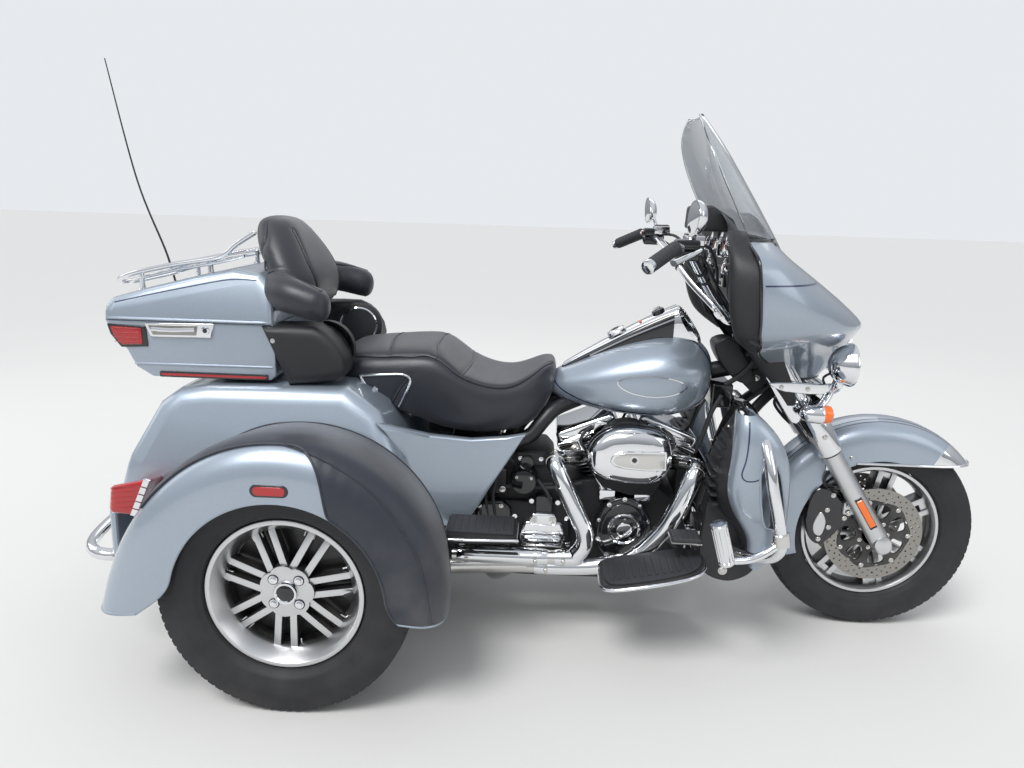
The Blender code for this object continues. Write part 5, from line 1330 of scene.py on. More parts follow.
def makeCase():
    h = case["half"]
    tub = newPiece("luggageCase")
    outer = [(-1.165, 0.946), (-1.15, 0.915), (-1.108, 0.862), (-1.085, 0.815), (-1.04, 0.788),
             (-0.705, 0.788), (-0.69, 0.803), (-0.69, 0.946)]
    inner = [(-1.159, 0.966), (-1.144, 0.918), (-1.103, 0.865), (-1.081, 0.82), (-1.037, 0.793),
             (-0.707, 0.793), (-0.695, 0.806), (-0.695, 0.966)]
    solid = softEdges(sheetCut(outer, -h, h, 0), 0.007, 3, 15)
    solid = carved(solid, block((-1.3, -0.5, 0.9458), (-0.5, 0.5, 1.1), 0))
    solid = carved(solid, sheetCut(inner, -h + 0.005, h - 0.005, 0))
    add(tub, "paint", solid)
    for s in (-1, 1):
        # step above the lower band, and the bead under the lid
        add(tub, "paint", pipe([(-1.086, s * h, 0.824), (-0.9, s * (h + 0.001), 0.825), (-0.7, s * h, 0.826)],
                               0.003, 8, 0.05))
        add(tub, "gloss", block((-1.018, s * (h + 0.001) - 0.004, 0.7885),
                                (-0.713, s * (h + 0.001) + 0.004, 0.8045), 0.003, 3))
        add(tub, "redLens", block((-1.014, s * (h + 0.002) - 0.004, 0.7925),
                                  (-0.717, s * (h + 0.002) + 0.004, 0.8005), 0.003, 3))
        # wrap-round lamp in a dark frame
        for look, shrink, lift in (("gloss", 1, 0.004), ("redLens", 0.78, 0.009)):
            line = [(-1.158, 0.934), (-1.15, 0.905), (-1.122, 0.868), (-1.045, 0.872), (-1.048, 0.93)]
            cx, cz = -1.104, 0.905
            line = [(cx + (x - cx) * shrink, cz + (z - cz) * shrink) for x, z in line]
            y0, y1 = sorted((s * (h - 0.02), s * (h + lift)))
            add(tub, look, softEdges(sheetCut(line, y0, y1, 0), 0.005, 3, 30))
        for k in range(4):
            z = 0.886 + 0.0125 * k
            y = s * (h + 0.0095)
            add(tub, "redLens", pipe([(-1.136, y, z), (-1.066, y, z)], 0.001, 6, 0))
    # rear face of the lamp and a blank panel between
    for s in (-1, 1):
        frameBox = block((-0.006, -0.075, -0.03), (0.006, 0.075, 0.03), 0.005, 3)
        lens = block((-0.01, -0.064, -0.021), (0.002, 0.064, 0.021), 0.004, 3)
        turn = Matrix.Translation((-1.134, s * 0.205, 0.892)) @ Matrix.Rotation(math.radians(-38), 4, 'Y')
        add(tub, "gloss", moved(frameBox, turn))
        add(tub, "redLens", moved(lens, turn))
    middle = block((-0.004, -0.115, -0.024), (0.005, 0.115, 0.024), 0.004, 3)
    add(tub, "chrome",
        moved(middle, Matrix.Translation((-1.133, 0, 0.892)) @ Matrix.Rotation(math.radians(-38), 4, 'Y')))
    add(tub, "satin", block((-0.9, -0.15, 0.757), (-0.72, 0.15, 0.79), 0.006))
    add(tub, "softRubber",
        pipe([(-1.16, -h + 0.003, 0.943), (-1.16, h - 0.003, 0.943), (-0.694, h - 0.003, 0.943),
              (-0.694, -h + 0.003, 0.943)], 0.0022, 8, 0, closed=True))
    # one catch on the right, with its key
    for s in (-1,):
        frameLine = [(-1.052, 0.94), (-0.856, 0.944), (-0.866, 0.903), (-1.036, 0.901)]
        y = s * h
        add(tub, "chrome", softEdges(sheetCut(frameLine, y - 0.007, y + 0.003, 0), 0.004, 3, 30))
        inside = [(-1.04, 0.934), (-0.9, 0.937), (-0.906, 0.909), (-1.028, 0.907)]
        add(tub, "steel", softEdges(sheetCut(inside, y - 0.0085, y, 0), 0.003, 2, 30))
        add(tub, "chrome",
            pipe([(-1.028, y - 0.01, 0.924), (-0.968, y - 0.014, 0.923), (-0.908, y - 0.01, 0.926)], 0.0062,
                 10, 0.012))
        add(tub, "chrome", rod((-0.88, y - 0.004, 0.924), (-0.88, y - 0.0115, 0.924), 0.0115, sides=28,
                               round=0.0015))
        add(tub, "gloss", rod((-0.88, y - 0.011, 0.924), (-0.88, y - 0.012, 0.924), 0.0065, sides=24,
                              round=0.0003))
    place(tub, "chassis", "paint", "luggage_case", sharp=30)

    lid = newPiece("caseLid")
    solid = carved(lidShape(), block((-1.3, -0.45, 0.8), (-0.6, 0.45, 0.9463), 0))
    probe = treeOf(lidShape())
    solid = carved(solid, lidShape(0.006, 3))
    add(lid, "paint", solid)
    for s in (-1, 1):
        y = s * (h + 0.0042)
        add(lid, "paint",
            pipe([(-1.165, s * (h - 0.02), 0.9505), (-1.15, s * (h - 0.002), 0.9505), (-1.12, y, 0.9505),
                  (-0.9, y, 0.9505), (-0.72, y, 0.9505), (-0.7, s * (h - 0.004), 0.9505)], 0.0038, 8, 0.02))
        crease = [(-1.135, 0.992), (-1.045, 1.014), (-0.93, 1.04), (-0.82, 1.062), (-0.745, 1.062)]
        add(lid, "stripe", ribbonOn(probe, crease, 0.0032, s, 0.012, 0.0005))
    add(lid, "paint", pipe([(-1.1665, -h + 0.02, 0.9505), (-1.168, 0, 0.9505), (-1.1665, h - 0.02, 0.9505)],
                           0.0036, 8, 0.05))
    # hinges on the left
    for x in (-1.04, -0.8):
        add(lid, "dullChrome", block((x - 0.03, h + 0.0035, 0.948), (x + 0.03, h + 0.0065, 0.985), 0.001, 1))
        for dx in (-0.018, 0.018):
            add(lid, "bolt", bolt((x + dx, h + 0.0062, 0.97), (0, 1, 0), 0.004, 0.003))
        add(lid, "dullChrome", rod((x - 0.03, h + 0.008, 0.946), (x + 0.03, h + 0.008, 0.946), 0.004, sides=14))
    place(lid, "case_lid", "paint", "case_lid", sharp=30)

    rack = newPiece("luggageRack")
    r = case["rack"]
    line = [(-0.762, -r, 1.188), (-0.812, -r, 1.156), (-0.864, -r, 1.119), (-1, -r, 1.092),
            (-1.135, -r + 0.01, 1.058), (-1.186, -r + 0.07, 1.03), (-1.194, 0, 1.026)]
    whole = line + [(x, -y, z) for x, y, z in line[-2::-1]]
    add(rack, "chrome", pipe(whole, 0.0072, 16, 0.015))
    lower = [(-0.8, -r + 0.02, 1.122), (-0.87, -r + 0.02, 1.103), (-1, -r + 0.02, 1.076),
             (-1.12, -r + 0.03, 1.044), (-1.155, -r + 0.08, 1.03), (-1.16, 0, 1.028)]
    add(rack, "chrome", pipe(lower + [(x, -y, z) for x, y, z in lower[-2::-1]], 0.0048, 12, 0.015))
    for x, z in ((-0.9, 1.112), (-0.95, 1.102), (-1, 1.092), (-1.05, 1.08), (-1.1, 1.068)):
        width = 0.014 if x in (-0.9, -1, -1.1) else 0.006
        slat = block((x - width, -r + 0.002, z - 0.0045), (x + width, r - 0.002, z + 0.003), 0.0022, 2)
        for v in slat.verts:
            v.co.z += (v.co.x - x) * 0.21
        add(rack, "chrome", slat)
    for x, z in ((-0.9, 1.112), (-1.1, 1.068)):
        for s in (-1, 1):
            foot = 1.07 if x > -1 else 1.018
            add(rack, "chrome", rod((x, s * (r - 0.025), z), (x, s * (r - 0.025), foot - 0.006), 0.0065,
                                    0.0085, sides=16))
            add(rack, "chrome", lathe([(0, 0.006), (0.01, 0.0055), (0.015, 0.001), (0.015, -0.004)],
                                      (x, s * (r - 0.025), foot - 0.003), (-0.25 if x > -1 else -0.3, 0, 1),
                                      24))
    for s in (-1, 1):
        add(rack, "chrome", ball((-0.762, s * r, 1.1882), (0.0072, 0.0072, 0.0072), 16))
    place(rack, "case_lid", "chrome", "luggage_rack")

    for s, side in ((-1, "right"), (1, "left")):
        pod = newPiece("speakerPod" + side.title())
        line = [(-0.727, 0.943), (-0.64, 0.946), (-0.58, 0.945), (-0.548, 0.931), (-0.52, 0.904),
                (-0.501, 0.871), (-0.493, 0.838), (-0.499, 0.812), (-0.52, 0.798), (-0.56, 0.79),
                (-0.655, 0.779)]
        bm = sheetCut(line, 0.182, h + 0.022, 0.034, 7)
        add(pod, "plastic", sided(bm, s))
        # speaker in the inner face, towards the rider
        turn = (0.1, -s, 0.06)
        spot = Vector((-0.566, s * 0.1835, 0.872))
        add(pod, "plastic", lathe([(0.078, -0.02), (0.076, 0.004), (0.066, 0.009), (0, 0.01)], spot, turn, 48))
        add(pod, "chrome",
            lathe([(0.06, 0.008), (0.0625, 0.014), (0.059, 0.0165), (0.0555, 0.014), (0.0555, 0.008)], spot,
                  turn, 56, closed=True))
        add(pod, "cloth", lathe([(0.056, 0.0125), (0.035, 0.0145), (0, 0.0155)], spot, turn, 40))
        head = bolt((-0.69, h + 0.0205, 0.905), (0, 1, 0), 0.0048, 0.003)
        add(pod, "bolt", sided(head, s))
        place(pod, "chassis", "black_plastic", "speaker_pod_" + side, sharp=40)

    aerial = newPiece("aerial")
    y = h - 0.008
    add(aerial, "gloss",
        pipe([(-1.2, y, 0.895), (-1.21, y, 0.92), (-1.245, y, 1.074), (-1.33, y, 1.32), (-1.4065, y, 1.7)],
             lambda t: 0.0042 - 0.0024 * t, 10, 0.03))
    add(aerial, "softRubber", pipe([(-1.199, y, 0.892), (-1.206, y, 0.915), (-1.214, y, 0.955)],
                                   lambda t: 0.0095 - 0.004 * t, 14, 0.01))
    add(aerial, "satin", block((-1.215, y - 0.02, 0.885), (-1.125, y + 0.02, 0.899), 0.004, 3))
    add(aerial, "bolt", bolt((-1.15, y, 0.899), (0, 0, 1), 0.006, 0.004))
    add(aerial, "gloss", ball((-1.4066, y, 1.699), (0.0017, 0.0017, 0.0017), 8))
    place(aerial, "chassis", "black_steel", "aerial")


makeCase()
print("case made")


# seat and backrest: foam under a tight cover -----
def fused(bm, voxel, rounds=6):
    # several bodies made one smooth skin
    mesh = bpy.data.meshes.new("fuse")
    bm.to_mesh(mesh)
    bm.free()
    ob = newObject("fuse", mesh)
    mod = ob.modifiers.new("voxel", 'REMESH')
    mod.mode = 'VOXEL'
    mod.voxel_size = voxel
    mod = ob.modifiers.new("smooth", 'SMOOTH')
    mod.factor = 0.5
    mod.iterations = rounds
    out = bmesh.new()
    out.from_object(ob, bpy.context.evaluated_depsgraph_get())
    bpy.data.objects.remove(ob, do_unlink=True)
    return out


def sewn(bm, lines, deep=0.004, wide=0.012):
    # the surface sinks along seams given as 3-D points
    from mathutils.kdtree import KDTree
    points = [p for line in lines for p in smoothLine(line, 0.006)]
    tree = KDTree(len(points))
    for i, p in enumerate(points):
        tree.insert(p, i)
    tree.balance()
    bm.normal_update()
    moves = []
    for v in bm.verts:
        distance = tree.find(v.co)[2]
        if distance < wide * 2:
            moves.append((v, v.normal * deep * math.exp(-(distance / wide) ** 2 * 2)))
    for v, move in moves:
        v.co -= move
    return bm


def onSurface(tree, points, step=0.01, lift=0):
    out = []
    for p in smoothLine(points, step):
        hit = tree.find_nearest(p)
        out.append(hit[0] + hit[1] * lift)
    return out


def seamLine(tree, points, lift, step=0.01):
    # a seam on a surface, evened out so that it doesn't follow the grain of the mesh
    line = onSurface(tree, points, step, lift)
    for _ in range(6):
        line = line[:1] + [(a + b * 2 + c) / 4 for a, b, c in zip(line, line[1:], line[2:])] + line[-1:]
    return line


cushion = {"fine": 0.0065, "seam": 0.0036}


def makeBackrest():
    rows = []
    for z, back, front, half in ((0.952, -0.715, -0.632, 0.196), (1.01, -0.735, -0.612, 0.226),
                                 (1.065, -0.757, -0.612, 0.236), (1.13, -0.795, -0.645, 0.198),
                                 (1.195, -0.815, -0.685, 0.135), (1.232, -0.8, -0.722, 0.075)):
        mid = (back + front) / 2
        rows.append([Vector(p) for p in ((back, 0, z), (back, half * 0.7, z), (mid, half, z),
                                         (front, half * 0.75, z), (front + 0.012, 0, z),
                                         (front, -half * 0.75, z), (mid, -half, z), (back, -half * 0.7, z))])
    pad = smoothed(gridMesh(rows, closeRound=True, capEnds=True), 3)
    for s in (-1, 1):
        arm = pipe([(-0.7, s * 0.1, 1.03), (-0.7, s * 0.205, 1.032), (-0.65, s * 0.266, 1.024),
                    (-0.568, s * 0.282, 1.002)], lambda t: 0.058 - 0.012 * t, 20, 0.015)
        mergeInto(pad, arm, ball((-0.566, s * 0.283, 1.0015), (0.03, 0.04, 0.047), 24))
    pad = fused(pad, cushion["fine"], 8)
    seams = [[(-0.6, s * 0.105, 0.968), (-0.592, s * 0.13, 1.04), (-0.625, s * 0.132, 1.115),
              (-0.69, s * 0.085, 1.195)] for s in (-1, 1)]
    seams += [[(-0.735, s * 0.128, 1.09), (-0.745, s * 0.125, 1.145), (-0.768, s * 0.085, 1.206)]
              for s in (-1, 1)]
    seams += [[(-0.79, s * 0.19, 1.09), (-0.73, s * 0.205, 1.09), (-0.68, s * 0.2, 1.082),
               (-0.62, s * 0.262, 1.056), (-0.56, s * 0.29, 1.04)] for s in (-1, 1)]
    tree = treeOf(pad)
    routes = [onSurface(tree, line) for line in seams]
    pad = sewn(pad, routes, cushion["seam"], 0.01)
    tree = treeOf(pad)
    piece = newPiece("backrest")
    add(piece, "vinyl", pad)
    piping = newPiece("backrestPiping")
    for route in seams:
        add(piping, "vinyl", pipe(seamLine(tree, route, 0.0014), 0.0026, 8, 0))
        add(piping, "thread",
            stitchesOn([p + Vector((0, 0.006 if p.y < 0 else -0.006, 0)) for p in seamLine(tree, route,
            0.0016)], 0.004, 0.0035, 0.0006))
    ob = place(piece, "case_lid", "vinyl", "backrest", sharp=60)
    place(piping, "case_lid", "vinyl")


def makeSeat():
    rows = []
    for x, half, top, low, crown in ((-0.556, 0.165, 0.852, 0.762, 0.03), (-0.5, 0.188, 0.868, 0.722, 0.036),
                                     (-0.42, 0.202, 0.876, 0.694, 0.04), (-0.3, 0.21, 0.886, 0.652, 0.04),
                                     (-0.252, 0.214, 0.88, 0.634, 0.036), (-0.2, 0.217, 0.83, 0.626, 0.02),
                                     (-0.15, 0.214, 0.792, 0.62, 0.01), (-0.06, 0.196, 0.77, 0.62, 0.006),
                                     (0.01, 0.168, 0.798, 0.634, 0.01), (0.055, 0.126, 0.83, 0.678, 0.015),
                                     (0.092, 0.074, 0.833, 0.738, 0.015)):
        side = [(0, top), (half * 0.5, top - crown * 0.15), (half * 0.84, top - crown * 0.55),
                (half * 0.99, top - crown - 0.016), (half, (top + low) / 2), (half * 0.93, low + 0.02),
                (half * 0.82, low)]
        rows.append(mirrorRow(x, side))
    pad = smoothed(gridMesh(rows, closeRound=True, capEnds=True), 3)
    pad = fused(pad, cushion["fine"], 5)
    seams = []
    for s in (-1, 1):
        seams.append([(-0.54, s * 0.15, 0.842), (-0.42, s * 0.182, 0.86), (-0.29, s * 0.19, 0.868),
                      (-0.235, s * 0.192, 0.85), (-0.18, s * 0.196, 0.8), (-0.06, s * 0.172, 0.768),
                      (0.01, s * 0.132, 0.792), (0.075, s * 0.062, 0.822)])
        seams.append([(-0.33, s * 0.208, 0.8), (-0.372, s * 0.206, 0.745), (-0.392, s * 0.2, 0.7)])
    seams.append([(-0.25, -0.195, 0.868), (-0.262, -0.08, 0.884), (-0.262, 0.08, 0.884), (-0.25, 0.195, 0.868)])
    seams.append([(-0.185, -0.19, 0.8), (-0.172, 0, 0.8), (-0.185, 0.19, 0.8)])
    seams.append([(-0.4, -0.185, 0.866), (-0.41, 0, 0.88), (-0.4, 0.185, 0.866)])
    tree = treeOf(pad)
    routes = [onSurface(tree, line) for line in seams]
    pad = sewn(pad, routes, cushion["seam"], 0.011)
    tree = treeOf(pad)
    piece = newPiece("seat")
    add(piece, "vinyl", pad)
    piping = newPiece("seatPiping")
    for k, line in enumerate(seams):
        add(piping, "vinyl", pipe(seamLine(tree, line, 0.0014), 0.0028, 8, 0))
    for k in (0, 2):
        for s in (-0.006, 0.006):
            add(piping, "thread", stitchesOn([p + Vector((0, s, 0)) for p in seamLine(tree, seams[k], 0.0016)],
                0.004, 0.0035, 0.0006))
    ob = place(piece, "chassis", "vinyl", "seat", sharp=60)
    # bright trim along the rear half of the seat's side
    for s in (-1, 1):
        for trim in ([(-0.488, 0.787), (-0.42, 0.797), (-0.35, 0.803), (-0.328, 0.79), (-0.345, 0.745),
                      (-0.374, 0.685)], [(-0.486, 0.782), (-0.462, 0.735), (-0.435, 0.69)]):
            add(piping, "chrome", pipe(seamLine(tree, [(x, s * 0.22, z) for x, z in trim], 0.0016), 0.0038, 10,
                                       0))
        screw = onSurface(tree, [(-0.44, s * 0.22, 0.745), (-0.43, s * 0.22, 0.745)], 0.02, 0)[0]
        add(piping, "chrome", bolt(screw, (0, s, 0), 0.006, 0.004))
    place(piping, "chassis", "vinyl")
    under = newPiece("seatPan")
    add(under, "satin", block((-0.29, -0.11, 0.605), (-0.215, 0.11, 0.65), 0.006))
    place(under, "chassis", "black_steel")


makeBackrest()
makeSeat()
print("seat and backrest made")


# fuel tank and console -----
def ringRow(x, half, top, low, crown, keel=0.6):
    side = [(0, top), (half * 0.55, top - crown * 0.25), (half * 0.92, top - crown), (half, (top + low) / 2),
            (half * 0.9, low + 0.015), (half * keel, low)]
    return mirrorRow(x, side)


def makeTank():
    rows = [ringRow(*row) for row in ((0.06, 0.03, 0.764, 0.736, 0.01), (0.08, 0.07, 0.786, 0.714, 0.02),
                                      (0.14, 0.105, 0.82, 0.698, 0.034), (0.22, 0.139, 0.86, 0.686, 0.046),
                                      (0.31, 0.164, 0.896, 0.679, 0.056), (0.4, 0.179, 0.92, 0.677, 0.062),
                                      (0.48, 0.17, 0.92, 0.69, 0.062), (0.535, 0.13, 0.896, 0.718, 0.05),
                                      (0.562, 0.06, 0.85, 0.77, 0.03))]
    shape = smoothed(gridMesh(rows, closeRound=True, capEnds=True), 3)
    tree = treeOf(shape)
    shape = carved(shape, block((0, -0.032, 0.55), (0.62, 0.032, 0.735), 0.004))
    piece = newPiece("fuelTank")
    add(piece, "paint", shape)
    for s in (-1, 1):
        line = [(0.09, 0.806 - 0.012), (0.18, 0.842), (0.266, 0.876), (0.33, 0.898), (0.391, 0.912),
                (0.45, 0.914), (0.495, 0.902), (0.532, 0.862), (0.547, 0.82), (0.545, 0.776), (0.507, 0.727),
                (0.429, 0.697), (0.34, 0.694), (0.25, 0.701), (0.16, 0.722), (0.095, 0.756)]
        add(piece, "stripe", ribbonOn(tree, line, 0.004, s, 0.008, 0.0006, closed=True))
        badge = [(0.268, 0.786), (0.3, 0.805), (0.366, 0.814), (0.432, 0.805), (0.466, 0.786), (0.432, 0.762),
                 (0.366, 0.752), (0.3, 0.762)]
        ring = ribbonOn(tree, badge, 0.003, s, 0.008, 0.0012, closed=True)
        add(piece, "chrome", ring)
        # seam along the lower edge, petcock and mounts
        seam = []
        for x, z in ((0.11, 0.703), (0.22, 0.686), (0.34, 0.681), (0.44, 0.684), (0.5, 0.697)):
            hit = tree.ray_cast(Vector((x, s * 2, z + 0.006)), Vector((0, -s, 0)))
            if hit[0]:
                seam.append(hit[0])
        add(piece, "paint", pipe(seam, 0.0026, 8, 0.02))
        add(piece, "satin", block((0.47, s * 0.055 - 0.016, 0.7), (0.52, s * 0.055 + 0.016, 0.735), 0.004))
        add(piece, "bolt", bolt((0.496, s * 0.071, 0.717), (0, s, 0), 0.007, 0.006))
    add(piece, "dullChrome", rod((0.345, 0.095, 0.69), (0.345, 0.095, 0.66), 0.01, sides=18, round=0.002))
    add(piece, "softRubber",
        pipe([(0.345, 0.095, 0.662), (0.335, 0.11, 0.64), (0.32, 0.118, 0.61), (0.318, 0.108, 0.575)], 0.0045,
             8, 0.01))
    place(piece, "chassis", "paint", "fuel_tank", sharp=50)

    piece = newPiece("console")
    rows = [ringRow(*row, keel=0.9) for row in ((0.103, 0.018, 0.803, 0.772, 0.004),
        (0.13, 0.026, 0.822, 0.775, 0.006), (0.2, 0.036, 0.866, 0.8, 0.009), (0.32, 0.046, 0.938, 0.86, 0.011),
        (0.436, 0.055, 1, 0.88, 0.013), (0.456, 0.056, 1.003, 0.88, 0.013), (0.474, 0.054, 0.984, 0.88, 0.013),
        (0.505, 0.047, 0.94, 0.875, 0.013), (0.526, 0.036, 0.91, 0.87, 0.012))]
    bm = smoothed(gridMesh(rows, closeRound=True, capEnds=True), 2)
    tree = treeOf(bm)
    for look in ("gloss", "chrome"):
        piece["looks"].append(look)
    for face in bm.faces:
        face.material_index = int(face.calc_center_median().x > 0.432)
        face.smooth = True
    mergeInto(piece["bm"], bm)
    # polished top strip with a raised rim
    top = []
    for x, half in ((0.112, 0.014), (0.15, 0.022), (0.22, 0.029), (0.32, 0.036), (0.4, 0.042), (0.446, 0.044)):
        row = []
        for k in range(-4, 5):
            hit = tree.ray_cast(Vector((x, half * k / 4, 2)), Vector((0, 0, -1)))
            row.append(hit[0] + Vector((0, 0, 0.0018)))
        top.append(row)
    add(piece, "chrome", smoothed(gridMesh(top), 1, 0.003, 0))
    for s in (-1, 1):
        rim = [row[0 if s < 0 else -1] for row in top]
        add(piece, "chrome", pipe(rim, 0.0026, 8, 0.015))
        band = [(0.45, 0.99), (0.462, 0.96), (0.482, 0.93), (0.505, 0.905)]
        add(piece, "chrome", ribbonOn(tree, band, 0.01, s, 0.01, 0.0008))
        add(piece, "chrome", ribbonOn(tree, [(0.19, 0.842), (0.3, 0.902), (0.4, 0.95), (0.44, 0.968)], 0.004,
                                      s, 0.01, 0.0008))
    # filler cap, key switch and warning lamps
    slope = math.atan2(0.064, 0.118)
    up = Vector((-math.sin(slope), 0, math.cos(slope)))
    spot = Vector((0.27, 0, 0.912))
    add(piece, "chrome",
        lathe([(0.03, -0.002), (0.031, 0.004), (0.028, 0.008), (0.024, 0.0085), (0.02, 0.011), (0, 0.012)],
              spot, up, 40))
    add(piece, "satin", lathe([(0.012, 0.0115), (0.011, 0.0135), (0, 0.0138)], spot, up, 24))
    spot = Vector((0.392, 0, 0.978))
    add(piece, "gloss", lathe([(0.019, -0.002), (0.02, 0.006), (0.016, 0.009), (0, 0.009)], spot, up, 36))
    add(piece, "chrome", moved(block((-0.011, -0.003, 0.008), (0.011, 0.003, 0.017), 0.002, 2),
                               Matrix.Translation(spot) @ turnTo(up)))
    for k, look in enumerate(("redLens", "amberLens", "white")):
        spot = Vector((0.338, -0.018 + 0.018 * k, 0.948))
        add(piece, look, lathe([(0.0042, -0.001), (0.0038, 0.0022), (0, 0.003)], spot, up, 16))
    place(piece, "chassis", "chrome", "console", sharp=40)


makeTank()
print("tank made")

# engine, cylinders, air cleaner and exhaust -----
engine = {"x": 0.31, "z": 0.33, "lean": 22.5, "half": 0.11, "fins": 11, "low": 0.118, "high": 0.252,
          "finR": 0.072}


def makeEngine():
    piece = newPiece("engine")
    h = engine["half"]
    crank = [(0.515, 0.3), (0.5, 0.215), (0.44, 0.2), (0.2, 0.2), (0.1, 0.205), (-0.16, 0.215), (-0.195, 0.26),
             (-0.19, 0.4), (-0.12, 0.445), (0.08, 0.455), (0.18, 0.47), (0.3, 0.48), (0.41, 0.46), (0.485, 0.4)]
    add(piece, "wrinkle", softEdges(sheetCut(crank, -h, h, 0.01, 3), 0.008, 2, 25))
    base = Vector((engine["x"], 0, engine["z"]))
    # cam cover on the right with its ringed cap
    outline = []
    for k in range(48):
        a = 2 * math.pi * k / 48
        outline.append((engine["x"] + 0.086 * math.cos(a), engine["z"] + 0.113 * math.sin(a)
                        - (0.006 if math.sin(a) > 0.2 else 0)))
    add(piece, "gloss", sheetCut(outline, -h - 0.046, -h + 0.01, 0.012, 4))
    inner = [(engine["x"] + (x - engine["x"]) * 0.8, engine["z"] + (z - engine["z"]) * 0.82)
             for x, z in outline]
    add(piece, "gloss", sheetCut(inner, -h - 0.052, -h - 0.03, 0.006, 3))
    cap = base + Vector((0.0025, 0, 0.007))
    add(piece, "chrome",
        lathe([(0.05, h + 0.046), (0.0505, h + 0.057), (0.047, h + 0.061), (0.043, h + 0.061),
               (0.04, h + 0.058)], cap, (0, -1, 0), 56))
    add(piece, "gloss", lathe([(0.0405, h + 0.0575), (0.03, h + 0.06), (0, h + 0.0615)], cap, (0, -1, 0), 40))
    add(piece, "chrome", lathe([(0.024, h + 0.059), (0.023, h + 0.0645), (0.019, h + 0.0655), (0, h + 0.0655)],
                               cap, (0, -1, 0), 36))
    for k in range(5):
        a = 2 * math.pi * (k + 0.25) / 5
        add(piece, "bolt", bolt(cap + Vector((0.0335 * math.cos(a), -h - 0.059, 0.0335 * math.sin(a))),
                                (0, -1, 0), 0.0032, 0.003))
    for k in range(10):
        a = 2 * math.pi * (k + 0.5) / 10
        add(piece, "chrome", bolt(base + Vector((0.078 * math.cos(a), -h - 0.0455, 0.1 * math.sin(a))),
                                  (0, -1, 0), 0.005, 0.004))
    # tappet blocks and pushrod tubes up to the heads
    for lean in (-1, 1):
        low = Vector((engine["x"] + lean * 0.052, -0.126, 0.432))
        add(piece, "chrome", block(low - Vector((0.024, 0.016, 0.012)), low + Vector((0.024, 0.014, 0.02)),
                                   0.004, 3))
        for step in (-0.012, 0.012):
            a = low + Vector((step, 0, 0.016))
            tilt = math.radians(engine["lean"])
            u = Vector((math.sin(tilt) * lean, 0, math.cos(tilt)))
            top = a + u * 0.158 + Vector((lean * 0.016 + step * 0.3, 0.022, 0))
            add(piece, "chrome", rod(a, top, 0.0088, sides=18),
                lathe([(0.0088, 0), (0.0125, 0.002), (0.0125, 0.014), (0.0088, 0.018)], a, top - a, 20),
                lathe([(0.0088, 0.06), (0.0112, 0.062), (0.0112, 0.074), (0.0088, 0.076)], a, top - a, 20))
    # gearbox side: two-level bright cover, bolts and the sprocket cover
    add(piece, "wrinkle", block((-0.15, -h - 0.02, 0.245), (0.15, -h + 0.004, 0.4), 0.012, 3))
    add(piece, "chrome",
        softEdges(sheetCut([(0.002, 0.262), (0.132, 0.262), (0.136, 0.3), (0.122, 0.345), (0.012, 0.345),
                            (-0.002, 0.3)], -h - 0.046, -h, 0), 0.008, 3, 30))
    add(piece, "chrome",
        softEdges(sheetCut([(0.01, 0.266), (0.124, 0.266), (0.13, 0.284), (0.122, 0.3), (0.012, 0.3),
                            (0.004, 0.284)], -h - 0.054, -h - 0.03, 0), 0.006, 3, 30))
    add(piece, "chrome",
        softEdges(sheetCut([(0.026, 0.336), (0.108, 0.336), (0.11, 0.356), (0.1, 0.374), (0.034, 0.374),
                            (0.024, 0.356)], -h - 0.052, -h, 0), 0.006, 3, 30))
    for x in (0.04, 0.094):
        add(piece, "dullChrome", lathe([(0, 0), (0.01, 0), (0.01, 0.003), (0.007, 0.004), (0, 0.003)],
                                       (x, -h - 0.051, 0.356), (0, -1, 0), 24))
        add(piece, "bolt", bolt((x, -h - 0.053, 0.356), (0, -1, 0), 0.0055, 0.003))
    add(piece, "gloss", block((0.042, -h - 0.04, 0.372), (0.094, -h, 0.424), 0.006, 3))
    for x, z in ((0.03, 0.404), (0.11, 0.402), (0.14, 0.352), (0.146, 0.268), (-0.014, 0.268), (-0.02, 0.352)):
        add(piece, "chrome", lathe([(0, 0.01), (0.0075, 0.009), (0.0085, 0.004), (0.0085, 0)],
                                   (x, -h - 0.018, z), (0, -1, 0), 20))
    add(piece, "gloss",
        softEdges(sheetCut([(-0.15, 0.26), (-0.03, 0.252), (-0.03, 0.38), (-0.06, 0.405), (-0.14, 0.4)],
                           -h - 0.036, -h, 0), 0.012, 4, 30))
    for x, z in ((-0.135, 0.275), (-0.044, 0.268), (-0.062, 0.388), (-0.128, 0.385)):
        add(piece, "bolt", bolt((x, -h - 0.0355, z), (0, -1, 0), 0.005, 0.004))
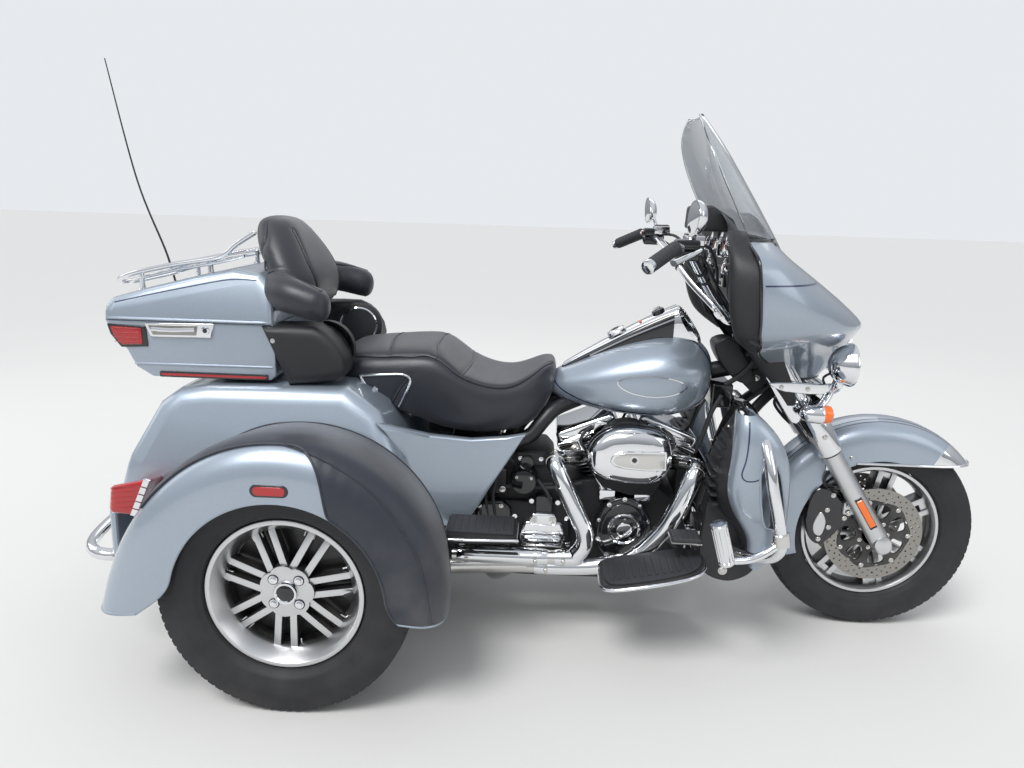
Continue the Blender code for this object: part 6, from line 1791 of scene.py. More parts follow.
    # upper housing behind the cylinders, with the starter and its cables
    add(piece, "wrinkle",
        softEdges(sheetCut([(-0.185, 0.4), (0.11, 0.4), (0.095, 0.52), (0.07, 0.548), (-0.15, 0.548),
                            (-0.18, 0.51)], -h + 0.006, h - 0.006, 0), 0.008, 2, 25))
    add(piece, "satin", block((-0.02, -h - 0.004, 0.512), (0.066, -h + 0.01, 0.552), 0.004, 2))
    for x in (-0.008, 0.054):
        add(piece, "chrome", bolt((x, -h - 0.0035, 0.532), (0, -1, 0), 0.005, 0.005))
    spot = Vector((0.004, -0.04, 0.474))
    add(piece, "gloss",
        lathe([(0, 0), (0.038, 0), (0.04, 0.004), (0.04, 0.07), (0.042, 0.073), (0.042, 0.079), (0.04, 0.082),
               (0.04, 0.114), (0.036, 0.126), (0.022, 0.13), (0, 0.13)], spot, (0, -1, 0), 40))
    for k in (0.6, 2.5):
        add(piece, "bolt", bolt(spot + Vector((0.026 * math.cos(k), -0.128, 0.026 * math.sin(k))), (0, -1, 0),
                                0.004, 0.004))
    add(piece, "gloss", rod((0.012, -0.06, 0.524), (0.012, -0.128, 0.524), 0.02, sides=24, round=0.003))
    add(piece, "satin", block((-0.1, -h - 0.02, 0.42), (-0.048, -h + 0.01, 0.5), 0.006, 3),
        block((-0.165, -h - 0.012, 0.44), (-0.115, -h + 0.01, 0.52), 0.006, 3))
    add(piece, "dullChrome", rod((-0.06, -h - 0.012, 0.44), (-0.06, -h - 0.03, 0.44), 0.01, sides=24,
                                 round=0.002))
    for k in range(4):
        x = -0.15 + 0.022 * k
        add(piece, "softRubber",
            pipe([(x, -0.128, 0.54), (x + 0.006, -0.14, 0.48), (x - 0.004, -0.146, 0.42),
                  (x + 0.01, -0.14, 0.33)], 0.0045 + 0.001 * (k % 2), 8, 0.012))
    add(piece, "softRubber", pipe([(0.046, -0.13, 0.47), (0.075, -0.15, 0.44), (0.09, -0.146, 0.4)], 0.0055, 8,
                                  0.01), pipe([(-0.03, -0.12, 0.52), (-0.06, -0.135, 0.545),
        (-0.12, -0.13, 0.54)], 0.0055, 8, 0.01))
    # primary cover on the left
    primary = [(0.42, 0.33), (0.4, 0.25), (0.33, 0.215), (-0.02, 0.225), (-0.12, 0.26), (-0.15, 0.33),
               (-0.12, 0.4), (-0.03, 0.435), (0.3, 0.44), (0.385, 0.41)]
    add(piece, "chrome", sheetCut(primary, h - 0.01, h + 0.088, 0.022, 5, curved=0.02))
    cx, cz = 0.13, 0.33
    add(piece, "chrome", sheetCut([(cx + (x - cx) * 0.86, cz + (z - cz) * 0.8) for x, z in primary], h + 0.07,
                                  h + 0.095, 0.008, 3, curved=0.02))
    add(piece, "gloss", lathe([(0.078, h + 0.09), (0.074, h + 0.0945), (0, h + 0.0948)], (0.305, 0, 0.328),
                              (0, 1, 0), 48), lathe([(0.088, h + 0.088), (0.084, h + 0.0945), (0, h + 0.0946)],
        (-0.02, 0, 0.33), (0, 1, 0), 48))
    for cx, reach, count in ((0.305, 0.066, 5), (-0.02, 0.076, 6)):
        for k in range(count):
            a = 2 * math.pi * k / count
            add(piece, "bolt", bolt((cx + reach * math.cos(a), h + 0.0945, 0.329 + reach * math.sin(a)),
                                    (0, 1, 0), 0.0042, 0.0035))
    for k in range(12):
        a = 2 * math.pi * k / 12
        add(piece, "bolt", bolt((0.13 + 0.235 * math.cos(a), h + 0.087, 0.33 + 0.085 * math.sin(a)), (0, 1, 0),
                                0.0045, 0.004))
    # oil filter, sump fins and hoses in front
    add(piece, "chrome",
        lathe([(0, 0.062), (0.022, 0.062), (0.032, 0.056), (0.034, 0.046), (0.034, 0), (0, 0)],
              (0.498, 0, 0.262), (1, 0, 0.05), 40))
    for k in range(16):
        a = 2 * math.pi * k / 16
        add(piece, "chrome", rod((0.538, 0.0335 * math.cos(a), 0.264 + 0.0335 * math.sin(a)),
                                 (0.556, 0.0325 * math.cos(a), 0.264 + 0.0325 * math.sin(a)), 0.0018, sides=6))
    for k in range(8):
        x = 0.15 + 0.032 * k
        add(piece, "wrinkle", block((x - 0.003, -0.095, 0.192), (x + 0.003, 0.095, 0.206), 0.001, 1))
    add(piece, "softRubber",
        pipe([(0.44, -0.12, 0.3), (0.48, -0.135, 0.27), (0.5, -0.11, 0.24), (0.5, -0.06, 0.235)], 0.007, 10,
             0.01), pipe([(-0.06, -0.125, 0.44), (0, -0.132, 0.452), (0.08, -0.13, 0.446),
                          (0.18, -0.128, 0.466)], 0.0055, 10, 0.012),
        pipe([(0.18, -0.118, 0.3), (0.19, -0.135, 0.24), (0.15, -0.12, 0.212)], 0.006, 10, 0.01))
    place(piece, "chassis", "engine_alloy", "engine", sharp=35)


def makeCylinder(lean, name):
    piece = newPiece(name)
    a = math.radians(engine["lean"]) * lean
    u = Vector((math.sin(a), 0, math.cos(a)))
    base = Vector((engine["x"], 0, engine["z"]))
    turn = Matrix.Translation(base) @ turnTo(u)
    limit = 0.0016

    def trimmed(bm):
        # nothing crosses the middle plane between the two cylinders
        bmesh.ops.bisect_plane(bm, geom=bm.verts[:] + bm.edges[:] + bm.faces[:],
                               plane_co=(engine["x"] + lean * limit, 0, 0), plane_no=(-lean, 0, 0),
                               clear_outer=True)
        bmesh.ops.holes_fill(bm, edges=[e for e in bm.edges if len(e.link_faces) == 1], sides=0)
        return bm
    add(piece, "wrinkle",
        trimmed(moved(lathe([(0, 0.09), (0.06, 0.09), (0.06, 0.256), (0, 0.256)], (0, 0, 0), (0, 0, 1), 48),
                      turn)))
    pitch = (engine["high"] - engine["low"]) / (engine["fins"] - 1)
    for k in range(engine["fins"]):
        h = engine["low"] + pitch * k
        r = engine["finR"] + (0.022 if k > engine["fins"] * 0.6 else 0.004) - (0.004 if k < 2 else 0)
        outline = []
        for j in range(56):
            t = 2 * math.pi * j / 56
            c, q = math.cos(t), math.sin(t)
            outline.append(Vector((r * 0.98 * math.copysign(abs(c) ** 0.75, c),
                                   0.084 * math.copysign(abs(q) ** 0.75, q), h)))
        fin = bmesh.new()
        face = fin.faces.new([fin.verts.new(p) for p in outline])
        ext = bmesh.ops.extrude_face_region(fin, geom=[face])
        bmesh.ops.translate(fin, vec=(0, 0, 0.0036), verts=pointsOf(ext))
        bmesh.ops.recalc_face_normals(fin, faces=fin.faces)
        fin = trimmed(moved(fin, turn))
        fin.normal_update()
        for look in ("alloy", "wrinkle"):
            if look not in piece["looks"]:
                piece["looks"].append(look)
        for face in fin.faces:
            flat = abs(face.normal.dot(u)) > 0.7
            face.material_index = piece["looks"].index("wrinkle" if flat else "alloy")
            face.smooth = True
        mergeInto(piece["bm"], fin)
    high = engine["high"]
    add(piece, "wrinkle",
        trimmed(moved(block((-0.096, -0.084, high + 0.006), (0.096, 0.084, high + 0.04), 0.007, 3), turn)))
    for k in range(4):
        z = high + 0.012 + 0.008 * k
        add(piece, "alloy",
            trimmed(moved(block((-0.099, -0.087, z - 0.0012), (0.099, 0.087, z + 0.0012), 0.001, 1), turn)))
    # rocker box: gasket, foot and one deep smooth cover
    for low, tall, half, deep, round, look in ((high + 0.038, 0.006, 0.098, 0.095, 0.002, "gloss"),
            (high + 0.043, 0.013, 0.1, 0.098, 0.005, "chrome"),
            (high + 0.05, 0.04, 0.094, 0.094, 0.017, "chrome")):
        add(piece, look, trimmed(moved(block((-half, -deep, low), (half, deep, low + tall), round, 5), turn)))
    for x in (-0.084, 0.084):
        for y in (-0.086, 0, 0.086):
            if (x * lean) > -0.03 or abs(y) > 0.05:
                spot = turn @ Vector((x, y, high + 0.051))
                if (spot.x - engine["x"]) * lean > 0.01:
                    add(piece, "bolt", bolt(spot, u, 0.0048, 0.006))
    # spark plug with its lead
    plug = turn @ Vector((lean * 0.02, -0.084, high + 0.006))
    out = Vector((lean * 0.2, -1, 0.35)).normalized()
    add(piece, "bolt", rod(plug, plug + out * 0.014, 0.0085, sides=6))
    add(piece, "softRubber",
        pipe([plug + out * 0.012, plug + out * 0.04, plug + out * 0.05 + Vector((lean * 0.01, 0.012, 0.035)),
              Vector((engine["x"] + lean * 0.05, -0.04, 0.675))], 0.0052, 10, 0.01))
    side = "cylinder_rear" if lean < 0 else "cylinder_front"
    place(piece, "chassis", "cylinder_black", side, sharp=35)


def makeAirCleaner():
    piece = newPiece("airCleaner")
    x, z = engine["x"] - 0.002, 0.587
    add(piece, "wrinkle", rod((x, -0.099, z), (x, -0.15, z), 0.085, sides=56, round=0.003))
    rim = [(0.19, 0.552), (0.196, 0.604), (0.236, 0.645), (0.292, 0.662), (0.364, 0.661), (0.41, 0.645),
           (0.43, 0.614), (0.434, 0.557), (0.404, 0.505), (0.345, 0.492), (0.253, 0.502), (0.205, 0.522)]
    rim = smoothLine([(a, 0, b) for a, b in rim], 0.007, closed=True)

    def ring(grow, y):
        return [Vector((0.315 + (p.x - 0.315) * grow, y, 0.577 + (p.z - 0.577) * grow)) for p in rim]
    back = [ring(0.6, -0.146), ring(0.99, -0.146), ring(1.015, -0.15), ring(1.015, -0.16), ring(0.99, -0.166)]
    add(piece, "gloss", gridMesh(back, closeRound=True, capEnds=True))
    dome = ((0.985, -0.164), (1, -0.167), (1, -0.182), (0.985, -0.192), (0.95, -0.201), (0.89, -0.2085),
            (0.8, -0.214), (0.65, -0.218), (0.45, -0.22), (0.2, -0.2208))
    add(piece, "chrome", gridMesh([ring(grow, y) for grow, y in dome], closeRound=True, capEnds=True))
    band = [(0.252, 0.57), (0.258, 0.588), (0.275, 0.599), (0.3, 0.6025), (0.415, 0.6045), (0.417, 0.548),
            (0.36, 0.545), (0.3, 0.548), (0.266, 0.555)]
    add(piece, "chrome", softEdges(sheetCut(band, -0.2235, -0.205, 0), 0.0035, 3, 25))
    inside = [(0.262, 0.572), (0.268, 0.586), (0.282, 0.594), (0.3, 0.5965), (0.409, 0.5985), (0.411, 0.554),
              (0.36, 0.551), (0.3, 0.554), (0.272, 0.56)]
    add(piece, "dullChrome", softEdges(sheetCut(inside, -0.2242, -0.215, 0), 0.0015, 2, 25))
    add(piece, "chrome", lathe([(0.0125, 0.2235), (0.0125, 0.2246), (0.0095, 0.2247), (0.009, 0.224)],
                               (0.322, 0, 0.577), (0, -1, 0), 32))
    add(piece, "gloss", lathe([(0.0075, 0.2238), (0.007, 0.2246), (0, 0.2247)], (0.322, 0, 0.577), (0, -1, 0),
                              24))
    # black support below, bracket and breather hoses
    skirt = [(0.215, 0.5), (0.24, 0.468), (0.32, 0.445), (0.392, 0.447), (0.418, 0.496), (0.345, 0.498),
             (0.26, 0.508)]
    add(piece, "wrinkle", softEdges(sheetCut(skirt, -0.16, -0.13, 0), 0.005, 2, 25))
    add(piece, "chrome", block((x - 0.1, -0.118, z + 0.03), (x - 0.06, -0.106, z + 0.068), 0.004, 3),
        block((x + 0.062, -0.118, z + 0.03), (x + 0.102, -0.106, z + 0.068), 0.004, 3))
    for k in (-1, 1):
        add(piece, "softRubber",
            pipe([(x + k * 0.06, -0.11, z - 0.03), (x + k * 0.085, -0.125, z - 0.06),
                  (x + k * 0.06, -0.13, z - 0.085)], 0.006, 10, 0.01))
    place(piece, "chassis", "chrome", "air_cleaner", sharp=35)


def makeExhaust():
    piece = newPiece("exhaust")
    portY = -0.0853
    rear = [(0.168, portY, 0.548), (0.168, portY - 0.035, 0.548), (0.1, -0.19, 0.56), (0.104, -0.226, 0.535),
            (0.145, -0.236, 0.45), (0.186, -0.236, 0.362), (0.19, -0.234, 0.318), (0.17, -0.231, 0.282),
            (0.13, -0.228, 0.266), (-0.2, -0.225, 0.262)]
    front = [(0.452, portY, 0.548), (0.452, portY - 0.035, 0.548), (0.503, -0.19, 0.556),
             (0.492, -0.226, 0.532), (0.456, -0.236, 0.448), (0.412, -0.234, 0.362), (0.333, -0.226, 0.276),
             (0.22, -0.216, 0.238), (0.02, -0.218, 0.23)]
    for line in (rear, front):
        add(piece, "dullChrome", pipe(line, 0.0215, 24, 0.012))
    # heat shields with their clamps
    for line, first, last in ((smoothLine(rear, 0.012), 0.13, 0.66), (smoothLine(rear, 0.012), 0.67, 0.98),
                              (smoothLine(front, 0.012), 0.14, 0.62), (smoothLine(front, 0.012), 0.63, 0.97)):
        n = len(line)
        part = line[int(n * first):int(n * last)]
        add(piece, "chrome", pipe(part, lambda t: 0.0262 - 0.003 * (2 * t - 1) ** 12, 28, 0))
        for k in (3, len(part) - 4):
            along = part[k + 1] - part[k]
            add(piece, "dullChrome",
                lathe([(0.0255, -0.005), (0.028, -0.0045), (0.028, 0.0045), (0.0255, 0.005)], part[k], along,
                      32))
            out = Vector((0, -1, 0)) if abs(along.normalized().y) < 0.7 else Vector((0, 0, 1))
            add(piece, "bolt", block(part[k] + out * 0.027 - Vector((0.006, 0.004, 0.004)),
                                     part[k] + out * 0.031 + Vector((0.006, 0.004, 0.004)), 0.0015, 1))
    for s in (-1, 1):
        spot = Vector((0.31 + s * 0.142, portY, 0.548))
        add(piece, "bolt", lathe([(0, 0), (0.032, 0), (0.032, 0.007), (0.022, 0.009)], spot, (0, -1, 0), 32))
        for dz in (-0.026, 0.026):
            add(piece, "bolt", bolt(spot + Vector((0, -0.006, dz)), (0, -1, 0), 0.0045, 0.006))
    add(piece, "dullChrome",
        pipe([(0.02, -0.218, 0.236), (-0.25, -0.235, 0.225), (-0.36, -0.315, 0.217), (-0.45, -0.35, 0.212)],
             0.0265, 24, 0.015))
    add(piece, "dullChrome",
        pipe([(-0.02, -0.215, 0.235), (-0.08, -0.1, 0.15), (-0.09, 0, 0.145), (-0.08, 0.1, 0.15),
              (-0.14, 0.2, 0.2), (-0.36, 0.315, 0.215), (-0.45, 0.35, 0.212)], 0.0265, 24, 0.015))
    for s in (-1, 1):
        lineA = [(-0.43, s * 0.345, 0.212), (-0.48, s * 0.356, 0.2105), (-0.6, s * 0.36, 0.21),
                 (-0.99, s * 0.365, 0.2148)]
        add(piece, "chrome",
            pipe(lineA, lambda t: 0.0285 + 0.0055 * min(t / 0.12, 1) - 0.004 * max(t - 0.93, 0) / 0.07, 32,
                 0.012))
        tip = Vector((-0.999, s * 0.365, 0.215))
        add(piece, "chrome",
            lathe([(0.031, -0.002), (0.0325, 0.006), (0.0325, 0.022), (0.029, 0.024), (0.0255, 0.022),
                   (0.024, 0.006)], tip + Vector((0.022, 0, 0)), (-1, 0, 0), 40))
        add(piece, "pocketAndShade", lathe([(0.0245, 0.012), (0, 0.01)], tip + Vector((0.012, 0, 0)), (-1, 0, 0), 32))
        for x in (-0.55, -0.86):
            add(piece, "dullChrome",
                lathe([(0.0335, -0.009), (0.0358, -0.008), (0.0358, 0.008), (0.0335, 0.009)],
                      (x, s * 0.36, 0.211 if x > -0.6 else 0.2135), (1, 0, 0), 36))
        add(piece, "satin",
            pipe([(-0.86, s * 0.355, 0.244), (-0.87, s * 0.3, 0.33), (-0.88, s * 0.165, 0.402)], 0.008, 10,
                 0.02))
        add(piece, "satin", pipe([(-0.4, s * 0.325, 0.242), (-0.39, s * 0.24, 0.3), (-0.36, s * 0.15, 0.33)],
                                 0.008, 10, 0.02))
    place(piece, "chassis", "chrome", "exhaust")


makeEngine()
makeCylinder(-1, "cylinderRear")
makeCylinder(1, "cylinderFront")
makeAirCleaner()
makeExhaust()
print("engine made")

# fork, brakes and front fender -----
steer = {"rake": math.radians(26), "fork": math.radians(33), "trail": 0.1, "legY": 0.125, "clampLow": 0.735,
         "clampTop": 0.955}


def axisX(z):
    return frontX + steer["trail"] - z * math.tan(steer["rake"])


def legX(z):
    return frontX - (z - frontR) * math.tan(steer["fork"])


def legPoint(z, y, out=0):
    return Vector((legX(z) + out * math.cos(steer["fork"]), y, z + out * math.sin(steer["fork"])))


def makeFork():
    piece = newPiece("fork")
    y = steer["legY"]
    add(piece, "steel", rod((axisX(steer["clampLow"]), 0, steer["clampLow"]),
                            (axisX(steer["clampTop"]), 0, steer["clampTop"]), 0.019, sides=32))
    add(piece, "bolt", bolt((axisX(0.962), 0, 0.962), (-math.sin(steer["rake"]), 0, math.cos(steer["rake"])),
                            0.017, 0.012))
    for z, thick, look in ((steer["clampLow"], 0.028, "gloss"), (steer["clampTop"], 0.024, "chrome")):
        mid = Vector(((axisX(z) + legX(z)) / 2, 0, z))
        plate = block((-0.05, -y - 0.032, -thick / 2), (0.05, y + 0.032, thick / 2), 0.007, 3)
        for v in plate.verts:
            v.co.x *= 1 - 0.25 * (abs(v.co.y) / (y + 0.032)) ** 2
        add(piece, look, moved(plate, Matrix.Translation(mid) @ Matrix.Rotation(-steer["rake"], 4, 'Y')))
    axis = legPoint(1, 0) - legPoint(0.5, 0)
    low = frontR - 0.03
    for s in (-1, 1):
        foot = legPoint(low, s * y)
        length = (legPoint(0.66, s * y) - foot).length
        profile = [(0, 0), (0.022, 0), (0.0275, 0.006), (0.029, 0.02), (0.0295, 0.06), (0.029, length * 0.5),
                   (0.029, length - 0.05), (0.0305, length - 0.04), (0.0305, length - 0.006), (0.0265, length)]
        add(piece, "alloy", lathe(profile, foot, axis, 40))
        add(piece, "chrome", rod(legPoint(0.64, s * y), legPoint(steer["clampTop"] + 0.02, s * y), 0.024,
                                 sides=36))
        # bright cover sleeve with its plate and bolt
        sleeve = (legPoint(0.712, 0) - legPoint(0.598, 0)).length
        add(piece, "chrome",
            lathe([(0.03, 0), (0.037, 0), (0.038, 0.004), (0.0405, sleeve * 0.5), (0.0425, sleeve - 0.006),
                   (0.0405, sleeve), (0.025, sleeve)], legPoint(0.598, s * y), axis, 44))
        add(piece, "chrome", rod(legPoint(0.712, s * y), legPoint(0.728, s * y), 0.0345, 0.03, sides=40,
                                 round=0.002))
        add(piece, "bolt", bolt(legPoint(0.652, s * y) + Vector((0, s * 0.0385, 0)), (0, s, 0), 0.0065, 0.006))
        add(piece, "softRubber", lathe([(0.0265, 0), (0.0298, 0.002), (0.0298, 0.012), (0.0255, 0.016)],
                                       legPoint(0.59, s * y), axis, 32))
        # long orange reflector on the leg
        spot = legPoint(0.416, s * y)
        for size, look, out in ((1, "satin", 0.0255), (0.86, "amberLens", 0.0285)):
            bar = block((-0.0115 * size, -0.004, -0.056 * size), (0.0115 * size, 0.004, 0.056 * size), 0.0035,
                        3)
            add(piece, look,
                moved(bar, Matrix.Translation(spot + Vector((0, s * out, 0))) @ Matrix.Rotation(-steer["fork"],
                4, 'Y')))
        # axle cap and pinch bolts
        hub = Vector((frontX, s * y, frontR))
        add(piece, "alloy",
            lathe([(0, 0.034), (0.012, 0.034), (0.0245, 0.03), (0.0265, 0.022), (0.0265, 0), (0, 0)], hub,
                  (0, s, 0), 36))
        add(piece, "chrome", lathe([(0, 0.0338), (0.008, 0.0336), (0.0145, 0.03)], hub, (0, s, 0), 24))
        add(piece, "bolt", bolt(hub + Vector((0.02, s * 0.01, -0.022)), (0.5, 0, -0.85), 0.0045, 0.005),
            bolt(hub + Vector((0.02, -s * 0.004, -0.022)), (0.5, 0, -0.85), 0.0045, 0.005))
    add(piece, "bolt", rod((frontX, -y - 0.03, frontR), (frontX, y + 0.03, frontR), 0.0125, sides=24))
    for s in (-1, 1):
        # four-piston calliper behind each leg, straddling the rotor
        mid = Vector((frontX - 0.125, s * 0.077, 0.42))
        for out in (-1, 1):
            if out == s:
                outline = [(0.903, 0.47), (0.879, 0.432), (0.874, 0.357), (0.895, 0.302), (0.931, 0.291),
                           (0.974, 0.337), (1.004, 0.376), (0.998, 0.401), (0.945, 0.46)]
            else:
                outline = [(mid.x + dx, mid.z + dz) for dx, dz in ((-0.04, -0.02), (0.034, -0.036), (0.044, 0),
                    (0.026, 0.036), (-0.034, 0.036), (-0.046, 0.01))]
            y0, y1 = sorted((s * 0.072 + out * 0.0062, s * 0.072 + out * 0.0285))
            add(piece, "gloss", softEdges(sheetCut(outline, y0, y1, 0, curved=0.008), 0.005, 3, 40))
        y0, y1 = sorted((s * 0.0995, s * 0.1025))
        add(piece, "alloy",
            sheetCut([(0.915, 0.395), (0.933, 0.364), (0.924, 0.32), (0.903, 0.325), (0.897, 0.357)], y0, y1,
                     0.001, 1, curved=0.006))
        for x, z in ((0.944, 0.346), (0.947, 0.45), (0.988, 0.378), (0.917, 0.306), (0.934, 0.402)):
            add(piece, "bolt", bolt((x, s * 0.1, z), (0, s, 0), 0.0056, 0.005))
        add(piece, "gloss", block((mid.x - 0.02, s * 0.072 - 0.0065, mid.z + 0.031),
                                  (mid.x + 0.02, s * 0.072 + 0.0065, mid.z + 0.041), 0.003, 2))
        add(piece, "alloy", block((mid.x + 0.01, s * 0.1 - 0.01, mid.z - 0.028),
                                  (legX(mid.z) + 0.004, s * 0.1 + 0.014, mid.z + 0.01), 0.006, 3))
        for dz in (-0.02, 0.002):
            add(piece, "bolt", bolt((mid.x + 0.026, s * 0.114, mid.z + dz), (0, s, 0), 0.006, 0.006))
        # brake hose up to the lower clamp
        add(piece, "softRubber",
            pipe([(mid.x - 0.03, s * 0.08, mid.z + 0.036), (mid.x - 0.052, s * 0.094, mid.z + 0.075),
                  (mid.x - 0.04, s * 0.108, 0.56), (legX(0.62) - 0.055, s * 0.112, 0.63),
                  (legX(0.7) - 0.046, s * 0.1, 0.69), (0.842, s * 0.055, 0.722)], 0.0048, 10, 0.012))
        add(piece, "bolt", lathe([(0, 0), (0.0062, 0), (0.0062, 0.016), (0.005, 0.018)],
                                 (mid.x - 0.03, s * 0.08, mid.z + 0.026), (-0.2, 0, 1), 16))
    place(piece, "steering", "chrome", "fork", sharp=35)


guardShape = {"inner": 0.348, "half": 0.088, "first": 33, "last": 195, "cut": 0.2303}


def tipNarrow(degrees):
    # the fender narrows a little towards its front tip
    return 1 - 0.1 * max(0, (55 - degrees) / 22)


def makeFrontFender():
    g = guardShape
    centre = Vector((frontX, 0, frontR))
    r = g["inner"]
    section = smoothLine([(r + 0.0135, 0, 0), (r + 0.0115, 0, 0.028), (r + 0.002, 0, 0.06),
                          (r - 0.018, 0, 0.081), (r - 0.045, 0, 0.0885), (r - 0.08, 0, 0.0895),
                          (r - 0.105, 0, 0.0895)], 0.008)
    half = [(p.x, p.z) for p in section]
    line = [(q, -y) for q, y in half[::-1]] + half[1:]
    piece = newPiece("frontFender")
    full = []
    for k in range(91):
        deg = g["first"] + (g["last"] - g["first"]) * k / 90
        a, narrow = math.radians(deg), tipNarrow(deg)
        full.append([Vector((centre.x + q * math.cos(a), y * narrow, centre.z + q * math.sin(a)))
                     for q, y in line])
    # the skin, cut level over the tyre in front of the legs
    shell = smoothed(gridMesh(full), 0, 0.0038, -1)
    shell = carved(shell, block((frontX - 0.0862, -0.14, frontR - 0.1),
                                (frontX + frontR + 0.1, 0.14, frontR + g["cut"]), 0))
    add(piece, "paint", shell)
    probe = treeOf(gridMesh(full))
    for s in (-1, 1):
        # bright trim along the level edge, round the tip
        trim = []
        for k in range(26):
            x = 1.008 + (1.392 - 1.008) * k / 25
            hit = probe.ray_cast(Vector((x, s * 2, frontR + g["cut"] + 0.004)), Vector((0, -s, 0)))
            if hit[0]:
                trim.append(hit[0] + Vector((0, s * 0.0012, 0)))
        if len(trim) > 3:
            add(piece, "chrome", pipe(trim, 0.0042, 8, 0))
        # two dark lines along the crown
        for angle, width in ((0.028, 0.003), (0.046, 0.0022)):
            rowsOf = []
            for k in range(60):
                deg = 40 + 118 * k / 59
                a = math.radians(deg)
                direction = Vector((math.cos(a), 0, math.sin(a)))
                row = []
                for dy in (-width / 2, width / 2):
                    start = centre + direction * 0.6 + Vector((0, s * angle * tipNarrow(deg) + dy, 0))
                    hit = probe.ray_cast(start, -direction)
                    if hit[0]:
                        row.append(hit[0] + direction * 0.0006)
                if len(row) == 2:
                    rowsOf.append(row)
            add(piece, "stripe", gridMesh(rowsOf))
        # mounting bosses to the legs, and rivets
        bossZ = frontR + r - 0.116
        bossX = legX(bossZ)
        add(piece, "chrome", block((bossX - 0.03, min(s * 0.084, s * 0.1016), bossZ - 0.022),
                                   (bossX + 0.014, max(s * 0.084, s * 0.1016), bossZ + 0.022), 0.004, 3))
        for dx, dz in ((-0.02, 0), (0.004, 0.014)):
            add(piece, "bolt", bolt((bossX + dx, s * 0.0895, bossZ + dz), (0, s, 0), 0.005, 0.004))
        for x, z in ((legX(0.6) - 0.06, 0.6), (legX(0.56) + 0.055, 0.57)):
            hit = probe.ray_cast(Vector((x, s * 2, z)), Vector((0, -s, 0)))
            if hit[0]:
                add(piece, "bolt", ball(hit[0], (0.006, 0.0035, 0.006), 16))
    tip = []
    for k in range(9):
        y = -0.066 + 0.0165 * k
        hit = probe.ray_cast(Vector((2, y, frontR + g["cut"] + 0.004)), Vector((-1, 0, 0)))
        if hit[0]:
            tip.append(hit[0])
    if len(tip) > 3:
        add(piece, "chrome", pipe(tip, 0.0048, 8, 0.01))
    cap = []
    for k in range(13):
        row = []
        for q, y in line:
            deg = g["first"] + (50 + 9 * min(1, abs(y) / g["half"]) - g["first"]) * k / 12
            narrow = tipNarrow(deg)
            a = math.radians(deg)
            row.append(Vector((centre.x + (q + 0.0012) * math.cos(a), y * narrow * 1.008,
                               centre.z + (q + 0.0012) * math.sin(a))))
        cap.append(row)
    add(piece, "chrome",
        carved(smoothed(gridMesh(cap), 0, 0.0022, -1),
               block((frontX, -0.14, frontR - 0.1), (frontX + frontR + 0.1, 0.14, frontR + g["cut"]), 0)))
    add(piece, "paint", pipe(full[-1], 0.0034, 8, 0))
    place(piece, "steering", "paint", "front_fender", sharp=35)


makeFork()
makeFrontFender()
print("fork made")


# fairing, dash, windshield, handlebar and lamps -----
# z, nose x, side x, half width, fullness
fairRows = [(0.808, 0.885, 0.76, 0.105, 0.9), (0.832, 0.912, 0.728, 0.122, 1.05),
            (0.86, 0.932, 0.7, 0.15, 1.2), (0.905, 0.957, 0.637, 0.25, 1.6), (0.94, 0.974, 0.62, 0.325, 1.4),
            (0.972, 0.984, 0.606, 0.357, 1.1), (0.984, 0.981, 0.604, 0.362, 1.04),
            (1.01, 0.95, 0.6, 0.375, 0.95), (1.05, 0.898, 0.594, 0.386, 0.82),
            (1.11, 0.81, 0.588, 0.386, 0.76), (1.15, 0.748, 0.584, 0.378, 0.75),
            (1.175, 0.712, 0.58, 0.36, 0.76), (1.212, 0.684, 0.57, 0.272, 0.8)]


def arcRow(nose, side, half, z, power=0.75, n=8):
    points = []
    for k in range(-n, n + 1):
        a = math.radians(90) * k / n
        x = side + (nose - side) * math.cos(a) ** power if abs(k) < n else side
        points.append(Vector((x, half * math.sin(a), z)))
    return points


lampHead = {"x": 0.88, "z": 0.905, "r": 0.084, "front": 0.955}


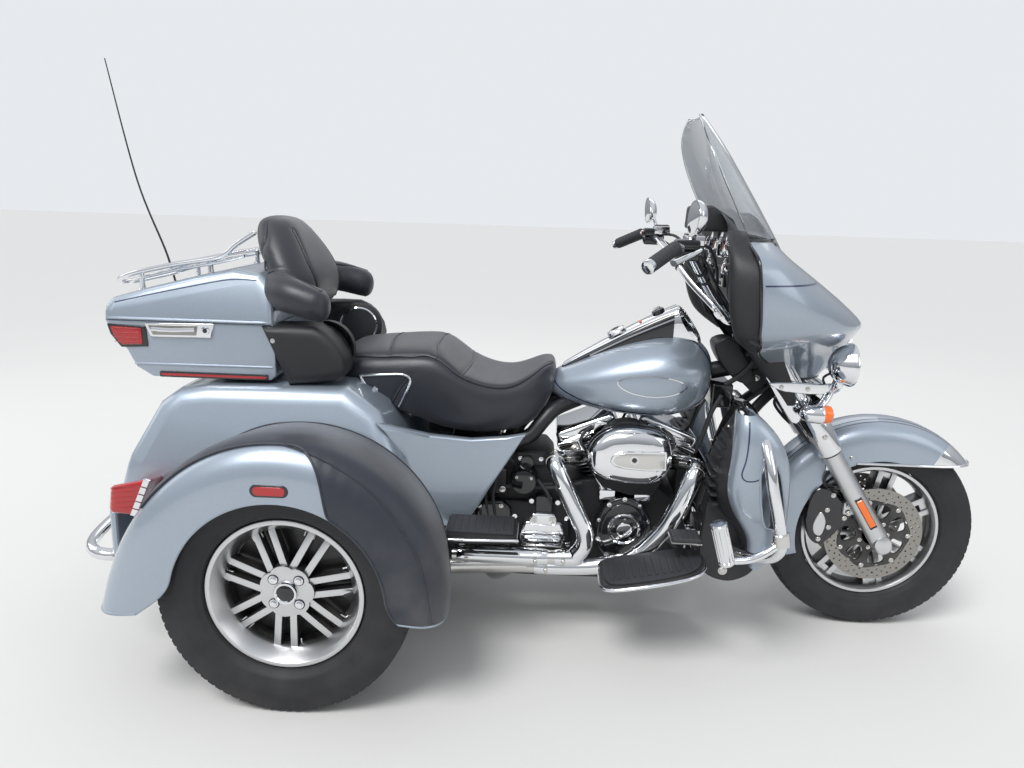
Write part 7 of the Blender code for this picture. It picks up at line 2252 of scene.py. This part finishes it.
def makeFairing():
    piece = newPiece("fairing")
    rows = [arcRow(nose, side, half, z, power) for z, nose, side, half, power in fairRows]
    surface = smoothed(gridMesh(rows), 2)
    probe = treeOf(surface)
    shell = smoothed(surface.copy(), 0, 0.0048, -1)
    d = lampHead
    shell = carved(shell, rod((0.8, 0, d["z"]), (1.1, 0, d["z"]), d["r"] + 0.004, sides=64))
    add(piece, "paint", shell)
    for s in (-1, 1):
        add(piece, "stripe", ribbonOn(probe, [(0.6, 1.106), (0.66, 1.107), (0.72, 1.107), (0.77, 1.106)],
                                      0.004, s, 0.008, 0.0006))
    # black edge along the back of the shell
    for line in ([row[0] for row in rows], [row[-1] for row in rows]):
        add(piece, "gloss", pipe(line, 0.0044, 10, 0.015))
    add(piece, "gloss", pipe(rows[0], 0.0036, 10, 0.015))
    add(piece, "gloss", pipe(rows[-1], 0.004, 10, 0.015))
    # black side walls from the shell's edge back towards the rider
    for s in (-1, 1):
        wall = []
        for z, back, half in ((0.905, 0.622, 0.236), (0.94, 0.566, 0.306), (0.975, 0.54, 0.338),
                              (1.05, 0.52, 0.356), (1.11, 0.514, 0.357), (1.172, 0.516, 0.345),
                              (1.211, 0.52, 0.29), (1.236, 0.526, 0.24)):
            shellX, shellY = next((a[2] + (b[2] - a[2]) * t, a[3] + (b[3] - a[3]) * t)
                                  for a, b in zip(fairRows, fairRows[1:])
                                  for t in [(min(z, 1.2119) - a[0]) / (b[0] - a[0])] if 0 <= t <= 1)
            wall.append([Vector((shellX + 0.004, s * (shellY - 0.004), z)),
                         Vector(((shellX + back) / 2, s * (shellY + half) / 2 * 1.004, z)),
                         Vector((back, s * half, z)), Vector((back + 0.004, s * (half - 0.03), z)),
                         Vector((back + 0.03, s * (half - 0.055), z))])
        add(piece, "plastic", smoothed(gridMesh(wall), 2, 0.004, 0))
    # brackets inside, down to the fork
    for s in (-1, 1):
        add(piece, "satin",
            pipe([(0.7, s * 0.06, 0.945), (0.76, s * 0.085, 0.93), (0.84, s * 0.12, 0.925),
                  (0.885, s * 0.15, 0.922)], 0.0075, 10, 0.015))
    place(piece, "steering", "paint", "fairing", sharp=40)

    piece = newPiece("headlight")
    x, z, r = d["front"], d["z"], d["r"]
    spot = Vector((0, 0, z))
    add(piece, "chrome",
        lathe([(r - 0.03, 0.85), (r - 0.004, 0.868), (r + 0.0005, 0.9), (r + 0.001, x - 0.016),
               (r - 0.002, x - 0.004), (r - 0.008, x), (r - 0.012, x - 0.004), (r - 0.013, x - 0.014)], spot,
              (1, 0, 0), 72))
    add(piece, "mirror",
        lathe([(r - 0.013, x - 0.014), (r - 0.03, x - 0.042), (r - 0.052, x - 0.064), (0.018, x - 0.076),
               (0, x - 0.078)], spot, (1, 0, 0), 56))
    add(piece, "chrome", lathe([(0.017, x - 0.066), (0.016, x - 0.04), (0.01, x - 0.034), (0, x - 0.033)],
                               spot, (1, 0, 0), 32))
    add(piece, "glass",
        lathe([(r - 0.0125, x - 0.01), (r - 0.03, x - 0.0025), (r - 0.055, x + 0.0015), (0, x + 0.003),
               (0, x - 0.0005), (r - 0.055, x - 0.002), (r - 0.03, x - 0.006), (r - 0.0125, x - 0.0135)], spot,
              (1, 0, 0), 64, closed=False))
    for y in (-0.045, -0.015, 0.015, 0.045):
        reach = math.sqrt(max((r - 0.02) ** 2 - y * y, 0))
        add(piece, "glass", rod((x - 0.0045, y, z - reach), (x - 0.0045, y, z + reach), 0.001, sides=6))
    place(piece, "steering", "chrome", "headlight", sharp=35)


def makeDash():
    piece = newPiece("dash")
    rows = []
    for z, back, half, deep in ((0.998, 0.566, 0.352, 0.11), (1.05, 0.552, 0.368, 0.12),
                                (1.11, 0.54, 0.368, 0.12), (1.168, 0.534, 0.352, 0.11),
                                (1.225, 0.54, 0.225, 0.06), (1.29, 0.515, 0.165, 0.03)):
        rows.append([Vector(p) for p in ((back, -half, z), (back + 0.01, -half * 0.8, z),
                                         (back + 0.02, -half * 0.55, z), (back + 0.028, 0, z),
                                         (back + 0.02, half * 0.55, z), (back + 0.01, half * 0.8, z),
                                         (back, half, z), (back + deep * 0.36, half - 0.006, z),
                                         (back + deep * 0.9, half * 0.55, z), (back + deep, 0, z),
                                         (back + deep * 0.9, -half * 0.55, z),
                                         (back + deep * 0.36, -half + 0.006, z))])
    bm = smoothed(gridMesh(rows, closeRound=True, capEnds=True), 1)
    softEdges(bm, 0.004, 2, 40)
    probe = treeOf(bm)
    add(piece, "plastic", bm)
    for s in (-1, 1):
        cheek = [(0.562, 0.999), (0.585, 0.95), (0.61, 0.94), (0.66, 0.999)]
        add(piece, "plastic", sheetCut(cheek, min(s * 0.25, s * 0.335), max(s * 0.25, s * 0.335), 0.008, 2))
    add(piece, "plastic", block((0.61, -0.05, 0.968), (0.72, 0.05, 1.02), 0.006))
    hood = [(0.466, 1.226), (0.47, 1.292), (0.506, 1.3), (0.57, 1.262), (0.588, 1.226)]
    hood = softEdges(sheetCut(hood, -0.105, 0.105, 0), 0.01, 3, 25)
    add(piece, "plastic", hood)
    for s in (-1, 1):
        cowl = []
        for z, x0, x1, y in ((1, 0.56, 0.64, 0.235), (0.93, 0.6, 0.7, 0.19), (0.86, 0.66, 0.74, 0.168),
                             (0.79, 0.71, 0.775, 0.158), (0.74, 0.745, 0.79, 0.156)):
            cowl.append([Vector((x0, s * (y - 0.022), z)), Vector((x0 + 0.003, s * (y - 0.008), z)),
                         Vector(((x0 + x1) / 2, s * y, z)), Vector((x1, s * (y - 0.002), z))])
        add(piece, "plastic", smoothed(gridMesh(cowl), 2, 0.003, 0))

    def dial(y, z, r, marks, hand):
        hit = probe.ray_cast(Vector((-1, y, z)), Vector((1, 0, 0)))
        spot = hit[0] + Vector((-0.001, 0, 0))
        axis = Vector((-0.97, 0, 0.2)).normalized()
        turn = Matrix.Translation(spot) @ turnTo(axis)
        add(piece, "chrome",
            lathe([(r * 0.9, -0.004), (r * 1.02, -0.004), (r * 1.04, 0.005), (r, 0.0095), (r * 0.93, 0.0085),
                   (r * 0.9, 0.003)], spot, axis, 48))
        add(piece, "dial", lathe([(r * 0.91, 0.002), (0, 0.0025)], spot, axis, 40))
        for k in range(marks):
            a = math.radians(-135 + 270 * k / (marks - 1))
            tick = block((-0.0007, r * (0.68 if k % 2 else 0.6), 0.0028), (0.0007, r * 0.82, 0.0036), 0)
            add(piece, "white", moved(tick, turn @ Matrix.Rotation(-a, 4, 'Z')))
        pointer = block((-0.001, -r * 0.12, 0.004), (0.001, r * 0.66, 0.005), 0)
        add(piece, "amberLens", moved(pointer, turn @ Matrix.Rotation(math.radians(hand), 4, 'Z')))
        add(piece, "gloss", lathe([(r * 0.1, 0.003), (r * 0.09, 0.0065), (0, 0.0068)], spot, axis, 20))
    dial(0.062, 1.196, 0.045, 15, 110)
    dial(-0.062, 1.196, 0.045, 13, 120)
    for y in (-0.138, 0.138):
        dial(y, 1.18, 0.021, 7, 30)
    for y in (-0.11, 0.11):
        dial(y, 1.13, 0.022, 7, -20)
    # radio panel with plain keys, and speakers either side
    hit = probe.ray_cast(Vector((-1, 0, 1.095)), Vector((1, 0, 0)))
    x = hit[0].x
    add(piece, "gloss", block((x - 0.008, -0.072, 1.066), (x + 0.01, 0.072, 1.128), 0.004, 3))
    add(piece, "dial", block((x - 0.0095, -0.044, 1.088), (x, 0.044, 1.12), 0.002, 2))
    for k in range(6):
        add(piece, "satin", block((x - 0.0105, -0.045 + 0.0157 * k, 1.071), (x, -0.034 + 0.0157 * k, 1.081),
                                  0.0015, 2))
    for y in (-0.06, 0.06):
        add(piece, "satin", rod((x - 0.014, y, 1.1), (x, y, 1.1), 0.0075, sides=24, round=0.0015))
    for y in (-0.25, 0.25):
        hit = probe.ray_cast(Vector((-1, y, 1.11)), Vector((1, 0, 0)))
        axis = Vector((-1, 0, 0.06))
        spot = hit[0]
        add(piece, "satin", lathe([(0.066, -0.003), (0.068, 0.004), (0.062, 0.0085), (0.057, 0.006)], spot,
                                  axis, 48))
        add(piece, "cloth", lathe([(0.058, 0.004), (0.035, 0.008), (0, 0.0095)], spot, axis, 40))
    for y in (-0.305, 0.305):
        hit = probe.ray_cast(Vector((-1, y, 1.035)), Vector((1, 0, 0)))
        if hit[0]:
            add(piece, "bolt", bolt(hit[0], (-1, 0, 0), 0.0055, 0.004))
    place(piece, "steering", "black_plastic", "dash", sharp=40)

    piece = newPiece("windshield")
    rows = [arcRow(nose, side, half, z, 0.75, 7) for z, nose, side, half in ((1.15, 0.735, 0.61, 0.255),
        (1.2, 0.706, 0.584, 0.26), (1.25, 0.672, 0.56, 0.263), (1.31, 0.632, 0.53, 0.262),
        (1.37, 0.59, 0.5, 0.256), (1.43, 0.551, 0.474, 0.239), (1.48, 0.516, 0.456, 0.198),
        (1.52, 0.489, 0.452, 0.145), (1.542, 0.472, 0.454, 0.086))]
    screen = smoothed(gridMesh(rows), 1, 0.0042, -1)
    add(piece, "screen", screen)
    edge = [row[0] for row in rows[1:]] + rows[-1][1:-1] + [row[-1] for row in rows[:0:-1]]
    add(piece, "glass", pipe(edge, 0.0026, 8, 0.015))
    foot = [p + Vector((0.0015, 0, 0.001)) for p in rows[0]]
    add(piece, "gloss", pipe(foot, 0.0036, 10, 0.015))
    probe = treeOf(gridMesh(rows))
    for y in (-0.225, 0, 0.225):
        hit = probe.ray_cast(Vector((2, y, 1.196)), Vector((-1, 0, 0)))
        if hit[0]:
            normal = hit[1] if hit[1].x > 0 else -hit[1]
            add(piece, "satin", bolt(hit[0] - normal * 0.001, normal, 0.007, 0.005))
            add(piece, "softRubber", rod(hit[0] - normal * 0.004, hit[0] - normal * 0.022, 0.0065, sides=16))
    place(piece, "steering", "clear_screen", "windshield", sharp=50)


def makeBars():
    piece = newPiece("handlebar")
    side = [(0.588, 0.075, 0.978), (0.562, 0.115, 1.006), (0.505, 0.18, 1.066), (0.436, 0.275, 1.158),
            (0.408, 0.325, 1.186), (0.366, 0.372, 1.192), (0.292, 0.455, 1.15)]
    whole = [(x, -y, z) for x, y, z in side[::-1]] + [(0.592, 0, 0.976)] + side
    add(piece, "chrome", pipe(whole, 0.0127, 20, 0.012))
    for s in (-1, 1):
        a, b = Vector((0.371, s * 0.366, 1.194)), Vector((0.29, s * 0.457, 1.148))
        axis = b - a
        length = axis.length
        profile = [(0, 0), (0.0175, 0), (0.0185, 0.003)]
        for k in range(7):
            h = 0.01 + k * (length - 0.03) / 7
            profile += [(0.0182, h), (0.0182, h + 0.009), (0.0168, h + 0.0105), (0.0168, h + 0.013)]
        add(piece, "softRubber", lathe(profile + [(0.0172, length - 0.016)], a, axis, 36))
        add(piece, "chrome",
            lathe([(0.0178, length - 0.016), (0.0188, length - 0.012), (0.018, length - 0.002),
                   (0.012, length + 0.001), (0, length + 0.0015)], a, axis, 36))
        # two halves of the switch housing
        for low, high in ((1.16, 1.187), (1.1875, 1.214)):
            add(piece, "gloss", block((0.372, s * 0.335 - 0.026, low), (0.434, s * 0.335 + 0.026, high), 0.008,
                                      3))
        for k, look in enumerate(("satin", "satin", "amberLens" if s > 0 else "redLens")):
            add(piece, look, block((0.366, s * 0.335 - 0.019 + 0.014 * k, 1.192),
                                   (0.373, s * 0.335 - 0.01 + 0.014 * k, 1.203), 0.0015, 2))
        # fluid reservoir with its cap
        add(piece, "chrome", block((0.4, s * 0.3 - 0.022, 1.196), (0.452, s * 0.3 + 0.022, 1.224), 0.006, 3))
        add(piece, "gloss", block((0.403, s * 0.3 - 0.019, 1.222), (0.449, s * 0.3 + 0.019, 1.2275), 0.002, 2))
        for dx in (-0.016, 0.016):
            add(piece, "bolt", bolt((0.426 + dx, s * 0.3, 1.227), (0, 0, 1), 0.0035, 0.002))
        lever = [(0.426, s * 0.33, 1.184), (0.432, s * 0.37, 1.19), (0.412, s * 0.415, 1.184),
                 (0.35, s * 0.475, 1.163)]
        add(piece, "chrome", pipe(lever, lambda t: 0.0062 + 0.002 * t ** 3, 14, 0.01, wide=1.25))
        add(piece, "chrome", block((0.408, s * 0.33 - 0.014, 1.174), (0.44, s * 0.33 + 0.014, 1.194), 0.005, 3))
        riser = [Vector((0.592, s * 0.045, 0.976)), Vector((0.663, s * 0.045, 0.955))]
        add(piece, "chrome", rod(riser[0], riser[1], 0.018, sides=32, round=0.003))
        add(piece, "chrome", rod((0.592, s * 0.03, 0.976), (0.592, s * 0.062, 0.976), 0.0215, sides=32,
                                 round=0.003))
        add(piece, "bolt", bolt((0.574, s * 0.045, 0.984), (-1, 0, 0.35), 0.0055, 0.005))
        # mirrors
        add(piece, "chrome",
            pipe([(0.418, s * 0.335, 1.205), (0.414, s * 0.372, 1.232), (0.408, s * 0.405, 1.258),
                  (0.404, s * 0.425, 1.27)], lambda t: 0.0065 - 0.002 * t, 14, 0.008))
        mid = Vector((0.398, s * 0.446, 1.27))
        shell = ball((0, 0, 0), (0.026, 0.08, 0.043), 40)
        for v in shell.verts:
            if v.co.x < -0.004:
                v.co.x = -0.004
            v.co.z += 0.1 * v.co.y * s
            v.co.y = math.copysign(abs(v.co.y / 0.08) ** 0.86 * 0.08, v.co.y)
        add(piece, "chrome", moved(shell, Matrix.Translation(mid)))
        face = lathe([(1, 0), (0.97, 0.1), (0, 0.12)], (0, 0, 0), (-1, 0, 0), 48)
        for v in face.verts:
            y, z = v.co.y * 0.0725, v.co.z * 0.0375
            v.co = Vector((v.co.x * 0.006 - 0.0042, y, z + 0.1 * y * s))
        add(piece, "mirror", moved(face, Matrix.Translation(mid)))
        # cables from the controls into the fairing
        add(piece, "softRubber",
            pipe([(0.43, s * 0.31, 1.196), (0.475, s * 0.262, 1.19), (0.515, s * 0.19, 1.13),
                  (0.536, s * 0.13, 1.06), (0.575, s * 0.085, 1.012)], 0.0045, 10, 0.012),
            pipe([(0.436, s * 0.33, 1.176), (0.47, s * 0.268, 1.15), (0.52, s * 0.18, 1.085),
                  (0.585, s * 0.1, 1.008)], 0.0036, 10, 0.012))
        for t in (0.35, 0.62):
            p = Vector(side[2]).lerp(Vector(side[3]), t)
            p.y *= s
            add(piece, "softRubber",
                lathe([(0.0132, -0.004), (0.015, -0.003), (0.015, 0.003), (0.0132, 0.004)], p,
                      Vector((side[3][0] - side[2][0], s * (side[3][1] - side[2][1]),
                              side[3][2] - side[2][2])), 20))
    place(piece, "steering", "chrome", "handlebar", sharp=35)


def makeLamps():
    piece = newPiece("frontLamps")
    add(piece, "chrome",
        pipe([(0.885, -0.19, 0.83), (0.885, -0.16, 0.795), (0.898, -0.08, 0.776), (0.9, 0, 0.772),
              (0.898, 0.08, 0.776), (0.885, 0.16, 0.795), (0.885, 0.19, 0.83)], 0.0125, 18, 0.012, wide=1.2))
    add(piece, "chrome", block((0.87, -0.052, 0.734), (0.912, 0.052, 0.78), 0.009, 4))
    for y in (-0.034, 0.034):
        add(piece, "bolt", bolt((0.912, y, 0.756), (1, 0, 0), 0.0065, 0.005))
    for s in (-1, 1):
        y = s * 0.19
        spot = Vector((0.856, y, 0.873))
        profile = [(0, -0.004), (0.016, -0.003), (0.03, 0.003), (0.044, 0.014), (0.054, 0.03), (0.059, 0.046),
                   (0.0612, 0.05), (0.0618, 0.056), (0.06, 0.06), (0.056, 0.0605), (0.0545, 0.056),
                   (0.054, 0.05)]
        add(piece, "chrome", lathe(profile, spot, (1, 0, 0), 56))
        add(piece, "mirror", lathe([(0.054, 0.05), (0.046, 0.032), (0.03, 0.018), (0.01, 0.012), (0, 0.012)],
                                   spot, (1, 0, 0), 48))
        add(piece, "glass",
            lathe([(0.0545, 0.0535), (0.035, 0.059), (0, 0.0615), (0, 0.0585), (0.035, 0.056),
                   (0.0545, 0.0505)], spot, (1, 0, 0), 48))
        add(piece, "chrome", lathe([(0.006, 0.014), (0.006, 0.03), (0, 0.034)], spot, (1, 0, 0), 16))
        add(piece, "chrome", rod((0.886, y, 0.806), (0.886, y, 0.832), 0.0125, sides=20, round=0.002))
        # bright bracket under the fairing, along the fork
        bracket = [(0.7, 0.806), (0.765, 0.811), (0.84, 0.809), (0.895, 0.812), (0.905, 0.8), (0.893, 0.784),
                   (0.83, 0.778), (0.768, 0.781), (0.728, 0.788)]
        y0, y1 = sorted((s * 0.1515, s * 0.164))
        add(piece, "chrome", sheetCut(bracket, y0, y1, 0.005, 3, curved=0.012))
        for x, z in ((0.735, 0.797), (0.81, 0.794), (0.88, 0.798)):
            add(piece, "bolt", bolt((x, s * 0.1635, z), (0, s, 0), 0.0055, 0.004))
        # long polished plate from the dash down along the fork
        plate = [(0.655, 0.893), (0.68, 0.88), (0.729, 0.823), (0.77, 0.778), (0.803, 0.73), (0.799, 0.692),
                 (0.78, 0.69), (0.748, 0.732), (0.71, 0.79), (0.67, 0.858)]
        y0, y1 = sorted((s * 0.149, s * 0.154))
        add(piece, "chrome", sheetCut(plate, y0, y1, 0.002, 3, curved=0.008))
        # cast arm from the bar down to the signal
        add(piece, "chrome",
            pipe([(0.88, s * 0.15, 0.79), (0.862, s * 0.17, 0.768), (0.842, s * 0.186, 0.748)],
                 lambda t: 0.011 - 0.002 * t, 16, 0.008, wide=1.3))
        spot = Vector((0.788, y, 0.727))
        add(piece, "chrome",
            lathe([(0, 0), (0.01, 0.001), (0.019, 0.008), (0.0245, 0.02), (0.0272, 0.04), (0.0286, 0.054),
                   (0.0286, 0.06), (0.0275, 0.062), (0.0255, 0.0625)], spot, (1, 0, 0), 44))
        add(piece, "amberLens",
            lathe([(0.0265, 0.06), (0.0264, 0.076), (0.024, 0.085), (0.016, 0.09), (0, 0.0915)], spot,
                  (1, 0, 0), 40))
        add(piece, "softRubber",
            pipe([(0.87, s * 0.18, 0.85), (0.85, s * 0.165, 0.83), (0.862, s * 0.15, 0.806),
                  (0.884, s * 0.13, 0.79)], 0.0035, 8, 0.01))
    place(piece, "steering", "chrome", "front_lamps", sharp=35)


makeFairing()
makeDash()
makeBars()
makeLamps()
print("front made")


# frame tubes; the axle keeps its own mesh -----
def makeFrame():
    piece = newPiece("frame")
    headAxis = Vector((-math.sin(steer["rake"]), 0, math.cos(steer["rake"])))
    low, high = Vector((axisX(0.757), 0, 0.757)), Vector((axisX(0.933), 0, 0.933))
    length = (high - low).length
    add(piece, "satin",
        lathe([(0.0198, 0), (0.036, 0), (0.0385, 0.004), (0.0385, 0.02), (0.034, 0.026),
               (0.034, length - 0.026), (0.0385, length - 0.02), (0.0385, length - 0.004), (0.036, length),
               (0.0198, length)], low, headAxis, 36, closed=True))
    add(piece, "satin",
        pipe([(axisX(0.85) - 0.01, 0, 0.85), (0.55, 0, 0.8), (0.25, 0, 0.738), (0.16, 0, 0.712),
              (0.09, 0, 0.698), (0.03, 0, 0.664), (-0.02, 0, 0.612), (-0.04, 0, 0.56)], 0.026, 24, 0.02))
    y = 0.135
    for s in (-1, 1):
        loop = [(axisX(0.79) - 0.012, s * 0.018, 0.79), (0.665, s * 0.075, 0.66), (0.605, s * y, 0.4),
                (0.56, s * y, 0.245), (0.48, s * y, 0.19), (-0.1, s * y, 0.182), (-0.215, s * y, 0.24),
                (-0.235, s * y, 0.4), (-0.225, s * 0.125, 0.54), (-0.12, s * 0.124, 0.575),
                (0.004, s * 0.122, 0.6), (0.05, s * 0.112, 0.646), (0.088, s * 0.09, 0.684),
                (0.15, s * 0.05, 0.705), (0.24, s * 0.018, 0.735)]
        add(piece, "satin", pipe(loop, lambda t: 0.0158 + 0.007 * min(1, max(0, (t - 0.72) / 0.06)), 20, 0.02))
        add(piece, "satin",
            pipe([(-0.232, s * y, 0.4157), (-0.5, s * 0.15, 0.4157), (-0.98, s * 0.15, 0.4157)], 0.014, 16,
                 0.05))
        gusset = [(0.64, 0.79), (0.742, 0.838), (0.752, 0.8), (0.7, 0.735)]
        add(piece, "satin", sheetCut(gusset, min(s * 0.014, s * 0.024), max(s * 0.014, s * 0.024), 0.002, 1))
        add(piece, "bolt", bolt((0.7, s * 0.024, 0.79), (0, s, 0), 0.007, 0.006))
    for x, z in ((0.555, 0.235), (-0.205, 0.235), (-0.225, 0.545), (0.1, 0.181)):
        add(piece, "satin", rod((x, -y, z), (x, y, z), 0.013, sides=20))
    add(piece, "satin", rod((-0.93, -0.15, 0.4157), (-0.93, 0.15, 0.4157), 0.012, sides=20))
    neck = [(0.562, 0.89), (0.59, 0.91), (0.622, 0.905), (0.655, 0.862), (0.69, 0.8), (0.69, 0.782),
            (0.64, 0.78), (0.585, 0.836)]
    add(piece, "satin", softEdges(sheetCut(neck, -0.044, 0.044, 0, curved=0.01), 0.006, 3, 40))
    add(piece, "wrinkle", block((0.468, -0.085, 0.425), (0.52, 0.085, 0.53), 0.006, 3))
    for k in range(6):
        add(piece, "wrinkle", block((0.518, -0.08, 0.436 + 0.016 * k), (0.53, 0.08, 0.44 + 0.016 * k), 0.001,
                                    1))
    # coil box and harness ahead of the tank
    add(piece, "gloss", block((0.56, -0.06, 0.7), (0.625, 0.06, 0.775), 0.008, 3))
    add(piece, "softRubber", pipe([(0.6, -0.05, 0.77), (0.65, -0.048, 0.806), (0.688, -0.044, 0.85)], 0.008,
                                  12, 0.012), pipe([(0.59, -0.062, 0.74), (0.56, -0.08, 0.69),
        (0.54, -0.085, 0.62), (0.52, -0.075, 0.56)], 0.0075, 12, 0.012),
        pipe([(0.59, 0.062, 0.74), (0.56, 0.08, 0.69), (0.54, 0.085, 0.62), (0.52, 0.075, 0.56)], 0.006, 12,
             0.012))
    place(piece, "chassis", "black_steel", "frame")


makeFrame()
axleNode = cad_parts["rear_axle"]
axleNode.data.materials.clear()
axleNode.data.materials.append(looks["wrinkle"])
print("frame made")
